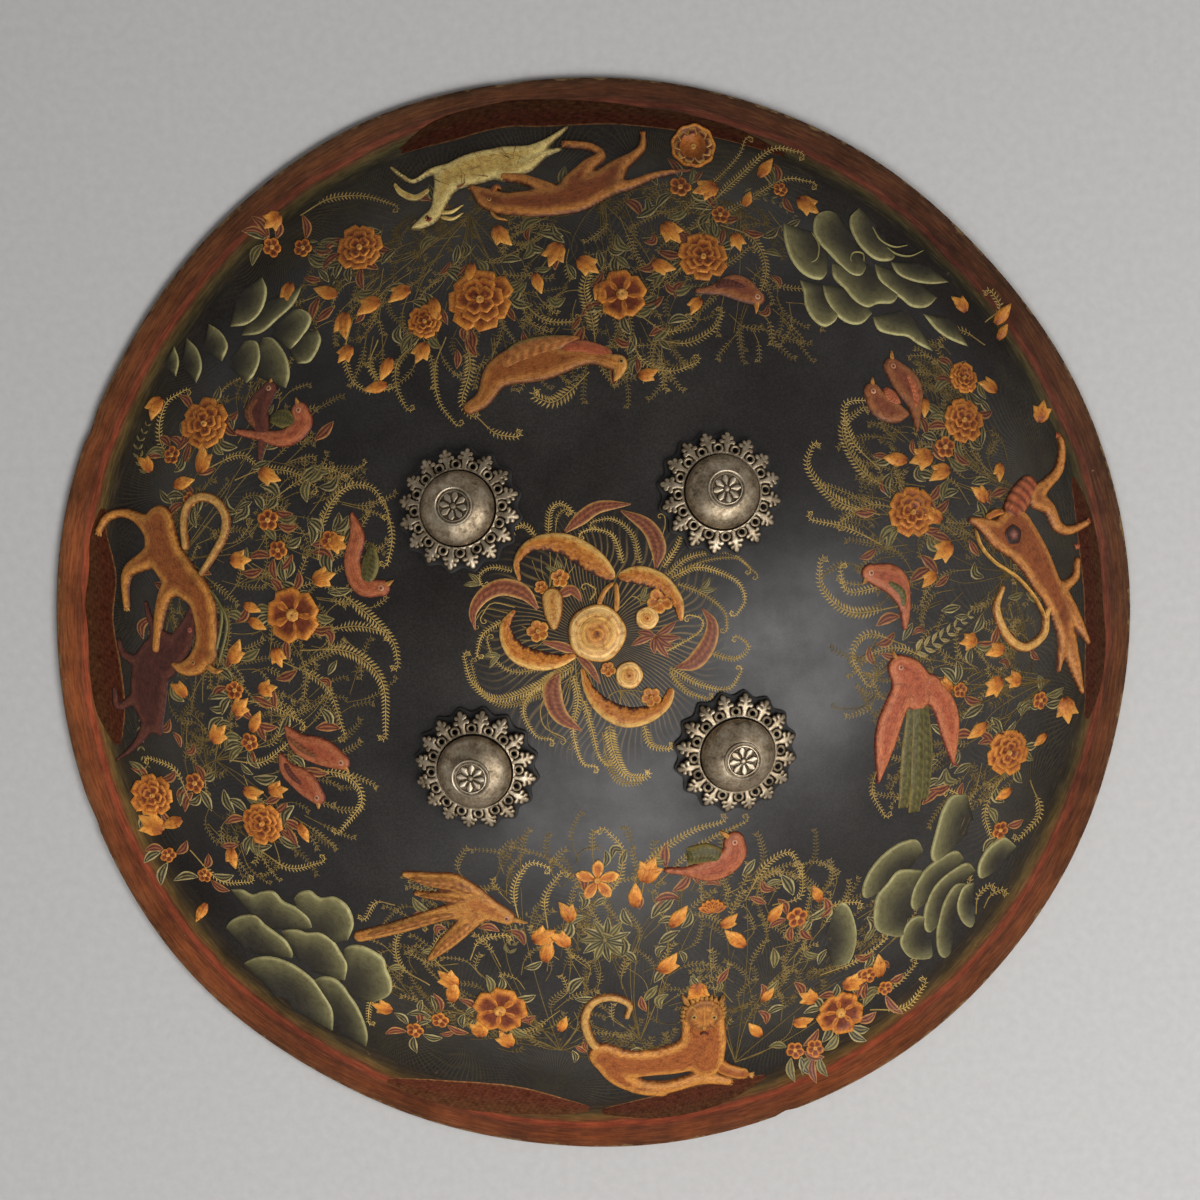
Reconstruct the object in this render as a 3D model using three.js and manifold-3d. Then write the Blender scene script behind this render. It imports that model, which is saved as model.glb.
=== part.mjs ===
// A dhal: a round convex hide shield with four silver bosses, lying face up on its rim.
// Millimetres, +Z up. The origin is the centre of the circle that the rim rests on, and the four
// bosses stand at the corners of a square whose sides run along X and Y.
import * as THREE from "three";
import { mergeVertices } from "three/addons/utils/BufferGeometryUtils.js";
import Module from "manifold-3d";

const wasm = await Module();
wasm.setup();

// Shell: a crown of one radius, a cove that turns it outwards, and a flat lip
const RIM_RADIUS = 275;
const DEPTH = 100;
const HIDE = 5;
const CROWN_RADIUS = 370;
const COVE_RADIUS = 42;
const LIP_SLOPE = THREE.MathUtils.degToRad(4);
const EDGE_ROUND = 1.2;
const SHELL_SEGMENTS = 44;
const CROWN_STEPS = 8;
const COVE_STEPS = 3;

// Bosses, measured across the hide's outer face
const BOSS_SQUARE = 129;
const WASHER = { radius: 32, valley: 29.2, bore: 2.6, thickness: 1.6 };
const FLANGE = { tip: 31, bore: 19.1, eyelets: 21.6, eyeletBore: 1.1, thickness: 1.1, count: 16 };
const FLANGE_TOP = 6.2;
const FLANGE_DROP = 2.6;
const COLLAR_WALL = 1.1;
const BOSS_SIDES = 16;
const DOME = { radius: 18.6, wall: 1.2, springs: 6.4, rise: 11.6, seat: 9.3 };
const MEDALLION = { radius: 9.6, thickness: 1.1, rim: 0.8, petals: 8 };
const PETAL = { reach: 4.8, length: 2.6, width: 1.6, height: 0.9 };
const BUD = { radius: 1.9, height: 1.1 };

// Fittings behind the hide
const SHANK_RADIUS = 2.2;
const SHANK_BORE = 2.6;
const ROSETTE = { radius: 12.5, thickness: 1.4, lobes: 8 };
const COLLAR = { radius: 4.6, thickness: 2 };
const EYE = { radius: 6, wire: 1.8, neck: 1 };
const RING = { radius: 10, wire: 2 };
const LOOP = { radius: 5.1, wire: 1.9 };

// Handles: a bow that hangs between two rings
const BOW_DEPTH = 28;
const GRIP = { end: 3.2, neck: 4.5, middle: 6.5, taper: 8 };
const BINDING = { from: 10, length: 13, bore: 5, radius: 6 };

// Cushion for the knuckles
const PAD = { half: 50, thickness: 17, seam: 4, pull: 0.05, round: 0.3 };
const BACKING = { half: 46, thickness: 1.2 };
const PIPING = { radius: 1.9, stand: 2.6 };

const GAP = 0.3;
const UP = new THREE.Vector3(0, 0, 1);
const crownCentreZ = DEPTH - CROWN_RADIUS;
const wallSlope = Math.acos(1 - (DEPTH - HIDE) / (CROWN_RADIUS + COVE_RADIUS));
const coveCentre = new THREE.Vector2(
  (CROWN_RADIUS + COVE_RADIUS) * Math.sin(wallSlope),
  COVE_RADIUS + HIDE,
);

const material = (color, roughness, metalness) =>
  new THREE.MeshStandardMaterial({ color, roughness, metalness });
const lacquer = material(0x2a2320, 0.35, 0);
const silver = material(0xa79c88, 0.35, 1);
const blackLeather = material(0x17110f, 0.6, 0);
const iron = material(0x4a4440, 0.5, 1);
const brass = material(0x8a6a3a, 0.45, 1);
const redLeather = material(0x6d2a20, 0.6, 0);
const velvet = material(0x5c1a1c, 0.9, 0);
const goldCord = material(0x9a7434, 0.7, 0);

// A closed three.js geometry as a solid that can be cut and joined
function solid(geometry) {
  const bare = geometry.index ? geometry.toNonIndexed() : geometry.clone();
  bare.deleteAttribute("normal");
  bare.deleteAttribute("uv");
  const merged = mergeVertices(bare, 1e-3);
  const mesh = new wasm.Mesh({
    numProp: 3,
    vertProperties: merged.getAttribute("position").array,
    triVerts: new Uint32Array(merged.index.array),
  });
  return new wasm.Manifold(mesh);
}

function geometryOf(manifold) {
  const mesh = manifold.getMesh();
  const geometry = new THREE.BufferGeometry();
  geometry.setAttribute("position", new THREE.BufferAttribute(mesh.vertProperties, 3));
  geometry.setIndex(new THREE.BufferAttribute(mesh.triVerts, 1));
  geometry.computeVertexNormals();
  return geometry;
}

function piece(name, geometry, look) {
  const mesh = new THREE.Mesh(geometry, look);
  mesh.name = name;
  return mesh;
}

// Moves every vertex of a geometry by a function of its place
function reshape(geometry, move) {
  const place = geometry.getAttribute("position");
  const point = new THREE.Vector3();
  for (let i = 0; i < place.count; i++) {
    point.fromBufferAttribute(place, i);
    move(point);
    place.setXYZ(i, point.x, point.y, point.z);
  }
  return geometry;
}

// A profile of [radius, height] pairs turned about Z, listed anticlockwise
function turned(profile, segments) {
  const points = profile.map(([r, z]) => new THREE.Vector2(r, z));
  return new THREE.LatheGeometry(points, segments).rotateX(Math.PI / 2);
}

function rod(radius, from, to, sides) {
  const length = to - from;
  return new THREE.CylinderGeometry(radius, radius, length, sides)
    .rotateX(Math.PI / 2)
    .translate(0, 0, (from + to) / 2);
}

// A ring whose hole runs along Y
function hoop({ radius, wire }, around, section) {
  return new THREE.TorusGeometry(radius, wire, section, around).rotateX(Math.PI / 2);
}

const arc = (centre, radius, from, to, steps) =>
  Array.from({ length: steps + 1 }, (_, i) => {
    const angle = from + ((to - from) * i) / steps;
    return [centre.x + radius * Math.sin(angle), centre.y + radius * Math.cos(angle)];
  });

// Height of the hide's inner face above the rim's plane, at a distance from the axis
const innerHeight = (r) => crownCentreZ + Math.sqrt((CROWN_RADIUS - HIDE) ** 2 - r * r);

// Height of the dome's flat top, which the medallion covers
const domeTop = DOME.springs + DOME.rise * Math.cos(Math.asin(DOME.seat / DOME.radius));

// How far the flat facets of the inner face stand in from its sphere
const facetSag = (CROWN_RADIUS - HIDE) * (1 - Math.cos(wallSlope / CROWN_STEPS / 2));

// How far the crown falls away under a flat piece, at a distance from that piece's axis
const sag = (r) => (r * r) / (2 * CROWN_RADIUS);

// Shell

function shellProfile() {
  const crownCentre = new THREE.Vector2(0, crownCentreZ);
  const down = Math.PI;
  const underCrown = arc(crownCentre, CROWN_RADIUS - HIDE, 0, wallSlope, CROWN_STEPS);
  const underCove = arc(coveCentre, COVE_RADIUS + HIDE, down + wallSlope, down, COVE_STEPS);
  const overCove = arc(coveCentre, COVE_RADIUS, down + LIP_SLOPE, down + wallSlope, COVE_STEPS);
  const overCrown = arc(crownCentre, CROWN_RADIUS, wallSlope, 0, CROWN_STEPS);
  const [lipStart, lipHeight] = overCove[0];
  const edgeHeight = lipHeight - (RIM_RADIUS - lipStart) * Math.tan(LIP_SLOPE);
  return [
    ...underCrown,
    ...underCove.slice(1),
    [RIM_RADIUS - EDGE_ROUND, 0],
    [RIM_RADIUS, EDGE_ROUND],
    [RIM_RADIUS, edgeHeight - EDGE_ROUND],
    [RIM_RADIUS - EDGE_ROUND, edgeHeight],
    ...overCove,
    ...overCrown.slice(1),
  ];
}

function shell(frames) {
  let body = solid(turned(shellProfile(), SHELL_SEGMENTS));
  for (const frame of frames) {
    const drill = rod(SHANK_BORE, -3 * HIDE, 2 * HIDE, 10).applyMatrix4(frame.matrix);
    body = body.subtract(solid(drill));
  }
  return piece("hide_shell", geometryOf(body), lacquer);
}

// Bosses: each piece is drawn about Z, with the hide's outer face at z 0 under it

const circle = (x, y, radius, sides) =>
  Array.from({ length: sides }, (_, i) => {
    const angle = (2 * Math.PI * i) / sides;
    return new THREE.Vector2(x + radius * Math.cos(angle), y + radius * Math.sin(angle));
  });

// A flat plate whose edge repeats an outline of [radius, share of the pitch]
function edgedPlate(count, outline, thickness, bores) {
  const pitch = (2 * Math.PI) / count;
  const edge = Array.from({ length: count }, (_, i) =>
    outline.map(([radius, share]) => {
      const angle = (i + share) * pitch;
      return new THREE.Vector2(radius * Math.cos(angle), radius * Math.sin(angle));
    }),
  );
  const shape = new THREE.Shape(edge.flat());
  shape.holes = bores.map((bore) => new THREE.Path(bore));
  return new THREE.ExtrudeGeometry(shape, { depth: thickness, bevelEnabled: false });
}

function washer() {
  const { radius, valley, bore, thickness } = WASHER;
  const middle = (bore + valley) / 2;
  const disc = turned(
    [
      [bore, GAP],
      [middle, GAP],
      [radius, GAP],
      [radius, GAP + thickness],
      [bore, GAP + thickness],
      [bore, GAP],
    ],
    2 * FLANGE.count,
  );
  return reshape(disc, (p) => {
    const wave = (1 + Math.cos(FLANGE.count * Math.atan2(p.y, p.x))) / 2;
    const r = Math.hypot(p.x, p.y);
    const shrink = r > middle + 1 ? THREE.MathUtils.lerp(1, valley / radius, wave) : 1;
    p.set(p.x * shrink, p.y * shrink, p.z - sag(r * shrink));
  });
}

// Half of one fleur, from the middle of an eyelet to the tip: [radius, share of the pitch]
const FLEUR = [
  [24.6, 0],
  [25.6, 0.4],
  [28.6, 0.36],
];

function flange() {
  const halfBack = FLEUR.slice(1).reverse().map(([radius, share]) => [radius, 1 - share]);
  const outline = [...FLEUR, [FLANGE.tip, 0.5], ...halfBack];
  const pitch = (2 * Math.PI) / FLANGE.count;
  const eyelets = Array.from({ length: FLANGE.count }, (_, i) => {
    const x = FLANGE.eyelets * Math.cos(i * pitch);
    const y = FLANGE.eyelets * Math.sin(i * pitch);
    return circle(x, y, FLANGE.eyeletBore, 4);
  });
  const bore = circle(0, 0, FLANGE.bore, BOSS_SIDES);
  const plate = edgedPlate(FLANGE.count, outline, FLANGE.thickness, [bore, ...eyelets]);
  const bend = FLANGE.eyelets + 2;
  reshape(plate, (p) => {
    const r = Math.hypot(p.x, p.y);
    const fall = FLANGE_DROP * (Math.max(0, r - bend) / (FLANGE.tip - bend)) ** 2;
    p.z += FLANGE_TOP - FLANGE.thickness - fall - sag(r);
  });
  const foot = WASHER.thickness + 2 * GAP - sag(FLANGE.bore);
  const head = FLANGE_TOP - FLANGE.thickness / 2 - sag(FLANGE.bore);
  const collar = turned(
    [
      [FLANGE.bore, foot],
      [FLANGE.bore + COLLAR_WALL, foot],
      [FLANGE.bore + COLLAR_WALL, head],
      [FLANGE.bore, head],
      [FLANGE.bore, foot],
    ],
    BOSS_SIDES,
  );
  return geometryOf(solid(plate).add(solid(collar)));
}

function dome() {
  const { radius, wall, springs, rise, seat } = DOME;
  const seatAngle = Math.asin(seat / radius);
  const steps = 4;
  const vault = (reach, height, from, to) =>
    Array.from({ length: steps + 1 }, (_, i) => {
      const angle = from + ((to - from) * i) / steps;
      return [reach * Math.sin(angle), springs + height * Math.cos(angle)];
    });
  const outer = vault(radius, rise, Math.PI / 2, seatAngle);
  const inner = vault(radius - wall, rise - wall, seatAngle, Math.PI / 2);
  const foot = WASHER.thickness + 2 * GAP - sag(radius - wall);
  const hole = SHANK_RADIUS + GAP;
  return turned(
    [
      [radius - wall, foot],
      [radius, foot],
      ...outer,
      [hole, domeTop],
      [hole, inner[0][1]],
      ...inner,
      [radius - wall, foot],
    ],
    BOSS_SIDES,
  );
}

function medallion() {
  const { radius, thickness, rim, petals } = MEDALLION;
  const floor = domeTop + GAP;
  const face = floor + thickness;
  let disc = solid(
    turned(
      [
        [0, floor],
        [radius, floor],
        [radius, face],
        [radius - rim, face + rim],
        [radius - 2 * rim, face],
        [0, face],
      ],
      20,
    ),
  );
  for (let i = 0; i < petals; i++) {
    const petal = new THREE.OctahedronGeometry(1)
      .scale(PETAL.length, PETAL.width, PETAL.height)
      .translate(PETAL.reach, 0, face)
      .rotateZ((2 * Math.PI * i) / petals);
    disc = disc.add(solid(petal));
  }
  const bud = new THREE.IcosahedronGeometry(1, 0)
    .scale(BUD.radius, BUD.radius, BUD.height)
    .translate(0, 0, face);
  return geometryOf(disc.add(solid(bud)));
}

// Back of the hide

const backFace = -HIDE - facetSag - sag(ROSETTE.radius) - GAP;

function backRosette() {
  const outline = [
    [ROSETTE.radius - 2.4, 0],
    [ROSETTE.radius, 0.3],
    [ROSETTE.radius, 0.7],
  ];
  const bore = circle(0, 0, SHANK_BORE, 8);
  const plate = edgedPlate(ROSETTE.lobes, outline, ROSETTE.thickness, [bore]);
  return plate.translate(0, 0, backFace - ROSETTE.thickness);
}

const collarFrom = backFace - ROSETTE.thickness - GAP;
const collarTo = collarFrom - COLLAR.thickness;
const eyeDrop = EYE.radius + EYE.neck - collarTo;

function eyeBolt(frame, eye) {
  const shank = rod(SHANK_RADIUS, collarTo - EYE.neck, domeTop, 8);
  const collar = rod(COLLAR.radius, collarTo, collarFrom, 8);
  const loop = hoop(EYE, 14, 6).translate(eye.x, eye.y, eye.z);
  return geometryOf(
    solid(shank.applyMatrix4(frame.matrix))
      .add(solid(collar.applyMatrix4(frame.matrix)))
      .add(solid(loop)),
  );
}

// Handles: a spindle turned about Z and then bent into the bow between the two rings

function bowOf(eye) {
  const ringTop = eye.z - (EYE.radius - EYE.wire - RING.wire - GAP);
  const ringFoot = ringTop - 2 * RING.radius;
  const loopCentre = ringFoot - (LOOP.radius - LOOP.wire - RING.wire - GAP);
  const end = loopCentre - LOOP.radius;
  const radius = (eye.y ** 2 + BOW_DEPTH ** 2) / (2 * BOW_DEPTH);
  const halfAngle = Math.asin(eye.y / radius);
  return { ringTop, ringFoot, loopCentre, end, radius, half: radius * halfAngle };
}

function bend(geometry, bow) {
  const centreZ = bow.end - BOW_DEPTH + bow.radius;
  return reshape(geometry, (p) => {
    const angle = p.z / bow.radius;
    const reach = bow.radius - p.x;
    p.set(p.y, reach * Math.sin(angle), centreZ - reach * Math.cos(angle));
  });
}

function handle(bow, eyeY) {
  const { half } = bow;
  const swellHalf = half - BINDING.from - BINDING.length - GRIP.taper / 4;
  const steps = 7;
  const swell = Array.from({ length: steps + 1 }, (_, i) => {
    const share = (2 * i) / steps - 1;
    const fullness = Math.cos((share * Math.PI) / 2) ** 2;
    return [GRIP.neck + (GRIP.middle - GRIP.neck) * fullness, share * swellHalf];
  });
  const spindle = turned(
    [
      [0, -half],
      [GRIP.end, -half],
      [GRIP.neck, GRIP.taper - half],
      [GRIP.neck, 2 * GRIP.taper - half],
      ...swell,
      [GRIP.neck, half - 2 * GRIP.taper],
      [GRIP.neck, half - GRIP.taper],
      [GRIP.end, half],
      [0, half],
    ],
    8,
  );
  let body = solid(bend(spindle, bow));
  for (const side of [-1, 1]) {
    const loop = hoop(LOOP, 12, 6).translate(0, side * eyeY, bow.loopCentre);
    body = body.add(solid(loop));
  }
  return geometryOf(body);
}

function binding(bow, side) {
  const near = side * (bow.half - BINDING.from);
  const far = side * (bow.half - BINDING.from - BINDING.length);
  const [low, high] = [Math.min(near, far), Math.max(near, far)];
  const stations = [0, 1, 2].map((i) => low + ((high - low) * i) / 2);
  const outside = stations.map((z) => [BINDING.radius, z]);
  const inside = stations.map((z) => [BINDING.bore, z]).reverse();
  return bend(turned([...outside, ...inside, outside[0]], 8), bow);
}

// Cushion: a grid over a rounded square whose sides draw in between the corners

function squarePoint(u, v, half) {
  const x = half * u * Math.sqrt(1 - (PAD.round * v * v) / 2) * (1 - PAD.pull * (1 - v * v));
  const y = half * v * Math.sqrt(1 - (PAD.round * u * u) / 2) * (1 - PAD.pull * (1 - u * u));
  return [x, y];
}

// A closed sheet between two height functions of (u, v, distance from the axis)
function gridSolid(half, cells, top, bottom) {
  const at = (i, j, height) => {
    const u = (2 * i) / cells - 1;
    const v = (2 * j) / cells - 1;
    const [x, y] = squarePoint(u, v, half);
    return [x, y, height(u, v, Math.hypot(x, y))];
  };
  const places = [];
  const quad = (a, b, c, d) => places.push(...a, ...b, ...c, ...a, ...c, ...d);
  for (let i = 0; i < cells; i++)
    for (let j = 0; j < cells; j++) {
      quad(at(i, j, top), at(i + 1, j, top), at(i + 1, j + 1, top), at(i, j + 1, top));
      quad(at(i, j, bottom), at(i, j + 1, bottom), at(i + 1, j + 1, bottom), at(i + 1, j, bottom));
    }
  const wall = (i, j, k, l) => {
    quad(at(i, j, bottom), at(k, l, bottom), at(k, l, top), at(i, j, top));
  };
  for (let i = 0; i < cells; i++) {
    wall(i, 0, i + 1, 0);
    wall(cells, i, cells, i + 1);
    wall(i + 1, cells, i, cells);
    wall(0, i + 1, 0, i);
  }
  const geometry = new THREE.BufferGeometry();
  geometry.setAttribute("position", new THREE.Float32BufferAttribute(places, 3));
  return geometryOf(solid(geometry));
}

const backingFace = (r) => innerHeight(r) - facetSag - GAP;
const padFace = (r) => backingFace(r) - BACKING.thickness - GAP;

function padBacking() {
  return gridSolid(
    BACKING.half,
    6,
    (u, v, r) => backingFace(r),
    (u, v, r) => backingFace(r) - BACKING.thickness,
  );
}

function cushion() {
  const fullness = (u, v) => ((1 - u ** 4) * (1 - v ** 4)) ** 0.4;
  return gridSolid(
    PAD.half,
    10,
    (u, v, r) => padFace(r) - PAD.seam * (1 - fullness(u, v)),
    (u, v, r) => padFace(r) - PAD.seam - (PAD.thickness - PAD.seam) * fullness(u, v),
  );
}

function piping() {
  const cordRing = new THREE.TorusGeometry(PAD.half, PIPING.radius, 6, 32);
  return reshape(cordRing, (p) => {
    const angle = Math.atan2(p.y, p.x);
    const off = Math.hypot(p.x, p.y) - PAD.half;
    const [cos, sin] = [Math.cos(angle), Math.sin(angle)];
    const reach = Math.max(Math.abs(cos), Math.abs(sin));
    const [x, y] = squarePoint(cos / reach, sin / reach, PAD.half + PIPING.stand);
    const r = Math.hypot(x, y);
    p.set(x + off * cos, y + off * sin, p.z + padFace(r) - PAD.seam);
  });
}

// Assembly

const corners = [
  { name: "upper_right", x: 1, y: 1 },
  { name: "upper_left", x: -1, y: 1 },
  { name: "lower_left", x: -1, y: -1 },
  { name: "lower_right", x: 1, y: -1 },
].map((corner) => {
  const foot = new THREE.Vector3((corner.x * BOSS_SQUARE) / 2, (corner.y * BOSS_SQUARE) / 2, 0);
  foot.z = crownCentreZ + Math.sqrt(CROWN_RADIUS ** 2 - foot.x ** 2 - foot.y ** 2);
  const normal = foot.clone().sub(new THREE.Vector3(0, 0, crownCentreZ)).normalize();
  const frame = new THREE.Group();
  frame.position.copy(foot);
  frame.quaternion.setFromUnitVectors(UP, normal);
  frame.updateMatrix();
  return { ...corner, frame, eye: foot.clone().addScaledVector(normal, -eyeDrop) };
});

const shield = new THREE.Group();
shield.add(shell(corners.map((corner) => corner.frame)));

const bow = bowOf(corners[0].eye);
for (const { name, frame, eye } of corners) {
  frame.add(
    piece(`boss_washer_${name}`, washer(), blackLeather),
    piece(`boss_flange_${name}`, flange(), silver),
    piece(`boss_dome_${name}`, dome(), silver),
    piece(`boss_medallion_${name}`, medallion(), silver),
    piece(`back_rosette_${name}`, backRosette(), brass),
  );
  const ring = piece(`ring_${name}`, new THREE.TorusGeometry(RING.radius, RING.wire, 6, 16), iron);
  ring.rotation.y = Math.PI / 2;
  ring.position.set(eye.x, eye.y, bow.ringTop - RING.radius);
  shield.add(frame, ring, piece(`eye_bolt_${name}`, eyeBolt(frame, eye), iron));
}

for (const [name, x] of [["right", 1], ["left", -1]]) {
  const group = new THREE.Group();
  group.position.x = x * corners[0].eye.x;
  group.add(
    piece(`handle_${name}`, handle(bow, corners[0].eye.y), redLeather),
    piece(`binding_upper_${name}`, binding(bow, 1), goldCord),
    piece(`binding_lower_${name}`, binding(bow, -1), goldCord),
  );
  shield.add(group);
}

shield.add(
  piece("cushion_backing", padBacking(), redLeather),
  piece("cushion", cushion(), velvet),
  piece("cushion_piping", piping(), goldCord),
);

export default shield;
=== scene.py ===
# %% [markdown]
# # A painted hide dhal
# A dhal is a round shield. This one is moulded from thick hide, lacquered almost black and painted
# with gold ferns, orange flowers, birds, beasts and rocks, much of it in low relief. Four silver
# bosses cover the bolts that hold the grips behind it.
#
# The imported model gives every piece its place. This lesson opens it, and then gives each piece the
# shape and finish that the eye expects.

# %% Open the frame
import math

import bpy
import numpy as np
from mathutils import Matrix, Vector


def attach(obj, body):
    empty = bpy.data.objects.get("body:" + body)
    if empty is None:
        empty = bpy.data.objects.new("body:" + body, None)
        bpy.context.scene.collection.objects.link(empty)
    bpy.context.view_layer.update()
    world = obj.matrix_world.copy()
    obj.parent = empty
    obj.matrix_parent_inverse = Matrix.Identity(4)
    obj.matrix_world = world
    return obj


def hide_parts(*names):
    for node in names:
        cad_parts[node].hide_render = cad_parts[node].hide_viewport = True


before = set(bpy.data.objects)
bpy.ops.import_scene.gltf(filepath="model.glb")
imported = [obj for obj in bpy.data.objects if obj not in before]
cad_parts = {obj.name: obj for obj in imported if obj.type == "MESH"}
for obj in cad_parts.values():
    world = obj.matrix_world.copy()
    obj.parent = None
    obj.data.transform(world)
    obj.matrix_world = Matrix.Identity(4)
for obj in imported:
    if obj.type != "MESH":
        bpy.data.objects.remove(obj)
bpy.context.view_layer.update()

MM = 0.001
TURN = 2 * math.pi

# %% [markdown]
# ## The hide's shape
# The shell is a crown of one radius, a cove that turns it outwards, and a flat lip. The same few
# sizes that shaped the solid give a formula for the height of the outer face, and everything on
# the face, such as a painted petal, asks that formula where to lie.

# %% Sizes of the shell, in millimetres
RIM_RADIUS = 275.0
DEPTH = 100.0
HIDE = 5.0
CROWN_RADIUS = 370.0
COVE_RADIUS = 42.0
LIP_SLOPE = math.radians(4)
EDGE_ROUND = 1.2
BOSS_SQUARE = 129.0

crown_centre_z = DEPTH - CROWN_RADIUS
wall_slope = math.acos(1 - (DEPTH - HIDE) / (CROWN_RADIUS + COVE_RADIUS))
cove_r = (CROWN_RADIUS + COVE_RADIUS) * math.sin(wall_slope)
cove_z = COVE_RADIUS + HIDE
crown_edge = CROWN_RADIUS * math.sin(wall_slope)
lip_start = cove_r - COVE_RADIUS * math.sin(LIP_SLOPE)
lip_height = cove_z - COVE_RADIUS * math.cos(LIP_SLOPE)


def top_height(r):
    """Height of the hide's outer face at a distance from the axis."""
    crown = crown_centre_z + np.sqrt(np.maximum(CROWN_RADIUS**2 - r**2, 1))
    cove = cove_z - np.sqrt(np.maximum(COVE_RADIUS**2 - (r - cove_r) ** 2, 1))
    lip = lip_height - (r - lip_start) * math.tan(LIP_SLOPE)
    return np.where(r < crown_edge, crown, np.where(r < lip_start, cove, lip))


# Waves grow between two radii and die away again before the lip
WAVE_HEIGHT = 0.45
WAVES_FROM, WAVES_FULL = 150, 250
CALM_FROM, CALM_FULL = 235, 265


def warp(x, y):
    """The small waves that a dried hide keeps, gentle enough for the bosses to sit on it."""
    r = np.hypot(x, y)
    angle = np.arctan2(y, x)
    reach = np.clip((r - WAVES_FROM) / (WAVES_FULL - WAVES_FROM), 0, 1)
    waves = 0.5 * np.sin(3 * angle + 0.7) + 0.3 * np.sin(5 * angle + 2.1)
    return WAVE_HEIGHT * reach * waves * (1 - np.clip((r - CALM_FROM) / (CALM_FULL - CALM_FROM), 0, 1))


# Where the trimmed edge swells or falls short: heading in degrees, millimetres, width in degrees
EDGE_SWELLS = [(115, 3.4, 22), (212, 2.4, 22), (302, 2.6, 28), (38, -3.0, 26)]
EDGE_EXTRA = 0.5
SWELL_FROM, SWELL_FULL = 215, 262


def swell(r, angle):
    """How far a dried and trimmed hide reaches past a true circle, growing towards its edge."""
    heading = np.degrees(angle)
    past = EDGE_EXTRA
    for middle, most, width in EDGE_SWELLS:
        off = (heading - middle + 180) % 360 - 180
        past = past + most * np.exp(-((off / width) ** 2))
    return past * np.clip((np.asarray(r, float) - SWELL_FROM) / (SWELL_FULL - SWELL_FROM), 0, 1) ** 1.5


# The outer face laid out flat: distance along the hide from its centre, against radius
radii = np.linspace(0, RIM_RADIUS, 1101)
climb = np.hypot(np.diff(radii), np.diff(top_height(radii)))
along = np.concatenate([[0], np.cumsum(climb)])
rim_along = along[-1]
print(f"the outer face measures {2 * rim_along:.0f} mm across, along the hide")


def on_hide(flat_x, flat_y, lift):
    """Turns points of the hide laid flat, lifted off its face, into points of the shield."""
    spread = np.hypot(flat_x, flat_y)
    r = np.interp(spread, along, radii)
    angle = np.arctan2(flat_y, flat_x)
    step = 0.05
    slope = (top_height(r + step) - top_height(r - step)) / (2 * step)
    tip = 1 / np.hypot(1, slope)
    out = r - lift * slope * tip + swell(r, angle)
    x, y = out * np.cos(angle), out * np.sin(angle)
    z = top_height(r) + warp(r * np.cos(angle), r * np.sin(angle)) + lift * tip
    return np.stack([x, y, z], -1)


# %% [markdown]
# ## The camera and the light
# The shield lies face up on pale paper, and a long lens looks almost straight down at it. The
# view leans a little, because the bosses stand higher than the rim and look shifted across it.

# %% Camera
SENSOR = 36.0
PHOTO = 1200
LENS = 150.4
CAMERA_DISTANCE = 2534.0
CAMERA_LEAN = Vector((-0.0147, 0.0822, 1.0)).normalized()
PHOTO_UP = math.radians(86.47)
AIM_HEIGHT = 45.0
AIM_RIGHT = 1.9
AIM_UP = 11.8

up_hint = Vector((math.cos(PHOTO_UP), math.sin(PHOTO_UP), 0))
photo_up = (up_hint - CAMERA_LEAN * up_hint.dot(CAMERA_LEAN)).normalized()
photo_right = photo_up.cross(CAMERA_LEAN)
aim = Vector((0, 0, AIM_HEIGHT)) + photo_right * AIM_RIGHT + photo_up * AIM_UP
eye_point = aim + CAMERA_LEAN * CAMERA_DISTANCE

camera = bpy.data.objects.new("camera", bpy.data.cameras.new("camera"))
bpy.context.scene.collection.objects.link(camera)
camera.data.lens = LENS
camera.data.sensor_width = SENSOR
camera.data.clip_end = 50
camera.matrix_world = Matrix(
    (
        (*(photo_right.x, photo_up.x, CAMERA_LEAN.x), eye_point.x * MM),
        (*(photo_right.y, photo_up.y, CAMERA_LEAN.y), eye_point.y * MM),
        (*(photo_right.z, photo_up.z, CAMERA_LEAN.z), eye_point.z * MM),
        (0, 0, 0, 1),
    )
)
bpy.context.scene.camera = camera


def from_photo(px, py):
    """The point of the flat hide that a pixel of the photograph shows."""
    focal = LENS / SENSOR * PHOTO
    ray = photo_right * (px - PHOTO / 2) - photo_up * (py - PHOTO / 2) - CAMERA_LEAN * focal
    ray.normalize()
    height = DEPTH
    for _ in range(20):
        reach = (eye_point.z - height) / -ray.z
        spot = eye_point + ray * reach
        found = math.hypot(spot.x, spot.y)
        r = found - float(swell(found, math.atan2(spot.y, spot.x)))
        height = 0.5 * height + 0.5 * float(top_height(np.float64(r)))
    spread = float(np.interp(r, radii, along))
    return np.array([spot.x, spot.y]) * spread / max(found, 1e-6)


print("the photograph's middle falls on the hide at", from_photo(600, 600).round(1), "mm")

# %% [markdown]
# A node tree, whether it is a finish or a shape, is a set of small boxes with wires between them.
# One helper makes a box, sets its sliders and plugs its wires in, so that each finish below reads
# as a short recipe.


# %% A helper that adds one node
def node(tree, kind, inputs=None, **settings):
    """Adds a node. An input that is a socket is wired, and any other value is set."""
    made = tree.nodes.new(kind)
    for name, value in settings.items():
        setattr(made, name, value)
    for name, value in (inputs or {}).items():
        if isinstance(value, bpy.types.NodeSocket):
            tree.links.new(value, made.inputs[name])
        else:
            made.inputs[name].default_value = value
    return made


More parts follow.
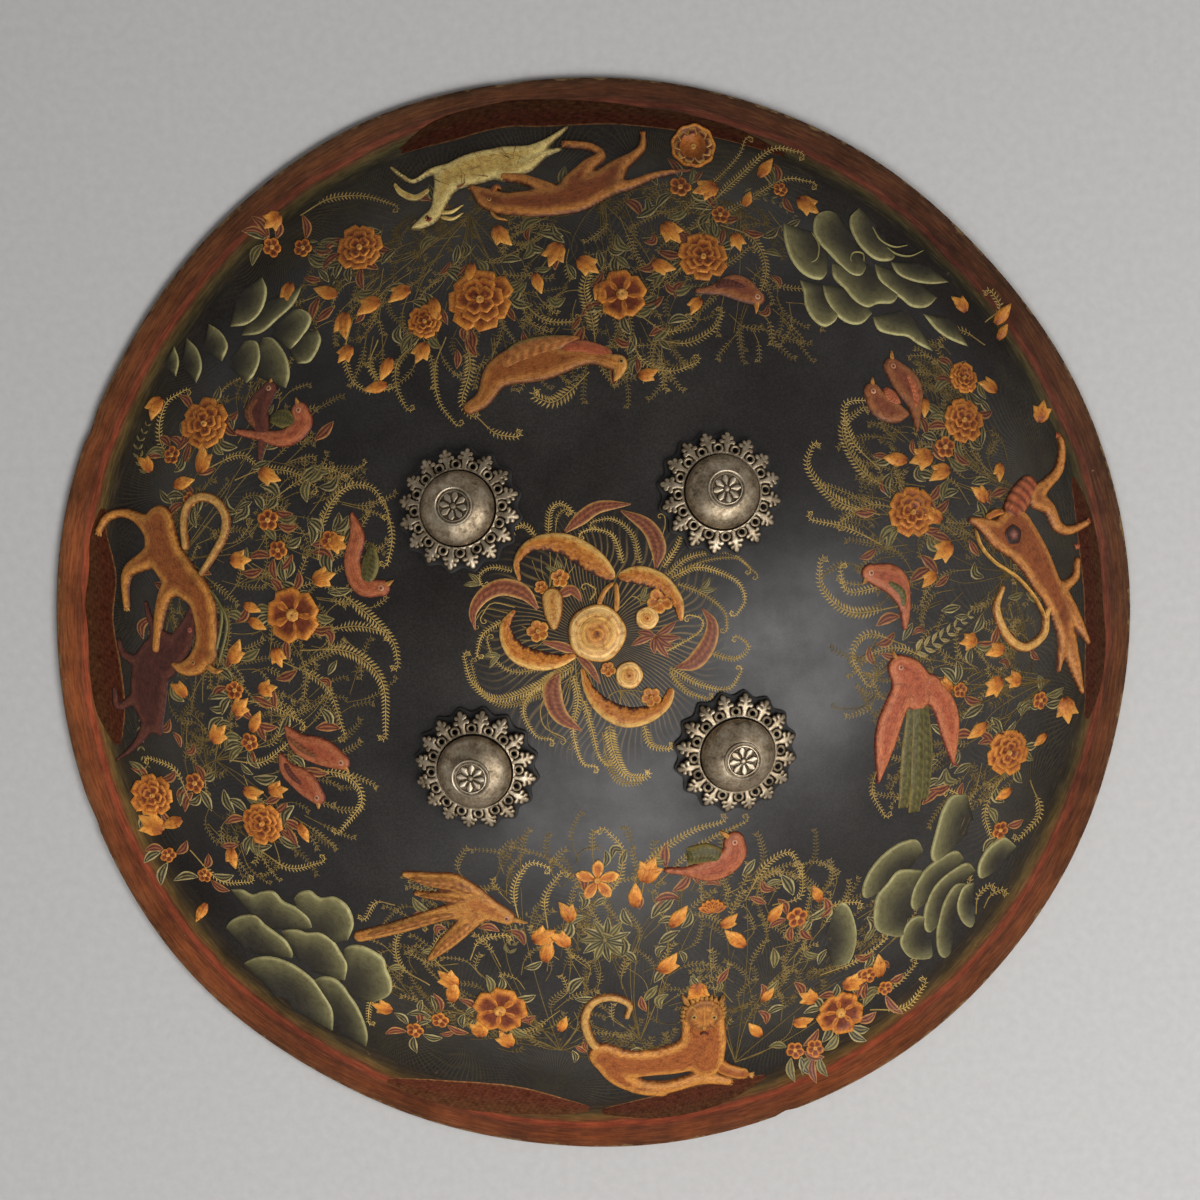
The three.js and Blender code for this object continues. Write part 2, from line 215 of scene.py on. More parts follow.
class Finish:
    """A material with a Principled shader, and short names for the nodes that finishes use."""

    def __init__(self, name, **constants):
        self.material = bpy.data.materials.new(name)
        self.material.use_nodes = True
        self.tree = self.material.node_tree
        self.shader = self.tree.nodes["Principled BSDF"]
        for socket, value in constants.items():
            self.shader.inputs[socket.replace("_", " ")].default_value = value
        self.place = node(self.tree, "ShaderNodeTexCoord").outputs["Object"]

    def attribute(self, name, output="Color"):
        return node(self.tree, "ShaderNodeAttribute", attribute_name=name).outputs[output]

    def noise(self, scale, detail=4, roughness=0.55, vector=None):
        inputs = {"Vector": vector or self.place, "Scale": scale, "Detail": detail, "Roughness": roughness}
        return node(self.tree, "ShaderNodeTexNoise", inputs).outputs["Fac"]

    def cells(self, scale, feature="F1"):
        inputs = {"Vector": self.place, "Scale": scale}
        return node(self.tree, "ShaderNodeTexVoronoi", inputs, feature=feature).outputs["Distance"]

    def stretched(self, scale, turn=(0, 0, 0), vector=None):
        inputs = {"Vector": vector or self.place, "Scale": scale, "Rotation": turn}
        return node(self.tree, "ShaderNodeMapping", inputs).outputs["Vector"]

    def span(self, value, low, high, to_low=0.0, to_high=1.0):
        inputs = {0: value, 1: low, 2: high, 3: to_low, 4: to_high}
        return node(self.tree, "ShaderNodeMapRange", inputs).outputs[0]

    def maths(self, operation, a, b=0.0):
        return node(self.tree, "ShaderNodeMath", {0: a, 1: b}, operation=operation).outputs[0]

    def plus(self, a, b):
        return self.maths("ADD", a, b)

    def times(self, a, b):
        return self.maths("MULTIPLY", a, b)

    def vector(self, operation, inputs):
        return node(self.tree, "ShaderNodeVectorMath", inputs, operation=operation).outputs[0]

    def split(self, vector):
        return node(self.tree, "ShaderNodeSeparateXYZ", {0: vector}).outputs

    def length(self, x, y):
        return self.maths("SQRT", self.plus(self.maths("POWER", x, 2), self.maths("POWER", y, 2)))

    def mix(self, share, a, b, blend="MIX"):
        made = node(self.tree, "ShaderNodeMix", data_type="RGBA", blend_type=blend)
        for index, value in ((0, share), (6, a), (7, b)):
            if isinstance(value, bpy.types.NodeSocket):
                self.tree.links.new(value, made.inputs[index])
            else:
                made.inputs[index].default_value = value if index == 0 else (*value, 1)
        return made.outputs[2]

    def tint(self, colour, by):
        return self.mix(1.0, colour, by, "MULTIPLY")

    def ramp(self, value, stops):
        made = node(self.tree, "ShaderNodeValToRGB", {"Fac": value})
        elements = made.color_ramp.elements
        for _ in stops[2:]:
            elements.new(0.5)
        for element, (position, colour) in zip(elements, stops):
            element.position = position
            element.color = (*colour, 1)
        return made.outputs["Color"]

    def set(self, socket, value):
        self.tree.links.new(value, self.shader.inputs[socket])

    def bump(self, height, distance_mm, strength=1.0, under=None):
        inputs = {"Height": height, "Distance": distance_mm * MM, "Strength": strength}
        if under:
            inputs["Normal"] = under
        return node(self.tree, "ShaderNodeBump", inputs).outputs["Normal"]


# %% [markdown]
# The floor is plain paper. The world is a room with pale walls and a dimmer ceiling, so that the
# lacquer stays dark from above and the silver has something to mirror. Two soft lamps stand close
# by, one to the right and one below, and give the sheen on the lower right of the crown.

# %% Paper, lamps and world
PAPER = (0.535, 0.522, 0.507)
WALLS = (0.54, 0.54, 0.55)
CEILING = (0.11, 0.11, 0.115)
FLOOR_HALF = 6.0


def lamp(name, direction, distance, size, power):
    data = bpy.data.lights.new(name, "AREA")
    data.shape = "DISK"
    data.size = size
    data.energy = power
    made = bpy.data.objects.new(name, data)
    bpy.context.scene.collection.objects.link(made)
    toward = Vector(direction).normalized()
    made.location = toward * distance
    made.rotation_euler = toward.to_track_quat("Z", "Y").to_euler()


def paper_floor():
    mesh = bpy.data.meshes.new("paper_floor")
    h = FLOOR_HALF
    mesh.from_pydata([(-h, -h, 0), (h, -h, 0), (h, h, 0), (-h, h, 0)], [], [(0, 1, 2, 3)])
    made = bpy.data.objects.new("paper_floor", mesh)
    bpy.context.scene.collection.objects.link(made)
    finish = Finish("paper", Roughness=0.95, Specular_IOR_Level=0.1)
    grain = finish.span(finish.noise(220, 3), 0.3, 0.7, 0.96, 1.04)
    finish.set("Base Color", finish.tint(PAPER, grain))
    mesh.materials.append(finish.material)


def room():
    """A world that goes from pale walls to a dim ceiling."""
    world = bpy.data.worlds.new("room")
    world.use_nodes = True
    tree = world.node_tree
    toward = node(tree, "ShaderNodeTexCoord").outputs["Generated"]
    height = node(tree, "ShaderNodeSeparateXYZ", {0: toward}).outputs[2]
    shade = node(tree, "ShaderNodeValToRGB", {"Fac": height})
    for element, colour in zip(shade.color_ramp.elements, (WALLS, CEILING)):
        element.color = (*colour, 1)
    tree.links.new(shade.outputs["Color"], tree.nodes["Background"].inputs["Color"])
    bpy.context.scene.world = world


paper_floor()
lamp("soft_lamp", (0.546, -0.204, 0.813), 1.64, 0.9, 12.5)
lamp("low_lamp", (0.03, -0.586, 0.81), 1.63, 1.1, 12.0)
room()
bpy.context.scene.view_settings.view_transform = "Standard"

# %% [markdown]
# ## Helpers for meshes
# A piece's mesh is worked out in millimetres, in the shield's own frame, and turned into metres
# when it is made. `dress` makes the object, puts it on the body that it moves with, and hides the
# imported solid that it stands for.


# %% Make a piece from points and faces
def hide_piece(name, points, faces, finishes, replaces=()):
    """Makes a piece of the hide or its paint. points are in millimetres."""
    mesh = bpy.data.meshes.new(name)
    mesh.from_pydata((np.asarray(points, float) * MM).tolist(), [], faces)
    mesh.update()
    return dress(name, mesh, finishes, "shield", "lacquered_hide", replaces)


def dress(name, mesh, finishes, rides, slot, replaces=(), smooth=True):
    made = bpy.data.objects.new(name, mesh)
    bpy.context.scene.collection.objects.link(made)
    mesh.name = name
    if smooth:
        mesh.shade_smooth()
    else:
        mesh.shade_flat()
    mesh.materials.clear()
    for material in finishes:
        mesh.materials.append(material)
    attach(made, rides)
    if replaces:
        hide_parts(*replaces)
    return made


def put(mesh, name, kind, values):
    """Stores one value for each point of a mesh."""
    layer = mesh.attributes.new(name, kind, "POINT")
    key = "vector" if kind == "FLOAT_VECTOR" else "value"
    layer.data.foreach_set(key, np.asarray(values, np.float32).ravel())


def read(items, key, width, kind=np.float32):
    """Reads one property of every point, corner or face of a mesh."""
    values = np.zeros(len(items) * width, kind)
    items.foreach_get(key, values)
    return values


def turned(profile, segments):
    """Points and faces of a profile of [radius, height] pairs turned about Z."""
    points, rows = [], []
    for r, z in profile:
        if abs(r) < 1e-6:
            rows.append([len(points)] * segments)
            points.append((0.0, 0.0, z))
            continue
        rows.append(list(range(len(points), len(points) + segments)))
        for i in range(segments):
            angle = TURN * i / segments
            points.append((r * math.cos(angle), r * math.sin(angle), z))
    faces = []
    for low, high in zip(rows, rows[1:]):
        for i in range(segments):
            j = (i + 1) % segments
            loop = [low[i], low[j], high[j], high[i]]
            faces.append(tuple(dict.fromkeys(loop)))
    return np.array(points), faces


def arc(centre_r, centre_z, radius, start, end, steps):
    """Pairs along an arc, with the angle measured from straight up."""
    angles = np.linspace(start, end, steps + 1)
    return [(centre_r + radius * math.sin(a), centre_z + radius * math.cos(a)) for a in angles]


# %% [markdown]
# ## The lacquer
# The ground is brown-black lacquer over hide: very dark, softly shiny, with a fine weave under it,
# hair cracks and faint rubbing. Towards the rim come the painted bands, by distance from the axis:
# dark brown, an olive line, a red stripe, and red-brown to the edge. Painted light and shade make
# them brighter towards the lower left and darker towards the upper right.

# %% The painted ground and its border
GROUND = (0.0145, 0.0115, 0.0095)
GROUND_LIGHT = (0.029, 0.025, 0.021)
BORDER_FROM = 236.0
BORDER_TO = 275.0
# The border's bands: distance from the axis in millimetres, and colour
BANDS = [
    (236.0, (0.018, 0.013, 0.010)),
    (251.0, (0.021, 0.015, 0.010)),
    (255.0, (0.036, 0.024, 0.011)),
    (257.3, (0.080, 0.050, 0.015)),
    (259.2, (0.105, 0.050, 0.016)),
    (260.3, (0.105, 0.034, 0.013)),
    (261.2, (0.190, 0.040, 0.017)),
    (263.0, (0.165, 0.036, 0.015)),
    (264.4, (0.105, 0.030, 0.012)),
    (269.0, (0.140, 0.039, 0.0125)),
    (274.5, (0.100, 0.036, 0.014)),
]
OLIVE_STREAK = (0.12, 0.072, 0.020)
WORN_PAINT = (0.27, 0.17, 0.075)
BARE_HIDE = (0.20, 0.125, 0.055)

GRASS_ROOTS = [
    (540, 215), (655, 205), (450, 250), (730, 190), (378, 240), (300, 262), (185, 620), (205, 500),
    (170, 420), (180, 760), (150, 680), (560, 1060), (640, 900), (470, 1010), (770, 985), (410, 1000),
    (1010, 475), (1040, 560), (1062, 700), (985, 640), (1050, 400), (1000, 790),
]
GRASS = (0.068, 0.050, 0.019)
BLADES_ROUND = 92.0
ROSETTE_MIDDLE = (600, 640)
ROSETTE_RAYS_AND_SHEEN = (0.23, 0.145, 0.046)


def fan(made, pixel, sway, near, far):
    """Fine blades that fan out from a root on the photograph. They fade from near to far, in millimetres."""
    root = from_photo(*pixel) * MM
    off = made.vector("SUBTRACT", {0: made.place, 1: (float(root[0]), float(root[1]), 0.0)})
    x, y, _ = made.split(off)
    angle = made.plus(made.maths("ARCTAN2", y, x), sway)
    wave = made.maths("SINE", made.times(angle, BLADES_ROUND))
    fade = made.span(made.length(x, y), near * MM, far * MM, 1.0, 0.0)
    return made.times(made.span(wave, 0.45, 0.9), fade)


def grass(made, ground, length):
    """Painted flat: dim blades from the roots of the thickets, and gold rays behind the rosette."""
    sway = made.span(made.noise(11, 2, 0.5), 0.2, 0.8, -0.55, 0.55)
    blades = 0.0
    for pixel in GRASS_ROOTS:
        blades = made.maths("MAXIMUM", blades, fan(made, pixel, sway, 12, 52))
    broken = made.span(made.noise(70, 4, 0.7), 0.34, 0.6, 0.25, 0.9)
    blades = made.times(made.times(blades, broken), made.span(length, 112 * MM, 135 * MM))
    # The rays are partly painted gold lines and partly a painted sheen that brightens the ground round the
    # middle.
    rays = made.times(fan(made, ROSETTE_MIDDLE, sway, 34, 66), broken)
    return made.mix(rays, made.mix(blades, ground, GRASS), ROSETTE_RAYS_AND_SHEEN)


def border(made, x, y, length, r):
    """The painted bands, brushed round the rim, with painted light and shade across them."""
    share = made.span(r, BORDER_FROM * MM, BORDER_TO * MM)
    width = BORDER_TO - BORDER_FROM
    bands = made.ramp(share, [((mm - BORDER_FROM) / width, colour) for mm, colour in BANDS])
    # Painted light and shade: darker and cooler towards the upper right, brighter and warmer towards the
    # lower left.
    lean = made.plus(made.times(x, -1.6), made.times(y, -2.2))
    shaded_side_tint = [(0.0, (0.52, 0.60, 0.70)), (0.2, (0.74, 0.92, 1.08))]
    lit_side_tint = [(0.8, (1.06, 1.02, 0.95)), (1.0, (1.12, 1.05, 0.95))]
    bands = made.tint(bands, made.ramp(made.span(lean, -0.7, 0.7), shaded_side_tint + lit_side_tint))
    # Painted light: brighter at the far left.
    bands = made.tint(bands, made.span(x, -0.27, -0.19, 1.55, 1.0))
    # Painted light: warmer towards the lower right.
    low_right = made.span(made.maths("SUBTRACT", x, made.times(y, 1.6)), 0.2, 0.44)
    bands = made.mix(made.times(low_right, 0.8), bands, made.tint(bands, (1.0, 0.86, 0.70)))
    bands = made.tint(bands, made.span(made.noise(26, 6, 0.7), 0.36, 0.66, 0.62, 1.3))
    outward = made.vector("SCALE", {0: made.vector("NORMALIZE", {0: made.place}), "Scale": 0.055})
    east, north, _ = made.split(outward)
    parts = {"X": east, "Y": north, "Z": made.times(length, 2.6)}
    brushed = made.noise(420, 5, 0.65, node(made.tree, "ShaderNodeCombineXYZ", parts).outputs[0])
    bands = made.tint(bands, made.span(brushed, 0.34, 0.66, 0.62, 1.42))
    return made.mix(made.times(made.span(brushed, 0.56, 0.70), 0.3), bands, OLIVE_STREAK)


def lacquer():
    made = Finish("black_lacquer", Roughness=0.5, Coat_Roughness=0.3, Specular_IOR_Level=0.12)
    x, y, _ = made.split(made.place)
    length = made.attribute("true_radius", "Fac")
    wobble = made.span(made.noise(9, 3), 0.3, 0.7, -1.6 * MM, 1.6 * MM)
    ripple = made.span(made.noise(60, 3), 0.3, 0.7, -0.6 * MM, 0.6 * MM)
    r = made.plus(made.plus(length, wobble), ripple)
    ground = made.mix(made.span(made.noise(14, 8, 0.65), 0.42, 0.72), GROUND, GROUND_LIGHT)
    ground = made.tint(ground, made.span(made.noise(900, 2), 0.35, 0.75, 0.75, 1.45))
    on_border = made.span(r, 247 * MM, 254 * MM)
    painted = made.mix(on_border, grass(made, ground, length), border(made, x, y, length, r))
    worn = made.times(made.span(made.noise(75, 6, 0.7), 0.68, 0.72), made.span(r, 240 * MM, 273 * MM))
    painted = made.mix(made.times(worn, 0.75), painted, WORN_PAINT)
    edge_noise = made.plus(length, made.span(made.noise(150, 4), 0.3, 0.7, -1.2 * MM, 1.2 * MM))
    bare = made.span(edge_noise, 274.3 * MM, 275.0 * MM)
    painted = made.mix(made.times(bare, 0.8), painted, BARE_HIDE)
    made.set("Base Color", painted)
    rough = made.span(made.noise(11, 8, 0.7), 0.35, 0.75, 0.42, 0.66)
    made.set("Roughness", made.plus(rough, made.span(length, 236 * MM, 252 * MM, 0.0, 0.16)))
    gloss = made.span(made.noise(16, 8, 0.72), 0.34, 0.68, 0.34, 0.84)
    made.set("Coat Weight", made.times(gloss, made.span(length, 226 * MM, 246 * MM, 1.0, 0.0)))
    cracks = made.span(made.cells(330, "DISTANCE_TO_EDGE"), 0.0, 0.035)
    weave_x = made.noise(1, 2, vector=made.stretched((900, 110, 300)))
    weave_y = made.noise(1, 2, vector=made.stretched((110, 900, 300)))
    cloth = made.plus(weave_x, weave_y)
    dents = made.noise(38, 5, 0.6)
    fine = made.bump(made.plus(made.times(cloth, 0.22), made.times(cracks, 0.12)), 0.25, 0.35)
    made.set("Normal", made.bump(dents, 0.9, 0.22, fine))
    return made.material


# Gold lines on the back: distance from the axis and half width, in millimetres
BACK_LINES = [(236.0, 0.9), (232.5, 0.35), (150.0, 0.5)]
BACK_GOLD = (0.34, 0.20, 0.055)


def back_lacquer():
    made = Finish("back_lacquer", Roughness=0.4, Coat_Weight=0.2, Coat_Roughness=0.3)
    x, y, _ = made.split(made.place)
    r = made.plus(made.length(x, y), made.span(made.noise(30, 3), 0.3, 0.7, -0.5 * MM, 0.5 * MM))
    shades = [(0.3, (0.050, 0.014, 0.010)), (0.5, (0.085, 0.022, 0.014)), (0.72, (0.13, 0.040, 0.022))]
    leather = made.ramp(made.noise(12, 8, 0.62), shades)
    leather = made.tint(leather, made.span(made.cells(420), 0.05, 0.6, 0.75, 1.2))
    for middle, half in BACK_LINES:
        off = made.maths("ABSOLUTE", made.maths("SUBTRACT", r, middle * MM))
        line = made.span(off, half * MM, (half + 0.35) * MM, 1.0, 0.0)
        rubbed = made.times(line, made.span(made.noise(120, 4), 0.35, 0.6, 0.25, 0.95))
        leather = made.mix(rubbed, leather, BACK_GOLD)
    made.set("Base Color", leather)
    made.set("Roughness", made.span(made.noise(20, 6), 0.3, 0.7, 0.36, 0.62))
    height = made.plus(made.cells(420), made.times(made.noise(60, 5), 2.0))
    made.set("Normal", made.bump(height, 0.35, 0.4))
    return made.material


black_lacquer = lacquer()
red_back = back_lacquer()

# %% [markdown]
# ## The shell
# The real shell is one hide, moulded wet over a former, trimmed round and lacquered. A fine
# turned mesh follows the same profile as the solid. The dried hide isn't true, so its rim wanders
# by a few millimetres and its lip has small nicks.

# %% Turn the hide
SHELL_SEGMENTS = 288
FACE_RINGS = 110
BACK_RINGS = 44
SHELL_UV_FACE = (0.36, 0.355)
SHELL_UV_BACK = (0.78, 0.215)
# Nicks in the lip: heading in radians, depth in millimetres, width in radians
NICKS = [(1.67, 0.9, 0.012), (2.72, 1.2, 0.016), (3.46, 1.0, 0.014), (5.02, 1.1, 0.013)]


def shell_profile():
    stations = np.linspace(0, RIM_RADIUS - EDGE_ROUND, FACE_RINGS)
    face = [(r, float(top_height(np.float64(r)))) for r in stations]
    edge_z = float(top_height(np.float64(RIM_RADIUS)))
    edge = arc(RIM_RADIUS - EDGE_ROUND, edge_z - EDGE_ROUND, EDGE_ROUND, 0.4, math.pi / 2, 3)
    foot = arc(RIM_RADIUS - EDGE_ROUND, EDGE_ROUND, EDGE_ROUND, math.pi / 2, math.pi, 3)
    cove = arc(cove_r, cove_z, COVE_RADIUS + HIDE, math.pi, math.pi + wall_slope, 12)
    under = arc(0, crown_centre_z, CROWN_RADIUS - HIDE, wall_slope, 0, BACK_RINGS)
    return face, edge + foot, cove + under[1:]


def turn_shell():
    face, edge, back = shell_profile()
    points, faces = turned(face + edge + back, SHELL_SEGMENTS)
    faces = [loop[::-1] for loop in faces]
    x, y = points[:, 0].copy(), points[:, 1].copy()
    r = np.hypot(x, y)
    angle = np.arctan2(y, x)
    wander = 0.7 * np.sin(2 * angle + 1.1) + 0.5 * np.sin(7 * angle) + 0.35 * np.sin(13 * angle + 2)
    nicks = np.zeros_like(angle)
    for middle, depth, width in NICKS:
        nicks -= depth * np.exp(-(((angle % TURN) - middle) ** 2) / width**2)
    shift = (0.6 * wander + nicks) * np.clip((r - 262) / 13, 0, 1) + swell(r, angle)
    scale = np.where(r > 1, (r + shift) / np.maximum(r, 1), 1)
    points[:, 0] *= scale
    points[:, 1] *= scale
    points[:, 2] = np.maximum(points[:, 2] + warp(x, y), 0)
    made = hide_piece("painted_hide", points, faces, [black_lacquer, red_back], ["hide_shell"])
    put(made.data, "true_radius", "FLOAT", r * MM)
    face_ring = (len(face) + len(edge) - 2) * SHELL_SEGMENTS
    back_index = np.arange(len(faces)) >= face_ring
    made.data.polygons.foreach_set("material_index", back_index.astype(np.int32))
    lay_shell_map(made.data, points, back_index)
    print("shell:", len(faces), "faces")


def lay_shell_map(mesh, points, back_index):
    """Lays the face and the back side by side in one map, each as seen from straight ahead."""
    layer = mesh.uv_layers.new(name="OFBake")
    corner = read(mesh.loops, "vertex_index", 1, np.int32)
    is_back = np.repeat(back_index, read(mesh.polygons, "loop_total", 1, np.int32))
    spot = points[corner][:, :2] / RIM_RADIUS
    face_uv = SHELL_UV_FACE[0] + spot * SHELL_UV_FACE[1]
    back_uv = SHELL_UV_BACK[0] + spot * SHELL_UV_BACK[1] * np.array([-1, 1])
    uv = np.where(is_back[:, None], back_uv, face_uv)
    layer.data.foreach_set("uv", uv.astype(np.float32).ravel())


turn_shell()

# %% [markdown]
# ## Painting in low relief
# The painter built the flowers, birds and beasts up with gesso and then coloured them, and drew
# the ferns with a fine brush. Here every stroke is a thin closed shape that lies on the hide. It is
# drawn in millimetres on the hide laid flat and lifted off its face by a fraction of a millimetre,
# or by one or two for the raised motifs. Two shapes do nearly everything: a ribbon that follows a
# line, and a blob that fills an outline. Each point keeps its paint, and how far it lies along and
# across the stroke, so that the finish can draw brush marks.

# %% Collect painted shapes
SINK = 0.5


def walked(line):
    """The distance along a line to each of its points."""
    return np.concatenate([[0], np.cumsum(np.linalg.norm(np.diff(line, axis=0), axis=1))])


def ahead_and_left(spine):
    """The directions ahead and to the left at each point of a flat line."""
    ahead = np.gradient(spine, axis=0)
    ahead /= np.maximum(np.linalg.norm(ahead, axis=1, keepdims=True), 1e-9)
    return ahead, np.column_stack([-ahead[:, 1], ahead[:, 0]])


def smooth_line(points, count):
    """Evenly spaced samples of a smooth line through a few points."""
    p = np.asarray(points, float)
    ends = np.vstack([2 * p[0] - p[1], p, 2 * p[-1] - p[-2]])
    t = np.linspace(0, len(p) - 1, 8 * count)
    i = np.minimum(t.astype(int), len(p) - 2)
    f = (t - i)[:, None]
    a, b, c, d = ends[i], ends[i + 1], ends[i + 2], ends[i + 3]
    line = b + 0.5 * f * (c - a + f * (2 * a - 5 * b + 4 * c - d + f * (3 * b - a - 3 * c + d)))
    reach = walked(line)
    even = np.linspace(0, reach[-1], count)
    return np.stack([np.interp(even, reach, line[:, k]) for k in range(p.shape[1])], -1)


def profile_of(values, count):
    """Smooth values along a stroke from a few given ones."""
    shares = np.linspace(0, 1, len(values))
    line = smooth_line(np.column_stack([shares * 10, values]), count)
    return np.interp(np.linspace(0, 10, count), line[:, 0], line[:, 1])


def turn(points, angle):
    c, s = math.cos(angle), math.sin(angle)
    return np.asarray(points, float) @ np.array([[c, s], [-s, c]])


def direction(angle):
    return np.array([math.cos(angle), math.sin(angle)])


def blend_paint(stops, value):
    """A colour for each value, between stops of (value, colour)."""
    places = [stop[0] for stop in stops]
    shades = np.array([stop[1] for stop in stops])
    return np.stack([np.interp(value, places, shades[:, k]) for k in range(3)], -1)


def close_sheet(top, count):
    """Faces of a thin closed solid: a sheet, its copy below, and the wall between their borders."""
    top = [tuple(face) for face in top]
    faces = top + [tuple(index + count for index in reversed(face)) for face in top]
    edges = {edge for face in top for edge in zip(face, face[1:] + face[:1])}
    return faces + [(v, u, u + count, v + count) for u, v in sorted(edges) if (v, u) not in edges]


def painted_light_ramp(spots):
    """Painted light and shade on the fine paint: brighter towards the lower left, dimmer towards the upper
    right.
    """
    return np.clip(1.2 - (0.20 * spots[:, 0] + 0.25 * spots[:, 1]) / 200, 0.85, 1.6)[:, None]


class Relief:
    """Collects closed shapes drawn on the hide laid flat, and makes them one piece."""

    # The third number sets how strongly painted light brightens the shapes towards the lower left.
    def __init__(self, name, seed, light_ramp_power=0.0):
        self.name = name
        self.light_ramp_power = light_ramp_power
        self.rng = np.random.default_rng(seed)
        self.spots, self.paints, self.strokes, self.faces = [], [], [], []
        self.count = 0

    def add(self, spots, paints, strokes, faces):
        shade = self.rng.uniform(0.88, 1.1)
        self.spots.append(spots)
        # Each shape gets a random tone, and painted light that brightens it towards the lower left.
        self.paints.append(np.clip(paints * shade * painted_light_ramp(spots) ** self.light_ramp_power, 0, 1))
        self.strokes.append(strokes)
        self.faces += [tuple(index + self.count for index in face) for face in faces]
        self.count += len(spots)

    def sheet(self, spots, rise, paints, strokes, top):
        """A closed shape from its upper sheet."""
        under = np.full(len(spots), -SINK)
        spots = np.vstack([np.column_stack([spots, rise]), np.column_stack([spots, under])])
        self.add(
            spots, np.vstack([paints, paints]), np.vstack([strokes, strokes]), close_sheet(top, len(rise))
        )

    def ribbon(self, line, widths, lift, paint, count=16, across=9, rounded=False, lined=False):
        """A stroke along a line. widths are half widths at even steps along it, and lift and paint are
        functions of (share along, place across from -1 to 1). A lined one's underside follows the hide."""
        spine = smooth_line(line, count)
        _, left = ahead_and_left(spine)
        half = np.maximum(profile_of(widths, count), 0.05)
        if rounded:
            run = walked(spine)
            near = np.clip(np.minimum(run, run[-1] - run) / half, 0, 1)
            half = np.maximum(half * np.sqrt(1 - (1 - near) ** 2), 0.05)
        place = np.sin(np.linspace(-math.pi / 2, math.pi / 2, across))
        share, side = np.meshgrid(np.linspace(0, 1, count), place, indexing="ij")
        xy = spine[:, None] + left[:, None] * (side * half[:, None])[..., None]
        height = np.where(np.abs(side) > 0.999, -SINK, lift(share, side))
        spots = np.concatenate([xy, height[..., None]], -1).reshape(-1, 3)
        length = np.linalg.norm(np.diff(spine, axis=0), axis=1).sum()
        seed = np.full_like(share, self.rng.uniform(0, 50))
        strokes = np.stack([share * length, side * half[:, None], seed], -1).reshape(-1, 3)
        paints = np.asarray(paint(share, side)).reshape(-1, 3)
        m = across
        if lined:
            rise = np.where(np.abs(side) > 0.999, -0.3, height)
            rise[[0, -1]] = -0.3
            top = [(a, a + m, a + m + 1, a + 1) for a in range((count - 1) * m) if a % m < m - 1]
            self.sheet(spots[:, :2], rise.ravel(), paints, strokes, top)
            return
        faces = []
        for i in range(count - 1):
            for j in range(m - 1):
                a = i * m + j
                faces.append((a, a + m, a + m + 1, a + 1))
            faces.append((i * m, i * m + m - 1, i * m + 2 * m - 1, i * m + m))
        faces.append(tuple(range(m)))
        faces.append(tuple(range(count * m - 1, (count - 1) * m - 1, -1)))
        self.add(spots, paints, strokes, faces)

    def blob(self, at, outline, rings, paint, points, rounds=False):
        """A filled outline. outline gives the radius at an angle, rings are (share of it, lift) from
        outside in, paint is a function of (share, angle), and rounds lays the brush lines round it."""
        angle = np.linspace(0, TURN, points, endpoint=False)
        radius = outline(angle)
        unit = np.column_stack([np.cos(angle), np.sin(angle)])
        rings = [(1.0, -SINK), *rings]
        spots, paints, strokes = [], [], []
        seed = self.rng.uniform(0, 50)
        for share, lift in rings:
            xy = np.asarray(at) + unit * (radius * share)[:, None]
            spots.append(np.column_stack([xy, np.full(points, lift)]))
            paints.append(paint(np.full(points, share), angle))
            if rounds:
                strokes.append(np.column_stack([2 * np.cos(angle), radius * share, seed + np.sin(angle)]))
            else:
                around = angle * radius.mean()
                strokes.append(np.column_stack([radius * share, around, np.full(points, seed)]))
        spots.append([[*at, rings[-1][1]]])
        paints.append(paint(np.zeros(1), np.zeros(1)))
        strokes.append([[0, 0, seed]])
        faces = []
        for k in range(len(rings) - 1):
            for i in range(points):
                j = (i + 1) % points
                faces.append((k * points + i, k * points + j, (k + 1) * points + j, (k + 1) * points + i))
        last, centre = (len(rings) - 1) * points, len(rings) * points
        faces += [(last + i, last + (i + 1) % points, centre) for i in range(points)]
        faces.append(tuple(range(points - 1, -1, -1)))
        self.add(np.vstack(spots), np.vstack(paints), np.vstack(strokes), faces)

    def finish(self, finish):
        spots = np.vstack(self.spots)
        mesh = hide_piece(self.name, on_hide(*spots.T), self.faces, [finish]).data
        paint = mesh.color_attributes.new("paint", "FLOAT_COLOR", "POINT")
        colours = np.column_stack([np.vstack(self.paints), np.ones(len(spots))])
        paint.data.foreach_set("color", colours.astype(np.float32).ravel())
        put(mesh, "stroke", "FLOAT_VECTOR", np.vstack(self.strokes))
        lay_plan_map(mesh)
        print(f"{self.name}: {len(mesh.polygons)} faces")


def lay_plan_map(mesh):
    """Maps a painted layer as seen from above, with its hidden underside tucked into a corner."""
    layer = mesh.uv_layers.new(name="OFBake")
    corner = read(mesh.loops, "vertex_index", 1, np.int32)
    place = read(mesh.vertices, "co", 3)
    normals = read(mesh.polygons, "normal", 3)
    totals = read(mesh.polygons, "loop_total", 1, np.int32)
    spot = place.reshape(-1, 3)[corner][:, :2] / (2 * RIM_RADIUS * MM)
    down = np.repeat(normals.reshape(-1, 3)[:, 2] < -0.05, totals)
    uv = np.where(down[:, None], 0.012 + spot * 0.02, 0.5 + spot)
    layer.data.foreach_set("uv", uv.astype(np.float32).ravel())
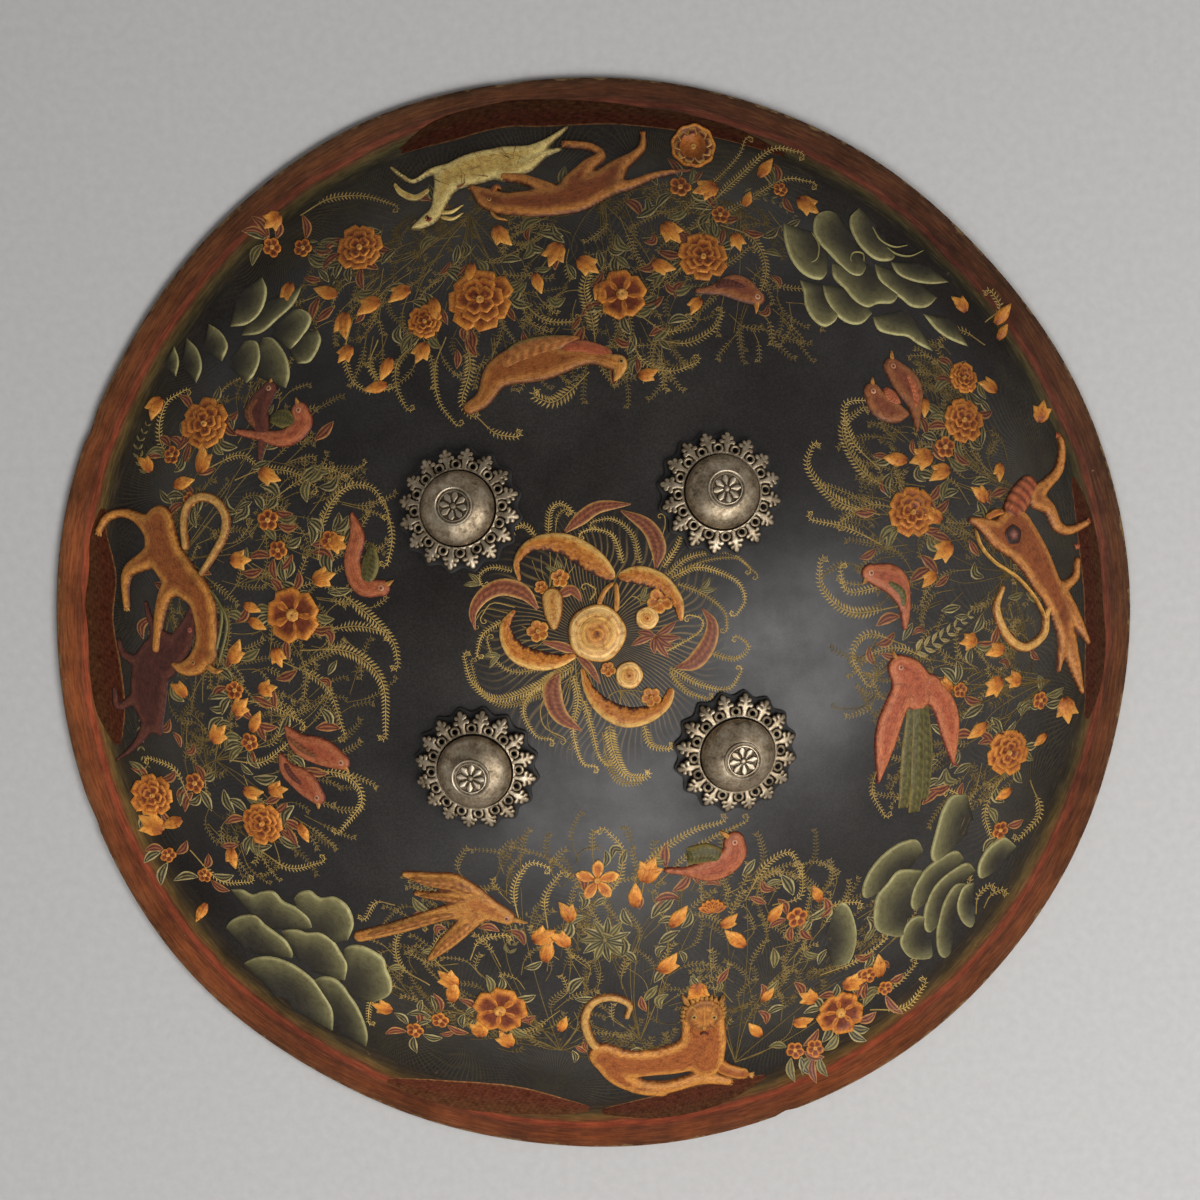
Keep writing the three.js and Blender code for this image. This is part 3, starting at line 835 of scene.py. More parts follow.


# %% [markdown]
# The paint over the gesso is warm and uneven. Its finish takes the colour of each stroke, breaks it
# up with streaks along the brush, mottles it, and lets hair cracks show.

# %% Finish of the painted relief
def gesso(name, streak=0.35, mottle=0.3, crackle=0.25, gloss=1.0):
    made = Finish(name, Coat_Weight=0.06 * gloss, Coat_Roughness=0.3, Specular_IOR_Level=0.22 * gloss)
    paint = made.attribute("paint")
    stroke = made.attribute("stroke", "Vector")
    lines = made.noise(1, 3, 0.6, made.stretched((0.22, 2.6, 1), vector=stroke))
    paint = made.tint(paint, made.span(lines, 0.3, 0.7, 1 - streak, 1 + 0.6 * streak))
    cloud = made.noise(320, 5, 0.7)
    dim = (1 - mottle, 1 - 1.5 * mottle, 1 - 1.8 * mottle)
    paint = made.tint(paint, made.ramp(cloud, [(0.33, dim), (0.5, (1, 1, 1)), (0.68, (1.12, 1.1, 1.05))]))
    hair = made.span(made.cells(420, "DISTANCE_TO_EDGE"), 0.0, 0.05)
    paint = made.tint(paint, made.span(hair, 0, 1, 1 - crackle, 1.0))
    made.set("Base Color", paint)
    made.set("Roughness", made.span(made.noise(90, 4), 0.3, 0.7, 0.66 - 0.3 * gloss, 0.8 - 0.22 * gloss))
    height = made.plus(made.times(lines, 0.6), made.times(cloud, 0.8))
    made.set("Normal", made.bump(made.plus(height, made.times(hair, 0.25)), 0.22, 0.7))
    return made.material


gold_gesso = gesso("gold_gesso", 0.4, 0.42, 0.22)
leaf_paint = gesso("leaf_paint", 0.3, 0.3, 0.12)
rock_paint = gesso("rock_paint", 0.2, 0.22, 0.15)
beast_gesso = gesso("beast_gesso", 0.42, 0.3, 0.3)
mound_paint = gesso("mound_paint", 0.5, 0.35, 0.2, 0.2)

GILT = (0.60, 0.232, 0.034)
PALE_GILT = (0.70, 0.37, 0.085)
ORANGE = (0.40, 0.118, 0.016)
RUSSET = (0.150, 0.033, 0.011)
DEEP_RED = (0.095, 0.020, 0.013)
RED_LINE = (0.34, 0.155, 0.048)
PALE_OLIVE = (0.27, 0.235, 0.085)
OLIVE = (0.13, 0.105, 0.032)
FERN_GOLD = np.array((0.36, 0.235, 0.066))
INK = (0.02, 0.014, 0.01)


def dome_lift(height, ends=0.25):
    """A rounded section that runs out to nothing at both ends of the stroke."""

    def lift(share, side):
        run = np.clip(np.minimum(share, 1 - share) / ends, 0.03, 1) ** 0.5
        return height * np.sqrt(np.clip(1 - side**2, 0, 1)) * run

    return lift


# %% [markdown]
# The flowers come from one petal. Its rim stands up and is painted pale gold, and its hollow is
# mottled orange and russet. A rose has one whorl round a button, a peony three whorls, a lily
# long pointed petals, and a bud two or three closed ones.

# %% Petals and flowers
PETAL_PAINTS = (RUSSET, ORANGE, GILT)
ROSE_HEIGHT = 2.0
PEONY_HEIGHT = 1.7
LILY_HEIGHT = 1.2
WHEEL_HEIGHT = 1.1
BUD_HEIGHT = 1.1


def petal(relief, root, heading, length, width, base, pointed=0.0, paints=PETAL_PAINTS):
    tip = 0.62 * (1 - pointed) + 0.04
    widths = np.array([0.22, 0.7, 0.98, 1.0, 0.86, tip]) * width / 2
    line = [root, root + direction(heading) * length * 0.5, root + direction(heading) * length]

    def lift(share, side):
        rim = np.maximum(np.abs(side), share**2)
        crest = np.where(rim > 0.9, 0.55, 0.45 + 0.55 * (rim / 0.9) ** 2)
        return base * (0.55 + 0.45 * share) * crest

    def paint(share, side):
        rim = np.maximum(np.abs(side) ** 1.5, share**3)
        stops = [(0.0, paints[0]), (0.25, paints[0]), (0.55, paints[1]), (0.8, paints[2]), (1, paints[2])]
        return blend_paint(stops, rim)

    relief.ribbon(line, widths, lift, paint, count=9, across=9)


def button(relief, at, radius, height):
    rings = [(0.97, 0.5 * height), (0.8, 0.85 * height), (0.45, height), (0.3, 0.85 * height)]
    stops = [(0, RUSSET), (0.35, PALE_GILT), (0.7, ORANGE), (1, PALE_GILT)]
    edge = lambda a: radius * (1 + 0.05 * np.sin(7 * a))
    relief.blob(at, edge, rings, lambda share, a: blend_paint(stops, share), 18)


def whorl(relief, at, radius, petals, width, base, start, pointed=0.0, paints=PETAL_PAINTS):
    for k in range(petals):
        heading = start + TURN * k / petals + relief.rng.normal(0, 0.05)
        reach = radius * relief.rng.uniform(0.93, 1.05)
        root = at + direction(heading) * radius * 0.12
        petal(relief, root, heading, reach * 0.88, width, base, pointed, paints)


def rose(relief, at, radius):
    start = relief.rng.uniform(0, TURN)
    whorl(relief, at, radius, 5, radius * 1.12, ROSE_HEIGHT, start)
    button(relief, at, radius * 0.24, ROSE_HEIGHT * 1.25)


def peony(relief, at, radius):
    start = relief.rng.uniform(0, TURN)
    whorl(relief, at, radius, 7, radius * 0.88, PEONY_HEIGHT * 0.75, start)
    whorl(relief, at, radius * 0.74, 6, radius * 0.68, PEONY_HEIGHT * 0.95, start + 0.3)
    whorl(relief, at, radius * 0.48, 4, radius * 0.52, PEONY_HEIGHT * 1.15, start + 0.6)
    button(relief, at, radius * 0.13, PEONY_HEIGHT * 1.3)


def lily(relief, at, radius):
    start = relief.rng.uniform(0, TURN)
    whorl(relief, at, radius, 5, radius * 0.52, LILY_HEIGHT, start, 0.9, (ORANGE, GILT, PALE_GILT))
    button(relief, at, radius * 0.16, LILY_HEIGHT * 1.2)


def wheel_flower(relief, at, radius):
    height = WHEEL_HEIGHT
    rings = [(0.98, 0.7 * height), (0.93, height), (0.88, height), (0.83, 0.4 * height), (0.3, 0.4 * height)]
    stops = [(0, RUSSET), (0.82, DEEP_RED), (0.88, GILT), (0.95, GILT), (1, ORANGE)]
    edge = lambda a: radius * (1 + 0.03 * np.cos(9 * a))
    relief.blob(at, edge, rings, lambda share, a: blend_paint(stops, share), 54)
    inner = (DEEP_RED, DEEP_RED, PALE_GILT)
    whorl(relief, at, radius * 0.84, 9, radius * 0.46, height * 1.05, 0.2, paints=inner)
    button(relief, at, radius * 0.16, height * 1.4)


def bud(relief, at, heading, length, tips):
    """A closed flower with its foot at a point."""
    stops = [(0, RUSSET), (0.2, ORANGE), (0.5, GILT), (0.9, PALE_GILT)]
    paint = lambda share, side: blend_paint(stops, share * 0.7 + 0.3 * side**2)
    spread = {1: [0.0], 2: [-0.22, 0.22], 3: [-0.42, 0.42, 0.0]}[tips]
    for k, off in enumerate(spread):
        middle = k == len(spread) - 1
        angle = heading + off
        reach = length * (1.0 if middle else 0.78)
        foot = at - direction(heading) * length * 0.1
        line = [foot, at + direction(angle) * reach * 0.5, at + direction(heading + off * 1.5) * reach]
        widths = np.array([0.12, 0.27, 0.30, 0.18, 0.02]) * length
        top = BUD_HEIGHT * (1.15 if middle else 0.9)
        relief.ribbon(line, widths, dome_lift(top), paint, 9, 7)


def blossom(relief, at, radius, height=1.0, paints=PETAL_PAINTS):
    start = relief.rng.uniform(0, TURN)
    whorl(relief, at, radius, 5, radius * 0.95, height, start, 0.35, paints)
    button(relief, at, radius * 0.26, height * 1.2)


# %% [markdown]
# A leaf is a lens with a pale outline and a pale middle vein, over dark green or dark red. Some
# leaves curl to one side.

# %% Leaves
LEAF_PAINTS = {
    "green": ((0.34, 0.27, 0.115), (0.024, 0.021, 0.010), (0.19, 0.15, 0.058)),
    "olive": ((0.24, 0.185, 0.065), (0.060, 0.052, 0.020), (0.24, 0.185, 0.065)),
    "red": (RED_LINE, (0.085, 0.020, 0.012), (0.26, 0.095, 0.036)),
    "cream": ((0.40, 0.30, 0.12), (0.26, 0.20, 0.08), (0.12, 0.09, 0.035)),
}
LEAF_HEIGHT = 0.3


def leaf(relief, at, heading, length, width, kind, curl):
    edge, fill, vein = LEAF_PAINTS[kind]
    middle = at + direction(heading) * length * 0.5
    line = [at, middle, middle + direction(heading + curl) * length * 0.5]
    widths = np.array([0.06, 0.36, 0.5, 0.34, 0.03]) * width
    stops = [(0, vein), (0.1, vein), (0.17, fill), (0.62, fill), (0.74, edge), (1, edge)]

    def paint(share, side):
        ends = np.clip((np.minimum(share, 1 - share) - 0.06) / 0.05, 0, 1)
        return blend_paint(stops, np.maximum(np.abs(side), 1 - ends))

    relief.ribbon(line, widths, dome_lift(LEAF_HEIGHT), paint, count=11, across=13)


def spray(relief, pixels, kind, longest, pairs):
    """Pairs of leaves along a line on the photograph, shorter towards its tip."""
    line = smooth_line(px_line(*pixels), pairs + 2)
    for k in range(1, pairs + 1):
        ahead = line[k + 1] - line[k - 1]
        heading = math.atan2(ahead[1], ahead[0])
        length = longest * (1 - 0.55 * k / pairs)
        for side in (-1, 1):
            leaf(relief, line[k], heading + side * 0.85, length, length * 0.34, kind, -side * 0.35)


# %% [markdown]
# The rocks are piles of rounded lobes that overlap like scales. A lobe is drawn from its outer
# edge, which stands up and is painted pale, towards a low dark foot that its neighbour hides.

# %% Rocks
ROCK_SHADES = [
    (0.0, (0.41, 0.37, 0.165)),
    (0.022, (0.44, 0.39, 0.175)),
    (0.045, (0.27, 0.24, 0.102)),
    (0.085, (0.170, 0.150, 0.063)),
    (0.17, (0.130, 0.114, 0.049)),
    (0.30, (0.085, 0.074, 0.034)),
    (0.46, (0.046, 0.039, 0.021)),
    (0.68, (0.028, 0.023, 0.015)),
    (1.0, (0.020, 0.016, 0.012)),
]
# How far in from its edge each ring of a lobe lies, and its height
LOBE_RINGS = [
    (0.0, -0.3), (0.008, 0.5), (0.022, 0.82), (0.045, 0.96), (0.08, 1.0), (0.14, 0.95), (0.22, 0.84),
    (0.32, 0.68), (0.45, 0.5), (0.6, 0.3), (0.78, 0.08), (0.95, -0.4),
]
ROCK_EDGE = 252.0
LOBE_REACH = (1.55, 1.35, 1.15, 1.0)
LOBE_HEIGHT = 1.3
LOBE_POINTS = 34


def lobe(relief, edge, foot):
    """One lobe of rock from its edge, a line on the flat hide, in towards its foot, a point."""
    count = LOBE_POINTS
    rim = smooth_line(edge, count)
    middle = rim.mean(axis=0)
    drawn = np.asarray(foot, float) - middle
    for reach in LOBE_REACH:
        foot = middle + drawn * reach
        if np.hypot(*foot) < ROCK_EDGE:
            break
    place = np.arange(count)
    ends = np.clip(np.minimum(place, count - 1 - place) / 5.0, 0, 1)
    spots, rises, paints, strokes = [], [], [], []
    seed = relief.rng.uniform(0, 50)
    for share, lift in LOBE_RINGS:
        spots.append(rim * (1 - share) + foot * share)
        rises.append(np.where((ends < 0.01) | (lift < 0), -0.3, LOBE_HEIGHT * lift * np.sqrt(ends)))
        lit = blend_paint(ROCK_SHADES, np.full(count, share)) * (0.25 + 0.75 * ends)[:, None]
        paints.append(lit)
        strokes.append(np.column_stack([place * 1.0, np.full(count, 14 * share), np.full(count, seed)]))
    top = []
    for k in range(len(LOBE_RINGS) - 1):
        for i in range(count - 1):
            a = k * count + i
            top.append((a, a + count, a + count + 1, a + 1))
    loop = np.vstack([rim, foot])
    after = np.roll(loop, -1, axis=0)
    if (loop[:, 0] * after[:, 1] - loop[:, 1] * after[:, 0]).sum() > 0:
        top = [face[::-1] for face in top]
    relief.sheet(np.vstack(spots), np.concatenate(rises), np.vstack(paints), np.vstack(strokes), top)


def bent_lobe(relief, pixels, half):
    """A narrow lobe round a line. Its pale edge is on the right of the line."""
    spine = smooth_line(px_line(*pixels), 9)
    ahead, left = ahead_and_left(spine)
    right = -left
    edge = [spine[0] - ahead[0] * half * 0.7 - right[0] * half * 0.9, spine[0] + right[0] * half * 0.75]
    edge += [spine[k] + right[k] * half for k in (2, 4, 6)]
    edge += [
        spine[8] + right[8] * half * 0.75, spine[8] + ahead[8] * half * 0.8,
        spine[8] - right[8] * half * 1.0,
    ]
    lobe(relief, edge, spine[4] - right[4] * half * 1.9)


# %% [markdown]
# ## Birds and beasts
# Each animal is a few rounded strokes: one along the back from rump to neck, one for each limb,
# one for the tail and one for a wing. The lines are placed on the photograph's pixels, and the
# widths and heights are millimetres of gesso.

# %% Strokes for animals
def px_line(*pixels):
    return np.array([from_photo(*pixel) for pixel in pixels])


def heading_on_photo(degrees):
    """An angle on the hide from one on the photograph, where 0 is right and 90 is up."""
    return math.radians(degrees) + PHOTO_UP - math.pi / 2


FUR = ((0.15, 0.040, 0.011), (0.33, 0.092, 0.018), (0.60, 0.245, 0.046))
TAWNY = ((0.10, 0.026, 0.009), (0.23, 0.062, 0.016), (0.46, 0.180, 0.040))
CREAM = ((0.12, 0.082, 0.030), (0.63, 0.42, 0.112), (0.76, 0.58, 0.21))
WINE = ((0.040, 0.011, 0.008), (0.098, 0.026, 0.016), (0.15, 0.045, 0.026))
GOLD = ((0.20, 0.060, 0.014), (0.48, 0.19, 0.034), (0.60, 0.32, 0.085))
RED_FEATHER = ((0.15, 0.028, 0.014), (0.36, 0.084, 0.032), (0.45, 0.135, 0.052))
ORANGE_FEATHER = ((0.13, 0.040, 0.012), (0.30, 0.092, 0.020), (0.42, 0.165, 0.036))
BROWN_FEATHER = ((0.08, 0.026, 0.013), (0.19, 0.052, 0.022), (0.28, 0.100, 0.034))
QUILL = ((0.66, 0.34, 0.080), (0.25, 0.066, 0.018), (0.52, 0.215, 0.045))
BRIGHT_FEATHER = ((0.15, 0.044, 0.012), (0.42, 0.140, 0.027), (0.56, 0.240, 0.050))
GREEN_FEATHER = ((0.24, 0.18, 0.05), (0.070, 0.066, 0.019), (0.13, 0.105, 0.028))


def coat(shades):
    """Paint with a dark outline, a light flank beside it and a warmer middle."""
    dark, middle, light = shades
    stops = [(0, middle), (0.35, middle), (0.68, light), (0.86, light), (0.95, dark), (1, dark)]
    return lambda share, side: blend_paint(stops, np.abs(side + 0.12 * np.sin(5 * share)))


def limb(relief, pixels, widths, height, shades, ends=0.2, count=26):
    lift = dome_lift(height, ends)
    relief.ribbon(px_line(*pixels), widths, lift, coat(shades), count=count, across=11, rounded=True)


class Creature:
    """Fuses rounded strokes into one shape, as gesso is built up while it is wet."""

    def __init__(self, relief, shades, height, blend=1.3, step=1.1, slope=4.6):
        self.relief, self.shades, self.height = relief, shades, height
        self.blend, self.step, self.slope = blend, step, slope
        self.strokes = []

    def stroke(self, line, widths, count=56):
        self.strokes.append((smooth_line(line, count), profile_of(widths, count)))

    def gaps(self, spots):
        """The distance from each spot to the side of each stroke, and the step along that stroke."""
        gaps, steps = [], []
        for spine, half in self.strokes:
            gap = np.linalg.norm(spots[:, None] - spine[None], axis=2) - half
            near = gap.argmin(axis=1)
            gaps.append(gap[np.arange(len(spots)), near])
            steps.append(near)
        return np.array(gaps), np.array(steps)

    def depth(self, spots):
        """How far each spot lies inside the fused outline."""
        gaps, _ = self.gaps(spots)
        return self.blend * np.log(np.maximum(np.exp(-gaps / self.blend).sum(axis=0), 1e-12))

    def cells(self):
        """A grid over the strokes, as spots and the triangles that reach inside."""
        everything = np.vstack([spine for spine, _ in self.strokes])
        margin = max(half.max() for _, half in self.strokes) + 3 * self.step + self.blend
        low, high = everything.min(axis=0) - margin, everything.max(axis=0) + margin
        xs, ys = np.arange(low[0], high[0], self.step), np.arange(low[1], high[1], self.step)
        spots = np.stack(np.meshgrid(xs, ys), -1).reshape(-1, 2)
        wide = len(xs)
        a = (np.arange(len(ys) - 1)[:, None] * wide + np.arange(wide - 1)).ravel()
        quads = np.stack([a, a + 1, a + 1 + wide, a + wide], 1)
        odd = (a // wide + a % wide) % 2 == 1
        even = quads[~odd]
        triangles = [
            even[:, [0, 1, 2]], even[:, [0, 2, 3]], quads[odd][:, [0, 1, 3]], quads[odd][:, [1, 2, 3]]
        ]
        triangles = np.vstack(triangles)
        chosen = (self.depth(spots)[triangles] > 0).any(axis=1)
        for _ in range(3):
            kept = triangles[chosen]
            edges = {edge for a, b, c in kept.tolist() for edge in ((a, b), (b, c), (c, a))}
            border = [edge for edge in edges if edge[::-1] not in edges]
            pinched = np.bincount(np.ravel(border).astype(int), minlength=len(spots)) > 2
            chosen |= pinched[triangles].any(axis=1)
        kept = triangles[chosen]
        used, kept = np.unique(kept, return_inverse=True)
        return spots[used], kept.reshape(-1, 3)

    def snap(self, spots):
        """Moves the spots outside onto the outline."""
        out = self.depth(spots) <= 0
        for _ in range(3):
            here = spots[out]
            value = self.depth(here)
            slope = []
            for axis in np.eye(2) * 0.2:
                slope.append((self.depth(here + axis) - self.depth(here - axis)) / 0.4)
            slope = np.stack(slope, -1)
            spots[out] -= (value / np.maximum((slope**2).sum(axis=1), 0.2))[:, None] * slope
        return out

    def finish(self):
        spots, top = self.cells()
        out = self.snap(spots)
        deep = np.maximum(self.depth(spots), 0)
        gaps, steps = self.gaps(spots)
        nearest = gaps.argmin(axis=0)
        rank = np.sort(gaps, axis=0)
        crease = np.clip((rank[1] - rank[0]) / 1.2, 0, 1) if len(gaps) > 1 else np.ones(len(spots))
        rise = self.height * np.sqrt(1 - (1 - np.clip(deep / self.slope, 0, 1)) ** 2) * (0.93 + 0.07 * crease)
        rise = np.where(out, -0.3, rise)
        dark, middle, light = self.shades
        stops = [(0, dark), (0.5, dark), (1.1, light), (2.9, light), (5.2, middle), (12, middle)]
        paint = blend_paint(stops, deep) * (0.74 + 0.26 * crease)[:, None]
        along = steps[nearest, np.arange(len(spots))] * 1.2
        seed = np.full(len(spots), self.relief.rng.uniform(0, 50))
        strokes = np.column_stack([along, deep, seed + 3.0 * nearest])
        self.relief.sheet(spots, rise, paint, strokes, top.tolist())


def creature(relief, strokes, shades, height, **settings):
    made = Creature(relief, shades, height, **settings)
    for pixels, widths in strokes:
        made.stroke(px_line(*pixels), widths)
    made.finish()


def paw(relief, pixel, heading, size, shades=GOLD):
    at = from_photo(*pixel)
    for off in (-0.45, 0.0, 0.45):
        angle = heading_on_photo(heading) + off
        line = [at, at + direction(angle) * size]
        relief.ribbon(line, [size * 0.2, size * 0.24, size * 0.12], dome_lift(1.3), coat(shades), 5, 5)


def eye(relief, pixel, radius, lift, ring=PALE_GILT, middle=INK):
    stops = [(0, middle), (0.45, middle), (0.6, ring), (0.85, ring), (1, RUSSET)]
    rings = [(0.98, lift), (0.8, lift + 0.12), (0.5, lift + 0.12), (0.3, lift + 0.3)]
    relief.blob(from_photo(*pixel), lambda a: radius + 0 * a, rings, lambda s, a: blend_paint(stops, s), 12)


def bird(
    relief, back, widths, wing, wing_widths, beak, shades, wing_shades=GREEN_FEATHER, height=1.6, more=()
):
    """back runs from the tail to the head, more holds other strokes, and the eye sits at back's end."""
    limb(relief, [back[-1], beak], [2.2, 1.5, 0.3], height * 0.8, GOLD, 0.1, 8)
    creature(relief, [(back, widths), *more], shades, height, step=0.85, slope=4.0)
    if wing:
        feathers(relief, wing, wing_widths, height * 1.2, wing_shades)
    eye(relief, back[-1], 1.6, height * 0.95, (0.72, 0.42, 0.24), (0.22, 0.045, 0.02))


def feathers(relief, pixels, widths, height, shades, barbs=9):
    """A wing or a tail feather with a pale edge and dark barbs across it."""
    edge, fill, light = shades

    def paint(share, side):
        barb = 0.5 + 0.5 * np.sin(TURN * (barbs * share - 0.8 * np.abs(side)))
        base = blend_paint([(0, light), (0.12, fill), (0.74, light), (0.85, edge), (1, edge)], np.abs(side))
        inside = (np.abs(side) < 0.74)[..., None]
        return np.where(inside, base * (0.62 + 0.55 * barb[..., None]), base)

    relief.ribbon(px_line(*pixels), widths, dome_lift(height, 0.15), paint, count=36, across=11)


# %% [markdown]
# The birds perch or fly round the edges of the four thickets. Most are red or orange with a green
# wing.

# %% Birds
# Each bird's back from tail to head, the half widths along it, its wing and that one's half widths, its
# beak, the colours of its body and of its wing, and its height
PERCHED = [
    (
        [(697, 291), (712, 290), (735, 287), (757, 298)], [1.6, 3.6, 7.4, 4.4],
        [(712, 290), (728, 285), (748, 290)], [1.2, 4.2, 1.2], (756, 314), BROWN_FEATHER, WINE, 1.6,
    ),
    (
        [(260, 458), (263, 432), (258, 410), (270, 389)], [1.6, 4.0, 7.0, 4.6],
        [(258, 430), (250, 412), (262, 396)], [1.0, 3.4, 1.0], (272, 378), WINE, BROWN_FEATHER, 1.4,
    ),
    (
        [(238, 432), (256, 435), (285, 438), (303, 424), (300, 411)], [2.0, 2.8, 4.6, 5.6, 5.0],
        [(296, 424), (284, 419), (270, 420)], [1.6, 5.4, 1.4], (296, 397), RED_FEATHER, GREEN_FEATHER, 1.8,
    ),
    (
        [(352, 514), (357, 536), (352, 563), (362, 586), (382, 588)], [1.4, 4.4, 4.6, 5.0, 4.4],
        [(372, 542), (371, 562), (366, 584)], [0.8, 4.6, 3.4], (394, 580), RED_FEATHER, GREEN_FEATHER, 1.6,
    ),
    (
        [(286, 727), (300, 744), (322, 752), (342, 762)], [1.4, 6.0, 7.6, 4.6],
        [(287, 733), (302, 747), (322, 758)], [1.0, 3.6, 1.2], (349, 772), RED_FEATHER, BROWN_FEATHER, 1.6,
    ),
    (
        [(281, 755), (288, 770), (303, 781), (318, 797)], [1.6, 5.0, 7.0, 4.4],
        [(284, 760), (293, 774), (306, 786)], [1.0, 3.2, 1.0], (319, 809), RED_FEATHER, WINE, 1.6,
    ),
    (
        [(667, 870), (690, 871), (715, 868), (733, 855), (734, 841)], [1.8, 3.0, 6.6, 7.2, 5.6],
        [(722, 857), (706, 853), (687, 856)], [3.4, 5.6, 4.6], (719, 830), RED_FEATHER, GREEN_FEATHER, 2.0,
    ),
    (
        [(917, 430), (915, 408), (909, 388), (892, 367)], [1.2, 4.2, 8.2, 5.4],
        [(914, 412), (914, 392), (904, 372)], [1.0, 3.8, 1.0], (891, 350), BROWN_FEATHER, RED_FEATHER, 1.6,
    ),
    (
        [(906, 414), (893, 412), (880, 405), (872, 392)], [2.0, 6.4, 7.0, 5.2],
        [(900, 404), (891, 398), (884, 388)], [1.0, 4.4, 1.4], (872, 377), BROWN_FEATHER, RED_FEATHER, 1.6,
    ),
    (
        [(905, 627), (904, 604), (894, 581), (870, 573)], [1.8, 4.2, 7.6, 5.0],
        [(903, 610), (900, 592), (884, 580)], [1.0, 3.6, 1.2], (862, 585), RED_FEATHER, GREEN_FEATHER, 1.6,
    ),
]
# Pale-edged feathers over the flying bird's wings and tail
QUILLS = [
    ([(476, 893), (455, 883), (430, 880), (407, 876)], [2.4, 4.2, 3.4, 0.8]),
    ([(470, 900), (448, 897), (430, 895), (418, 894)], [1.6, 2.2, 1.8, 0.6]),
    ([(474, 920), (463, 929), (446, 943), (432, 957)], [2.6, 4.0, 3.2, 0.6]),
    ([(462, 912), (436, 916), (398, 926), (363, 935)], [2.2, 3.0, 2.8, 1.8]),
]
HEN_WING = ((0.24, 0.19, 0.05), (0.36, 0.115, 0.026), (0.42, 0.17, 0.045))


def flying_bird(birds):
    back = [(462, 906), (476, 903), (492, 910), (507, 917)]
    wings = [
        ([(474, 913), (448, 912), (398, 927), (360, 936)], [4.5, 4.4, 4.0, 3.6]),
        ([(476, 893), (455, 882), (430, 879), (405, 874)], [4.0, 5.0, 4.2, 2.0]),
        ([(478, 915), (466, 925), (446, 943), (430, 958)], [4.5, 5.0, 4.2, 1.8]),
        ([(474, 896), (440, 896), (416, 893)], [2.6, 2.8, 1.6]),
    ]
    bird(birds, back, [3, 7.0, 6.0, 4.6], None, None, (528, 923), BRIGHT_FEATHER, height=1.9, more=wings)
    for pixels, widths in QUILLS:
        feathers(birds, pixels, widths, 2.9, QUILL, 9)


def hen(birds):
    """The large bird under the flowers at the top."""
    back = [(470, 408), (484, 398), (498, 374), (526, 363), (558, 361), (590, 356), (618, 364)]
    widths = [3.6, 5.4, 9.0, 10.5, 6.6, 4.4, 4.4]
    wing = [(580, 338), (545, 347), (515, 358), (497, 375)]
    bird(birds, back, widths, wing, [1.0, 5.5, 7.0, 2.0], (614, 382), ORANGE_FEATHER, HEN_WING, 2.2)
    neck = [(556, 352), (578, 348), (600, 353), (612, 359)]
    limb(birds, neck, [3.0, 4.4, 4.4, 3.6], 2.6, RED_FEATHER, 0.25)
    limb(birds, [(608, 360), (620, 363), (618, 374), (614, 381)], [2.8, 4.0, 3.0, 0.6], 2.8, GOLD, 0.1)
    eye(birds, (621, 363), 1.6, 2.9)


def paint_birds():
    birds = Relief("painted_birds", 31)
    flying_bird(birds)
    hen(birds)
    for perched in PERCHED:
        bird(birds, *perched)
    feathers(birds, [(914, 700), (909, 752), (903, 808)], [3.6, 4.6, 3.0], 1.3, GREEN_FEATHER, 12)
    feathers(birds, [(921, 700), (925, 752), (924, 800)], [3.6, 4.6, 2.6], 1.5, GREEN_FEATHER, 12)
    feathers(birds, [(917, 696), (917, 746), (914, 812)], [3.2, 4.4, 3.4], 2.3, GREEN_FEATHER, 12)
    back = [(917, 700), (918, 694), (912, 680), (899, 667)]
    wings = [
        ([(903, 688), (888, 728), (878, 782)], [6.4, 6.8, 1.0]),
        ([(930, 686), (946, 712), (953, 764)], [6.4, 6.6, 1.0]),
    ]
    bird(birds, back, [6.0, 8.5, 9.5, 6.8], None, None, (892, 650), RED_FEATHER, height=2.2, more=wings)
    birds.finish(beast_gesso)


paint_birds()

# %% [markdown]
# The beasts stand on low mounds at the four sides: a pale antelope under an orange cat, a cat with
# a looped tail over a dark deer, a crouching cat that looks out, and a striped one on the right.

# %% Beasts
LOOSE_HAIRS = 15
MANE_HAIRS = 26


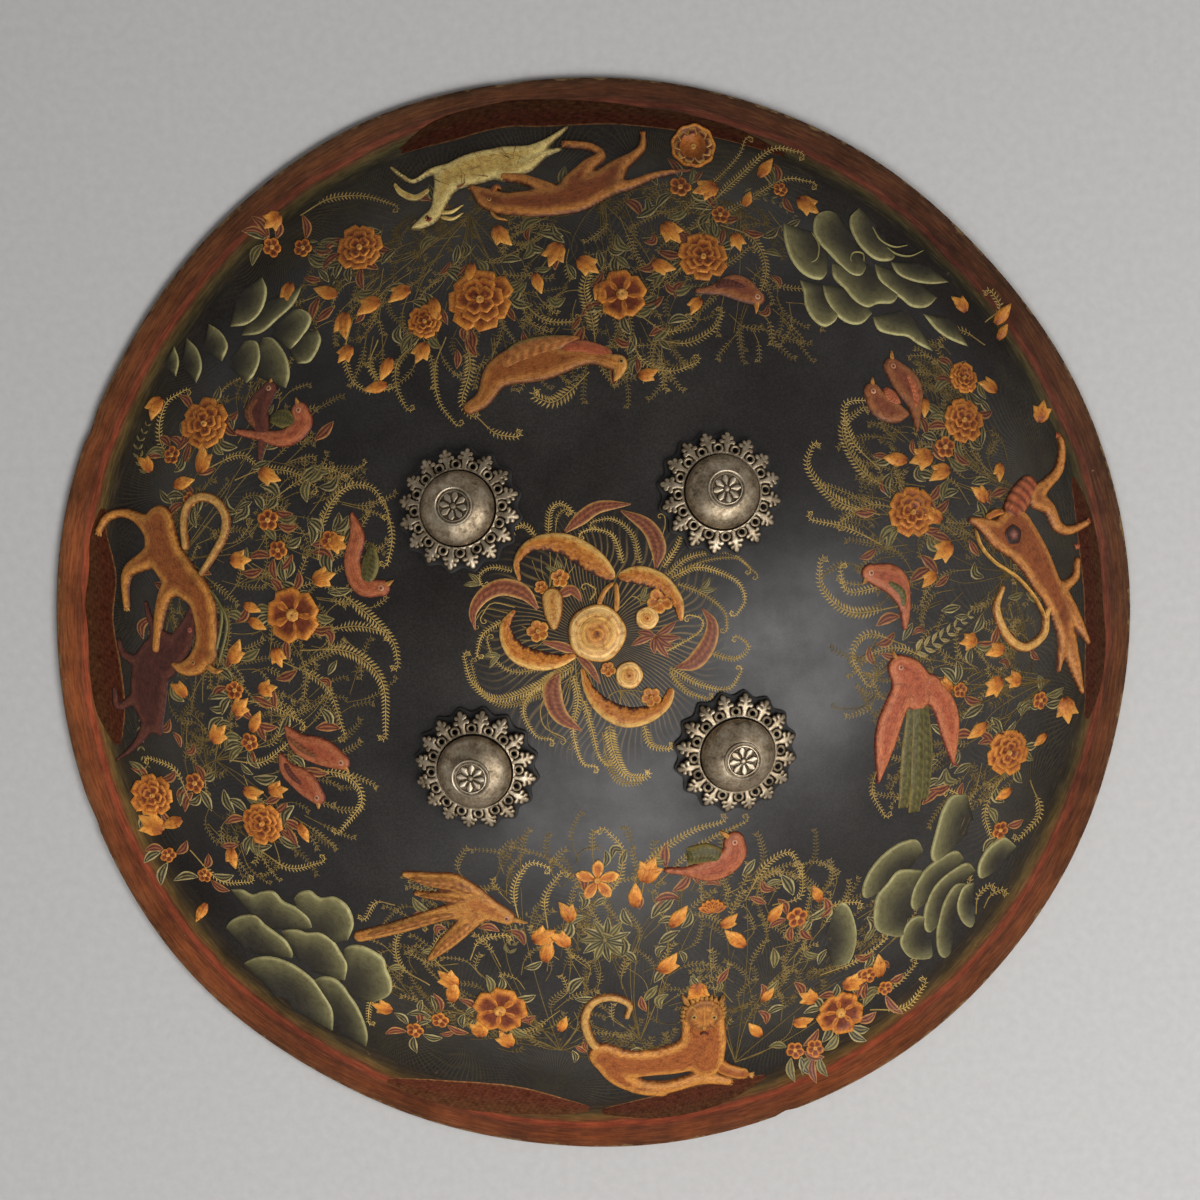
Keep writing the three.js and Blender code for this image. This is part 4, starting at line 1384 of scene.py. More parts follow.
def cat_over_antelope(beasts):
    antelope = [
        ([(441, 170), (430, 172), (414, 181), (402, 176), (391, 167)], [2.6, 1.8, 1.4, 1.4, 1.0]),
        ([(505, 158), (530, 153), (549, 141), (567, 127)], [6.4, 5.0, 2.4, 1.0]),
        ([(505, 172), (526, 166), (544, 155), (561, 149)], [6.0, 4.6, 2.4, 1.0]),
        ([(414, 228), (425, 222), (436, 212), (444, 190), (452, 178)], [1.8, 4.0, 4.2, 5.8, 7.0]),
        ([(446, 178), (469, 171), (494, 164), (515, 160)], [6.6, 9.6, 9.2, 6.6]),
    ]
    creature(beasts, antelope, CREAM, 1.9)
    limb(beasts, [(430, 189), (416, 198), (402, 193), (394, 183)], [1.2, 2.0, 2.0, 0.9], 0.8, CREAM)
    limb(beasts, [(440, 213), (452, 212), (464, 205)], [1.3, 1.0, 0.3], 1.0, CREAM, 0.1, 10)
    limb(beasts, [(440, 217), (453, 219), (464, 213)], [1.3, 1.0, 0.3], 1.0, CREAM, 0.1, 10)
    eye(beasts, (429, 220), 2.1, 1.7, RED_FEATHER[1], INK)
    for k in range(LOOSE_HAIRS):
        middle = np.array([446 + 5.6 * k, 182 - 2.2 * k]) + beasts.rng.normal(0, 5, 2)
        lean = beasts.rng.uniform(-1.4, 1.6)
        reach = np.array([math.cos(lean), math.sin(lean)]) * beasts.rng.uniform(5, 10)
        bow = beasts.rng.normal(0, 1.6, 2)
        hair = [middle - reach, middle + bow, middle + reach]
        limb(beasts, hair, [0.12, 0.3, 0.12], 2.0, (FUR[0],) * 3, 0.1, 10)
    cat = [
        ([(691, 170), (657, 175), (626, 186), (604, 186)], [0.8, 1.9, 2.8, 4.0]),
        ([(606, 184), (620, 166), (634, 156), (642, 147), (643, 134)], [7.0, 5.4, 3.6, 2.6, 1.6]),
        ([(574, 184), (588, 166), (601, 156), (590, 147), (566, 144)], [7.0, 4.6, 3.0, 2.4, 2.2]),
        ([(548, 190), (536, 184), (522, 179), (504, 177)], [4.6, 3.4, 3.0, 2.8]),
        ([
            (486, 199), (500, 204), (517, 204), (549, 203), (576, 196), (602, 184), (614, 172),
        ], [5.0, 6.6, 8.0, 8.2, 9.8, 8.6, 5.6]),
        ([(496, 202), (484, 196), (473, 189)], [6.0, 4.4, 2.2]),
    ]
    creature(beasts, cat, TAWNY, 2.5)
    limb(beasts, [(490, 211), (497, 218), (508, 221)], [0.6, 0.9, 0.4], 1.4, GOLD, 0.1, 10)
    limb(beasts, [(492, 196), (496, 188), (502, 190)], [1.4, 1.6, 0.6], 2.6, TAWNY, 0.1, 10)
    eye(beasts, (490, 202), 1.2, 2.4)
    for pixel, angle in (((643, 137), 95), ((567, 144), 185), ((506, 177), 190), ((474, 189), 150)):
        paw(beasts, pixel, angle, 3.4, TAWNY)


def cat_over_deer(beasts):
    deer = [
        ([(160, 644), (150, 618), (146, 603)], [4.0, 2.6, 1.6]),
        ([(142, 664), (124, 654), (119, 640)], [3.6, 2.6, 1.4]),
        ([(132, 700), (118, 706), (114, 688)], [3.0, 2.2, 1.2]),
        ([(150, 722), (136, 744), (117, 760)], [4.6, 2.4, 1.0]),
        ([(162, 644), (152, 664), (149, 690), (152, 715), (160, 732)], [8, 11.5, 12.5, 9.6, 2.4]),
        ([(166, 664), (180, 645), (190, 622), (192, 606)], [8.0, 7.6, 5.6, 2.0]),
    ]
    creature(beasts, deer, WINE, 1.1)
    eye(beasts, (191, 630), 1.5, 1.1, (0.45, 0.14, 0.10), RED_FEATHER[1])
    cat = [
        ([(152, 528), (138, 518), (124, 513), (108, 517), (99, 530)], [6.0, 3.8, 2.8, 2.6, 2.2]),
        ([(156, 552), (146, 560), (131, 569), (126, 582), (127, 606)], [6.6, 5.4, 4.0, 2.8, 2.2]),
        ([(180, 566), (174, 584), (166, 594), (160, 616), (157, 648)], [6.6, 5.4, 4.2, 3.2, 3.0]),
        ([(160, 522), (163, 545), (172, 566), (190, 586)], [9.4, 11.0, 10.4, 8.6]),
        ([(184, 576), (201, 598), (207, 628), (206, 652)], [7.0, 8.0, 7.2, 6.4]),
        ([(206, 652), (196, 664), (184, 668), (174, 664)], [6.6, 6.4, 4.4, 1.8]),
    ]
    creature(beasts, cat, FUR, 2.5)
    tail = [
        (186, 546), (184, 520), (190, 503), (203, 497), (217, 502), (226, 517), (224, 536), (213, 556),
        (202, 573),
    ]
    creature(beasts, [(tail, [2.6, 2.4, 2.6, 2.8, 2.8, 2.8, 2.6, 2.4, 2.0])], GOLD, 1.9, step=0.8, slope=2.6)
    limb(beasts, [(207, 664), (216, 671), (224, 670)], [2.4, 1.8, 0.5], 2.2, GOLD, 0.1, 8)
    eye(beasts, (196, 662), 1.3, 2.4)
    for line in ([(207, 585), (222, 612), (216, 655)], [(212, 590), (227, 622), (219, 664)]):
        limb(beasts, line, [0.5, 1.0, 0.5], 1.2, (OLIVE, OLIVE, PALE_OLIVE), 0.1, 20)
    for pixel, angle in (((100, 530), 250), ((127, 605), 270), ((157, 647), 268)):
        paw(beasts, pixel, angle, 3.6)


def crouching_cat(beasts):
    tail = [(606, 1052), (592, 1042), (585, 1020), (593, 1002), (612, 997), (629, 1004), (627, 1016)]
    creature(beasts, [(tail, [2.6, 2.8, 2.8, 2.7, 2.5, 2.3, 1.8])], GOLD, 2.0, step=0.8, slope=2.6)
    cat = [
        ([(636, 1086), (668, 1086), (700, 1078), (728, 1080)], [3.4, 3.8, 3.8, 3.0]),
        ([(607, 1058), (620, 1076), (642, 1087), (662, 1091)], [8.6, 7.0, 4.4, 2.8]),
        ([(603, 1054), (622, 1062), (650, 1062), (682, 1056), (702, 1044)], [8.0, 9.6, 9.6, 11.0, 11.5]),
        ([(703, 1020), (704, 1040), (706, 1060)], [12.0, 12.5, 10.4]),
    ]
    creature(beasts, cat, FUR, 2.7)
    limb(beasts, [(708, 1052), (722, 1066), (736, 1072), (749, 1074)], [6.0, 4.6, 3.8, 3.0], 2.4, FUR)
    at = from_photo(703, 1013)
    spin = heading_on_photo(90)
    for k in range(MANE_HAIRS):
        angle = spin + TURN * (k + 0.5) / MANE_HAIRS
        foot = at + direction(angle) * 9.4
        line = [foot, foot + direction(angle + 0.12) * 3.6]
        beasts.ribbon(line, [1.5, 1.3, 0.3], dome_lift(2.3), coat(GOLD), 5, 5)
    stops = [(0, FUR[1]), (0.55, FUR[2]), (0.8, FUR[0]), (0.9, GOLD[1]), (1, GOLD[0])]
    rings = [(0.98, 1.9), (0.9, 2.7), (0.75, 3.0), (0.5, 3.3), (0.25, 3.4)]
    beasts.blob(at, lambda a: 10.8 + 0.3 * np.sin(12 * a), rings, lambda s, a: blend_paint(stops, s), 36)
    for side in (-1, 1):
        brow = [(703 + side * 4, 1014), (703 + side * 11, 1003), (703 + side * 17, 1006)]
        limb(beasts, brow, [0.9, 1.3, 0.4], 3.9, GOLD, 0.1, 12)
        cheek = [(703 + side * 4, 1018), (703 + side * 12, 1026), (703 + side * 6, 1034)]
        limb(beasts, cheek, [1.0, 1.7, 0.6], 3.7, FUR, 0.1, 12)
        eye(beasts, (703 + side * 10, 1013), 1.7, 3.3)
        limb(beasts, [(703 + side * 16, 1003), (703 + side * 21, 994)], [2.0, 0.8], 2.9, GOLD, 0.1, 6)
    limb(beasts, [(703, 1004), (703, 1018), (703, 1027)], [1.1, 1.3, 2.2], 4.0, GOLD, 0.1, 12)
    limb(beasts, [(698, 1031), (703, 1028), (708, 1031)], [0.6, 1.0, 0.6], 4.0, WINE, 0.1, 8)
    for pixel, angle in (((748, 1074), 350), ((727, 1081), 350), ((661, 1092), 0)):
        paw(beasts, pixel, angle, 3.6)


def striped_cat(beasts):
    tail = [(1052, 604), (1046, 613), (1043, 634), (1025, 647), (1007, 636), (996, 609), (1002, 588)]
    creature(beasts, [(tail, [2.2, 2.6, 2.8, 2.8, 2.8, 2.6, 1.8])], GOLD, 1.9, step=0.8, slope=2.6)
    cat = [
        ([(1034, 494), (1046, 484), (1058, 470), (1062, 450), (1060, 438)], [5.0, 3.8, 3.2, 2.6, 2.0]),
        ([(1036, 500), (1048, 508), (1057, 526), (1070, 530), (1086, 523)], [5.4, 4.2, 3.6, 2.8, 2.2]),
        ([(1040, 580), (1057, 588), (1074, 578), (1077, 560)], [6.0, 3.8, 2.8, 2.0]),
        ([(1064, 600), (1072, 612), (1082, 630), (1088, 642)], [5.0, 4.0, 2.8, 1.6]),
        ([(1060, 610), (1064, 634), (1060, 656), (1058, 670)], [6.5, 5.6, 3.0, 1.4]),
        ([(1068, 640), (1074, 664), (1082, 692)], [5.0, 3.8, 1.4]),
        ([(1014, 530), (1032, 556), (1048, 586), (1062, 616)], [12.5, 11.0, 8.6, 6.4]),
        ([(1018, 540), (998, 534), (983, 525), (971, 520)], [11.0, 8.6, 5.0, 2.0]),
    ]
    creature(beasts, cat, TAWNY, 2.6)

    def striped(share, side):
        band = 0.5 + 0.5 * np.sin(TURN * 6.0 * share + 1.2 * side**2)
        stripes = [(0, RED_FEATHER[1]), (0.8, RED_FEATHER[2]), (0.93, RUSSET), (1, RUSSET)]
        base = blend_paint(stripes, np.abs(side))
        return base * (0.35 + 0.75 * band[..., None] ** 0.6)

    chest = px_line((1008, 520), (1018, 500), (1033, 478))
    beasts.ribbon(chest, [6.4, 7.4, 5.4], dome_lift(2.9, 0.12), striped, 44, 13, rounded=True)
    limb(beasts, [(985, 518), (994, 513), (1003, 512)], [1.8, 2.2, 1.4], 2.4, FUR, 0.1, 10)
    stops = [(0, (0.35, 0.16, 0.10)), (0.35, (0.20, 0.06, 0.045)), (0.62, INK), (0.85, INK), (1, RUSSET)]
    rings = [(0.98, 2.6), (0.8, 3.0), (0.55, 2.9), (0.3, 3.5)]
    middle = from_photo(1010, 535)
    beasts.blob(middle, lambda a: 5.6 + 0.3 * np.sin(5 * a), rings, lambda s, a: blend_paint(stops, s), 24)
    edge = [(974, 528), (980, 546), (994, 562), (1016, 577), (1034, 598), (1045, 620)]
    limb(beasts, edge, [0.5, 0.7, 0.8, 0.8, 0.7, 0.5], 2.5, (GOLD[1], PALE_GILT, PALE_GILT), 0.05, 30)
    for pixel, angle in (((1057, 438), 70), ((1085, 522), 20), ((1077, 549), 90)):
        paw(beasts, pixel, angle, 3.2, RED_FEATHER)


def paint_beasts():
    beasts = Relief("painted_beasts", 32)
    cat_over_antelope(beasts)
    cat_over_deer(beasts)
    crouching_cat(beasts)
    striped_cat(beasts)
    beasts.finish(beast_gesso)


paint_beasts()

# %% [markdown]
# ## Mounds and rocks
# A low mound lies between each group and the border. It is dark red with a pale pink edge. The
# rocks fill the four corners between the groups.

# %% Mounds
MOUND = ((0.34, 0.150, 0.055), (0.112, 0.030, 0.0135), (0.105, 0.038, 0.014))


def mound(relief, pixels, widths, light=1.0):
    """A strip beside the border: its inner edge is pale, and its foot fades into the border."""

    def paint(share, side):
        stops = [
            (-1, MOUND[2]), (-0.6, MOUND[2]), (0.1, MOUND[1]), (0.88, MOUND[1]), (0.94, MOUND[0]),
            (1, MOUND[0]),
        ]
        hatch = 0.80 + 0.2 * np.sin(TURN * (26 * share + 1.6 * side))
        # The last factor is painted light and shade, as on the border.
        return blend_paint(stops, side) * hatch[..., None] * light

    def lift(share, side):
        run = np.clip(np.minimum(share, 1 - share) / 0.1, 0.05, 1)
        return 0.10 * run * np.clip((1 - np.abs(side)) / 0.2, 0.1, 1)

    relief.ribbon(px_line(*pixels), widths, lift, paint, count=70, across=17, lined=True)


def paint_mounds():
    mounds = Relief("painted_mounds", 33)
    # The last number of each mound is painted light and shade: darkest at the top, brightest at the lower
    # left.
    bottom = [(385, 1080), (450, 1093), (520, 1100), (560, 1106), (592, 1109)]
    mound(mounds, bottom, [1.0, 6.2, 8.2, 6.5, 1.5], 1.25)
    mound(mounds, [(600, 1112), (660, 1106), (720, 1092), (768, 1076)], [1.5, 6.2, 6.6, 1.0], 1.0)
    top = [
        (790, 157), (740, 137), (690, 124), (640, 117), (600, 113), (540, 113), (500, 115), (440, 131),
        (395, 153),
    ]
    mound(mounds, top, [1.0, 3.4, 4.6, 4.8, 6.0, 7.0, 6.2, 6.0, 1.0], 0.5)
    left = [(104, 505), (99, 535), (103, 575), (100, 610), (104, 650), (110, 700), (118, 748)]
    mound(mounds, left, [1.0, 5.4, 8.0, 7.2, 8.6, 8.0, 1.5], 0.9)
    right = [(1086, 722), (1092, 690), (1095, 645), (1093, 600), (1090, 560), (1083, 515), (1072, 474)]
    mound(mounds, right, [1.0, 4.6, 5.6, 5.0, 5.4, 4.4, 1.0], 0.62)
    mounds.finish(mound_paint)


paint_mounds()


# %% Rocks in the four corners
# Lobes drawn whole: the pale edge, and then the dark foot
EDGE_LOBES = [
    ([
        (229, 889), (242, 889), (252, 894), (262, 891), (274, 891), (284, 901), (299, 908), (310, 918),
        (314, 930),
    ], (262, 930)),
    ([
        (293, 899), (299, 892), (310, 890), (320, 897), (333, 896), (343, 901), (350, 909), (354, 924),
        (348, 941),
    ], (316, 934)),
    ([
        (225, 929), (230, 921), (242, 915), (256, 915), (265, 924), (276, 932), (287, 941), (293, 953),
        (292, 959),
    ], (248, 955)),
    ([
        (280, 931), (287, 929), (297, 929), (307, 932), (320, 932), (333, 940), (341, 952), (348, 964),
        (345, 982),
    ], (303, 970)),
    ([
        (343, 949), (350, 945), (361, 945), (373, 950), (384, 958), (387, 969), (392, 981), (390, 994),
        (372, 1003),
    ], (352, 985)),
    ([
        (242, 964), (253, 958), (269, 956), (287, 961), (301, 969), (315, 981), (325, 995), (333, 1010),
        (333, 1033),
    ], (282, 1006)),
    ([
        (313, 980), (322, 976), (333, 977), (343, 985), (350, 995), (357, 1005), (364, 1020), (368, 1036),
        (366, 1048),
    ], (334, 1032)),
    ([(229, 327), (249, 324), (262, 311), (267, 291), (262, 276)], (236, 293)),
    ([(240, 336), (261, 333), (278, 319), (294, 304), (303, 285)], (254, 305)),
    ([(290, 351), (303, 337), (312, 319), (304, 310), (293, 310)], (279, 330)),
    ([(297, 364), (311, 361), (321, 342), (318, 329)], (293, 343)),
    ([(262, 337), (274, 339), (286, 355), (290, 373), (286, 389)], (258, 368)),
    ([(244, 341), (257, 342), (261, 357), (255, 374), (246, 384)], (236, 362)),
    ([(208, 323), (221, 332), (228, 346), (222, 362)], (202, 350)),
    ([(186, 337), (198, 350), (202, 368), (196, 384)], (180, 366)),
    ([(174, 345), (179, 361), (176, 377)], (163, 366)),
    ([(783, 222), (784, 240), (791, 260), (804, 275), (820, 280), (828, 272)], (818, 244)),
    ([
        (838, 214), (826, 211), (815, 217), (813, 233), (820, 245), (830, 255), (839, 265), (850, 275),
        (861, 276), (867, 266),
    ], (856, 238)),
    ([
        (831, 262), (833, 277), (844, 289), (854, 301), (866, 308), (878, 304), (893, 303), (900, 292),
    ], (872, 274)),
    ([(799, 279), (803, 291), (805, 306), (813, 320), (825, 327), (836, 320), (838, 309)], (824, 294)),
    ([(822, 284), (825, 298), (834, 313), (847, 323), (861, 324), (873, 313)], (852, 296)),
    ([(874, 263), (878, 279), (888, 289), (900, 298), (912, 307), (927, 307), (938, 297)], (912, 276)),
    ([(860, 207), (850, 217), (851, 231), (861, 248), (876, 260), (890, 261), (896, 256)], (882, 228)),
    ([(890, 261), (897, 274), (912, 281), (931, 284), (950, 282)], (926, 262)),
    ([(872, 316), (878, 330), (893, 335), (907, 337), (919, 345), (934, 352)], (906, 318)),
    ([(922, 313), (936, 330), (951, 340), (969, 347)], (954, 318)),
]
CURLS = [
    [(864, 262), (862, 254), (853, 253), (850, 260), (855, 266)],
    [(811, 232), (818, 244), (817, 258), (810, 263), (807, 257)],
    [(884, 246), (896, 254), (910, 256), (924, 250)],
    [(872, 226), (880, 240), (894, 247), (908, 245)],
]
# Narrow lobes: a line along the middle, and half the lobe's width in millimetres
BENT_LOBES = [
    ([(917, 846), (896, 854), (879, 871), (868, 891)], 5.4),
    ([(908, 874), (893, 896), (884, 911), (896, 927)], 8.6),
    ([(958, 798), (949, 816), (944, 836), (937, 854)], 6.0),
    ([(1008, 843), (992, 854), (983, 871)], 5.4),
    ([(958, 856), (938, 867), (924, 882), (916, 903)], 5.0),
    ([(969, 868), (949, 881), (935, 899), (930, 926)], 5.2),
    ([(922, 920), (912, 932), (912, 944), (924, 952)], 6.6),
    ([(959, 886), (949, 905), (944, 927), (944, 952)], 4.4),
    ([(968, 886), (963, 903), (969, 922)], 4.0),
    ([(842, 962), (848, 938), (842, 908)], 5.0),
]


def paint_rocks():
    rocks = Relief("painted_rocks", 34)
    for edge, foot in EDGE_LOBES:
        lobe(rocks, px_line(*edge), from_photo(*foot))
    for spine, half in BENT_LOBES:
        bent_lobe(rocks, spine, half)
    for pixels in CURLS:
        limb(rocks, pixels, [0.3, 0.55, 0.3], 1.1, (OLIVE, PALE_OLIVE, PALE_OLIVE), 0.2, 30)
    rocks.finish(rock_paint)


paint_rocks()

# %% [markdown]
# ## Ferns
# Hundreds of fronds fill the ground between the flowers. Each frond is a line on the hide, and a
# geometry node tree grows it: a thin stem along the line, and a leaflet on either side at every
# step, lying flat on the lacquer. A frond ends in a small curl like a young fern's.

# %% A node tree that grows fronds
def shape_tree(name, **sockets):
    """An empty shape tree with a geometry input, an output and some named numbers."""
    tree = bpy.data.node_groups.new(name, "GeometryNodeTree")
    tree.interface.new_socket("Geometry", in_out="INPUT", socket_type="NodeSocketGeometry")
    for label, start in sockets.items():
        made = tree.interface.new_socket(label, in_out="INPUT", socket_type="NodeSocketFloat")
        made.default_value = start
    tree.interface.new_socket("Geometry", in_out="OUTPUT", socket_type="NodeSocketGeometry")
    return tree, tree.nodes.new("NodeGroupInput"), tree.nodes.new("NodeGroupOutput")


def close_tree(tree, output, pieces, material):
    """Joins what a tree has made, turns copies into real mesh and gives it its finish."""
    join = tree.nodes.new("GeometryNodeJoinGeometry")
    for piece in pieces:
        tree.links.new(piece, join.inputs[0])
    real = node(tree, "GeometryNodeRealizeInstances", {0: join.outputs[0]})
    final = node(tree, "GeometryNodeSetMaterial", {"Geometry": real.outputs[0], "Material": material})
    tree.links.new(final.outputs[0], output.inputs[0])


def grow(tree, mesh, **values):
    """Runs a shape tree on a mesh and returns the finished mesh."""
    holder = bpy.data.objects.new("grown", mesh)
    bpy.context.scene.collection.objects.link(holder)
    modifier = holder.modifiers.new("grow", "NODES")
    modifier.node_group = tree
    for item in tree.interface.items_tree:
        if item.in_out == "INPUT" and item.name in values:
            modifier[item.identifier] = values[item.name]
    graph = bpy.context.evaluated_depsgraph_get()
    made = bpy.data.meshes.new_from_object(holder.evaluated_get(graph))
    holder.modifiers.remove(modifier)
    bpy.data.objects.remove(holder)
    return made


def named(tree, name, kind="FLOAT"):
    made = node(tree, "GeometryNodeInputNamedAttribute", {"Name": name}, data_type=kind)
    return made.outputs["Attribute"]


def as_curve(tree, start):
    return node(tree, "GeometryNodeMeshToCurve", {"Mesh": start.outputs["Geometry"]}).outputs[0]


def facing(tree, ahead, up):
    """A rotation whose X points ahead and whose Z points up."""
    inputs = {"Primary Axis": ahead, "Secondary Axis": up}
    made = node(tree, "FunctionNodeAxesToRotation", inputs, primary_axis="X", secondary_axis="Z")
    return made.outputs[0]


def stems(tree, curve, sides):
    """A tube along each line, as thick as the line's own attribute says."""
    ring = node(tree, "GeometryNodeCurvePrimitiveCircle", {"Resolution": sides, "Radius": 1.0})
    inputs = {
        "Curve": curve,
        "Profile Curve": ring.outputs["Curve"],
        "Scale": named(tree, "thick"),
        "Fill Caps": True,
    }
    return node(tree, "GeometryNodeCurveToMesh", inputs).outputs[0]


def leaflets(tree, curve, pitch, shape, spread, side):
    """Copies of a leaflet at even steps on one side of each line."""
    steps = node(tree, "GeometryNodeCurveToPoints", {"Curve": curve, "Length": pitch}, mode="LENGTH")
    up = named(tree, "up", "FLOAT_VECTOR")
    tangent = steps.outputs["Tangent"]

    def vector(operation, inputs):
        return node(tree, "ShaderNodeVectorMath", inputs, operation=operation).outputs[0]

    across = vector("CROSS_PRODUCT", {0: up, 1: tangent})
    ahead = vector("SCALE", {0: tangent, "Scale": math.cos(spread)})
    aside = vector("SCALE", {0: across, "Scale": side * math.sin(spread)})
    reach = named(tree, "reach")
    test = {"A": reach, "B": 0.3 * MM}
    shown = node(tree, "FunctionNodeCompare", test, data_type="FLOAT", operation="GREATER_THAN")
    inputs = {
        "Points": steps.outputs["Points"],
        "Selection": shown.outputs[0],
        "Instance": shape,
        "Rotation": facing(tree, vector("ADD", {0: ahead, 1: aside}), up),
        "Scale": reach,
    }
    return node(tree, "GeometryNodeInstanceOnPoints", inputs).outputs[0]


def fern_tree(material):
    tree, start, output = shape_tree("fern", Pitch=2.0 * MM, Width=0.27)
    curve = as_curve(tree, start)
    ball = node(tree, "GeometryNodeMeshUVSphere", {"Segments": 4, "Rings": 2, "Radius": 0.5})
    size = node(tree, "ShaderNodeCombineXYZ", {"X": 1.0, "Y": start.outputs["Width"], "Z": 0.12})
    inputs = {"Geometry": ball.outputs["Mesh"], "Translation": (0.46, 0, 0), "Scale": size.outputs[0]}
    shape = node(tree, "GeometryNodeTransform", inputs).outputs[0]
    sides = [leaflets(tree, curve, start.outputs["Pitch"], shape, 1.05, side) for side in (-1, 1)]
    close_tree(tree, output, [stems(tree, curve, 4), *sides], material)
    return tree


def fern_finish():
    made = Finish("fern_paint", Roughness=0.5, Specular_IOR_Level=0.3)
    tone = made.span(made.noise(260, 4, 0.7), 0.3, 0.7, 0.62, 1.3)
    made.set("Base Color", made.tint(made.attribute("paint"), tone))
    return made.material


fern_paint = fern_finish()
fronds_grower = fern_tree(fern_paint)


# %% Lines for fronds
CURL_STEPS = 11
LINE_STEP = 2.2


class Fronds:
    """Collects lines on the flat hide and grows them into one piece."""

    def __init__(self, name, seed):
        self.name = name
        self.rng = np.random.default_rng(seed)
        self.points, self.edges, self.reach, self.thick, self.paint = [], [], [], [], []
        self.count = 0

    def frond(self, line, reach, bare, curl, tip, paint, thick):
        """reach is the longest leaflet, bare the share of stem without any, tip the size of the curl."""
        line = np.asarray(line, float)
        length = np.linalg.norm(np.diff(line, axis=0), axis=1).sum()
        spine = smooth_line(line, max(int(length / LINE_STEP), 6))
        if curl:
            spine = np.vstack([spine, self.crozier(spine, curl, tip)])
        share = np.linspace(0, 1, len(spine))
        swell = np.clip((share - bare) / 0.12, 0, 1) * np.clip((1.03 - share) / (0.9 - bare), 0.2, 1) ** 0.75
        self.line(spine, reach * swell, thick * (1.1 - 0.6 * share), np.outer(0.75 + 0.45 * share, paint))

    def crozier(self, spine, side, size):
        """The curl at a frond's end. It winds tighter at each step."""
        ahead = spine[-1] - spine[-2]
        angle = math.atan2(ahead[1], ahead[0])
        place = spine[-1].copy()
        made = []
        for k in range(CURL_STEPS):
            angle += side * (0.28 + 0.045 * k)
            place = place + direction(angle) * size * (0.42 - 0.024 * k)
            made.append(place.copy())
        return made

    def line(self, spine, reach, thick, paint):
        n = len(spine)
        self.points.append(spine)
        self.reach.append(np.broadcast_to(reach, n))
        self.thick.append(np.broadcast_to(thick, n))
        # Each line gets a random tone, and painted light that brightens it towards the lower left.
        self.paint.append(paint * self.rng.uniform(0.78, 1.12) * painted_light_ramp(spine))
        self.edges += [(self.count + i, self.count + i + 1) for i in range(n - 1)]
        self.count += n

    def finish(self, pitch=1.9, width=0.27):
        flat = np.vstack(self.points)
        low = on_hide(flat[:, 0], flat[:, 1], 0.1)
        high = on_hide(flat[:, 0], flat[:, 1], 1.1)
        mesh = bpy.data.meshes.new(self.name + "_lines")
        mesh.from_pydata((low * MM).tolist(), self.edges, [])
        put(mesh, "up", "FLOAT_VECTOR", high - low)
        put(mesh, "reach", "FLOAT", np.concatenate(self.reach) * MM)
        put(mesh, "thick", "FLOAT", np.concatenate(self.thick) * MM)
        put(mesh, "paint", "FLOAT_VECTOR", np.vstack(self.paint))
        grown = grow(fronds_grower, mesh, Pitch=pitch * MM, Width=width)
        lay_plan_map(grown)
        print(f"{self.name}: {len(grown.polygons)} faces")
        dress(self.name, grown, [fern_paint], "shield", "lacquered_hide", smooth=False)


# %% [markdown]
# ## Laying the thickets out
# A thicket grows inwards from each of the four sides. Fronds fan out from its roots, and those at
# its inner edge reach over the bare ground. Flowers and buds are placed one by one, as in the
# photograph, and leaves are scattered round them.

# %% Where the thickets and the bare places are, in the photograph's pixels
THICKETS = {
    "top": ((560, 255), (300, 118), [(612, 190), (600, 200), (470, 215), (740, 210)]),
    "left": ((250, 620), (112, 250), [(185, 620), (178, 560), (190, 700), (215, 760)]),
    "bottom": ((640, 965), (262, 118), [(600, 1075), (735, 1062), (640, 1040), (560, 1050)]),
    "right": ((990, 590), (135, 250), [(1062, 600), (1010, 572), (1050, 680), (1040, 500)]),
}
BARE = [
    ((255, 335), (78, 66)),
    ((850, 262), (72, 72)),
    ((300, 965), (92, 88)),
    ((945, 875), (85, 78)),
    ((463, 512), (68, 68)),
    ((720, 488), (68, 68)),
    ((480, 765), (68, 68)),
    ((738, 757), (68, 68)),
]
PAINT_EDGE = 247.0


def inside(pixel, middle, radii_px):
    return ((pixel[0] - middle[0]) / radii_px[0]) ** 2 + ((pixel[1] - middle[1]) / radii_px[1]) ** 2


def somewhere(rng, side, fill=1.0):
    """A random pixel in a thicket that isn't on a rock, a boss or the border."""
    middle, size, _ = THICKETS[side]
    while True:
        angle, share = rng.uniform(0, TURN), math.sqrt(rng.uniform(0, fill))
        pixel = (middle[0] + size[0] * share * math.cos(angle), middle[1] + size[1] * share * math.sin(angle))
        spot = from_photo(*pixel)
        if np.hypot(*spot) > PAINT_EDGE or any(inside(pixel, *bare) < 1 for bare in BARE):
            continue
        return pixel, spot


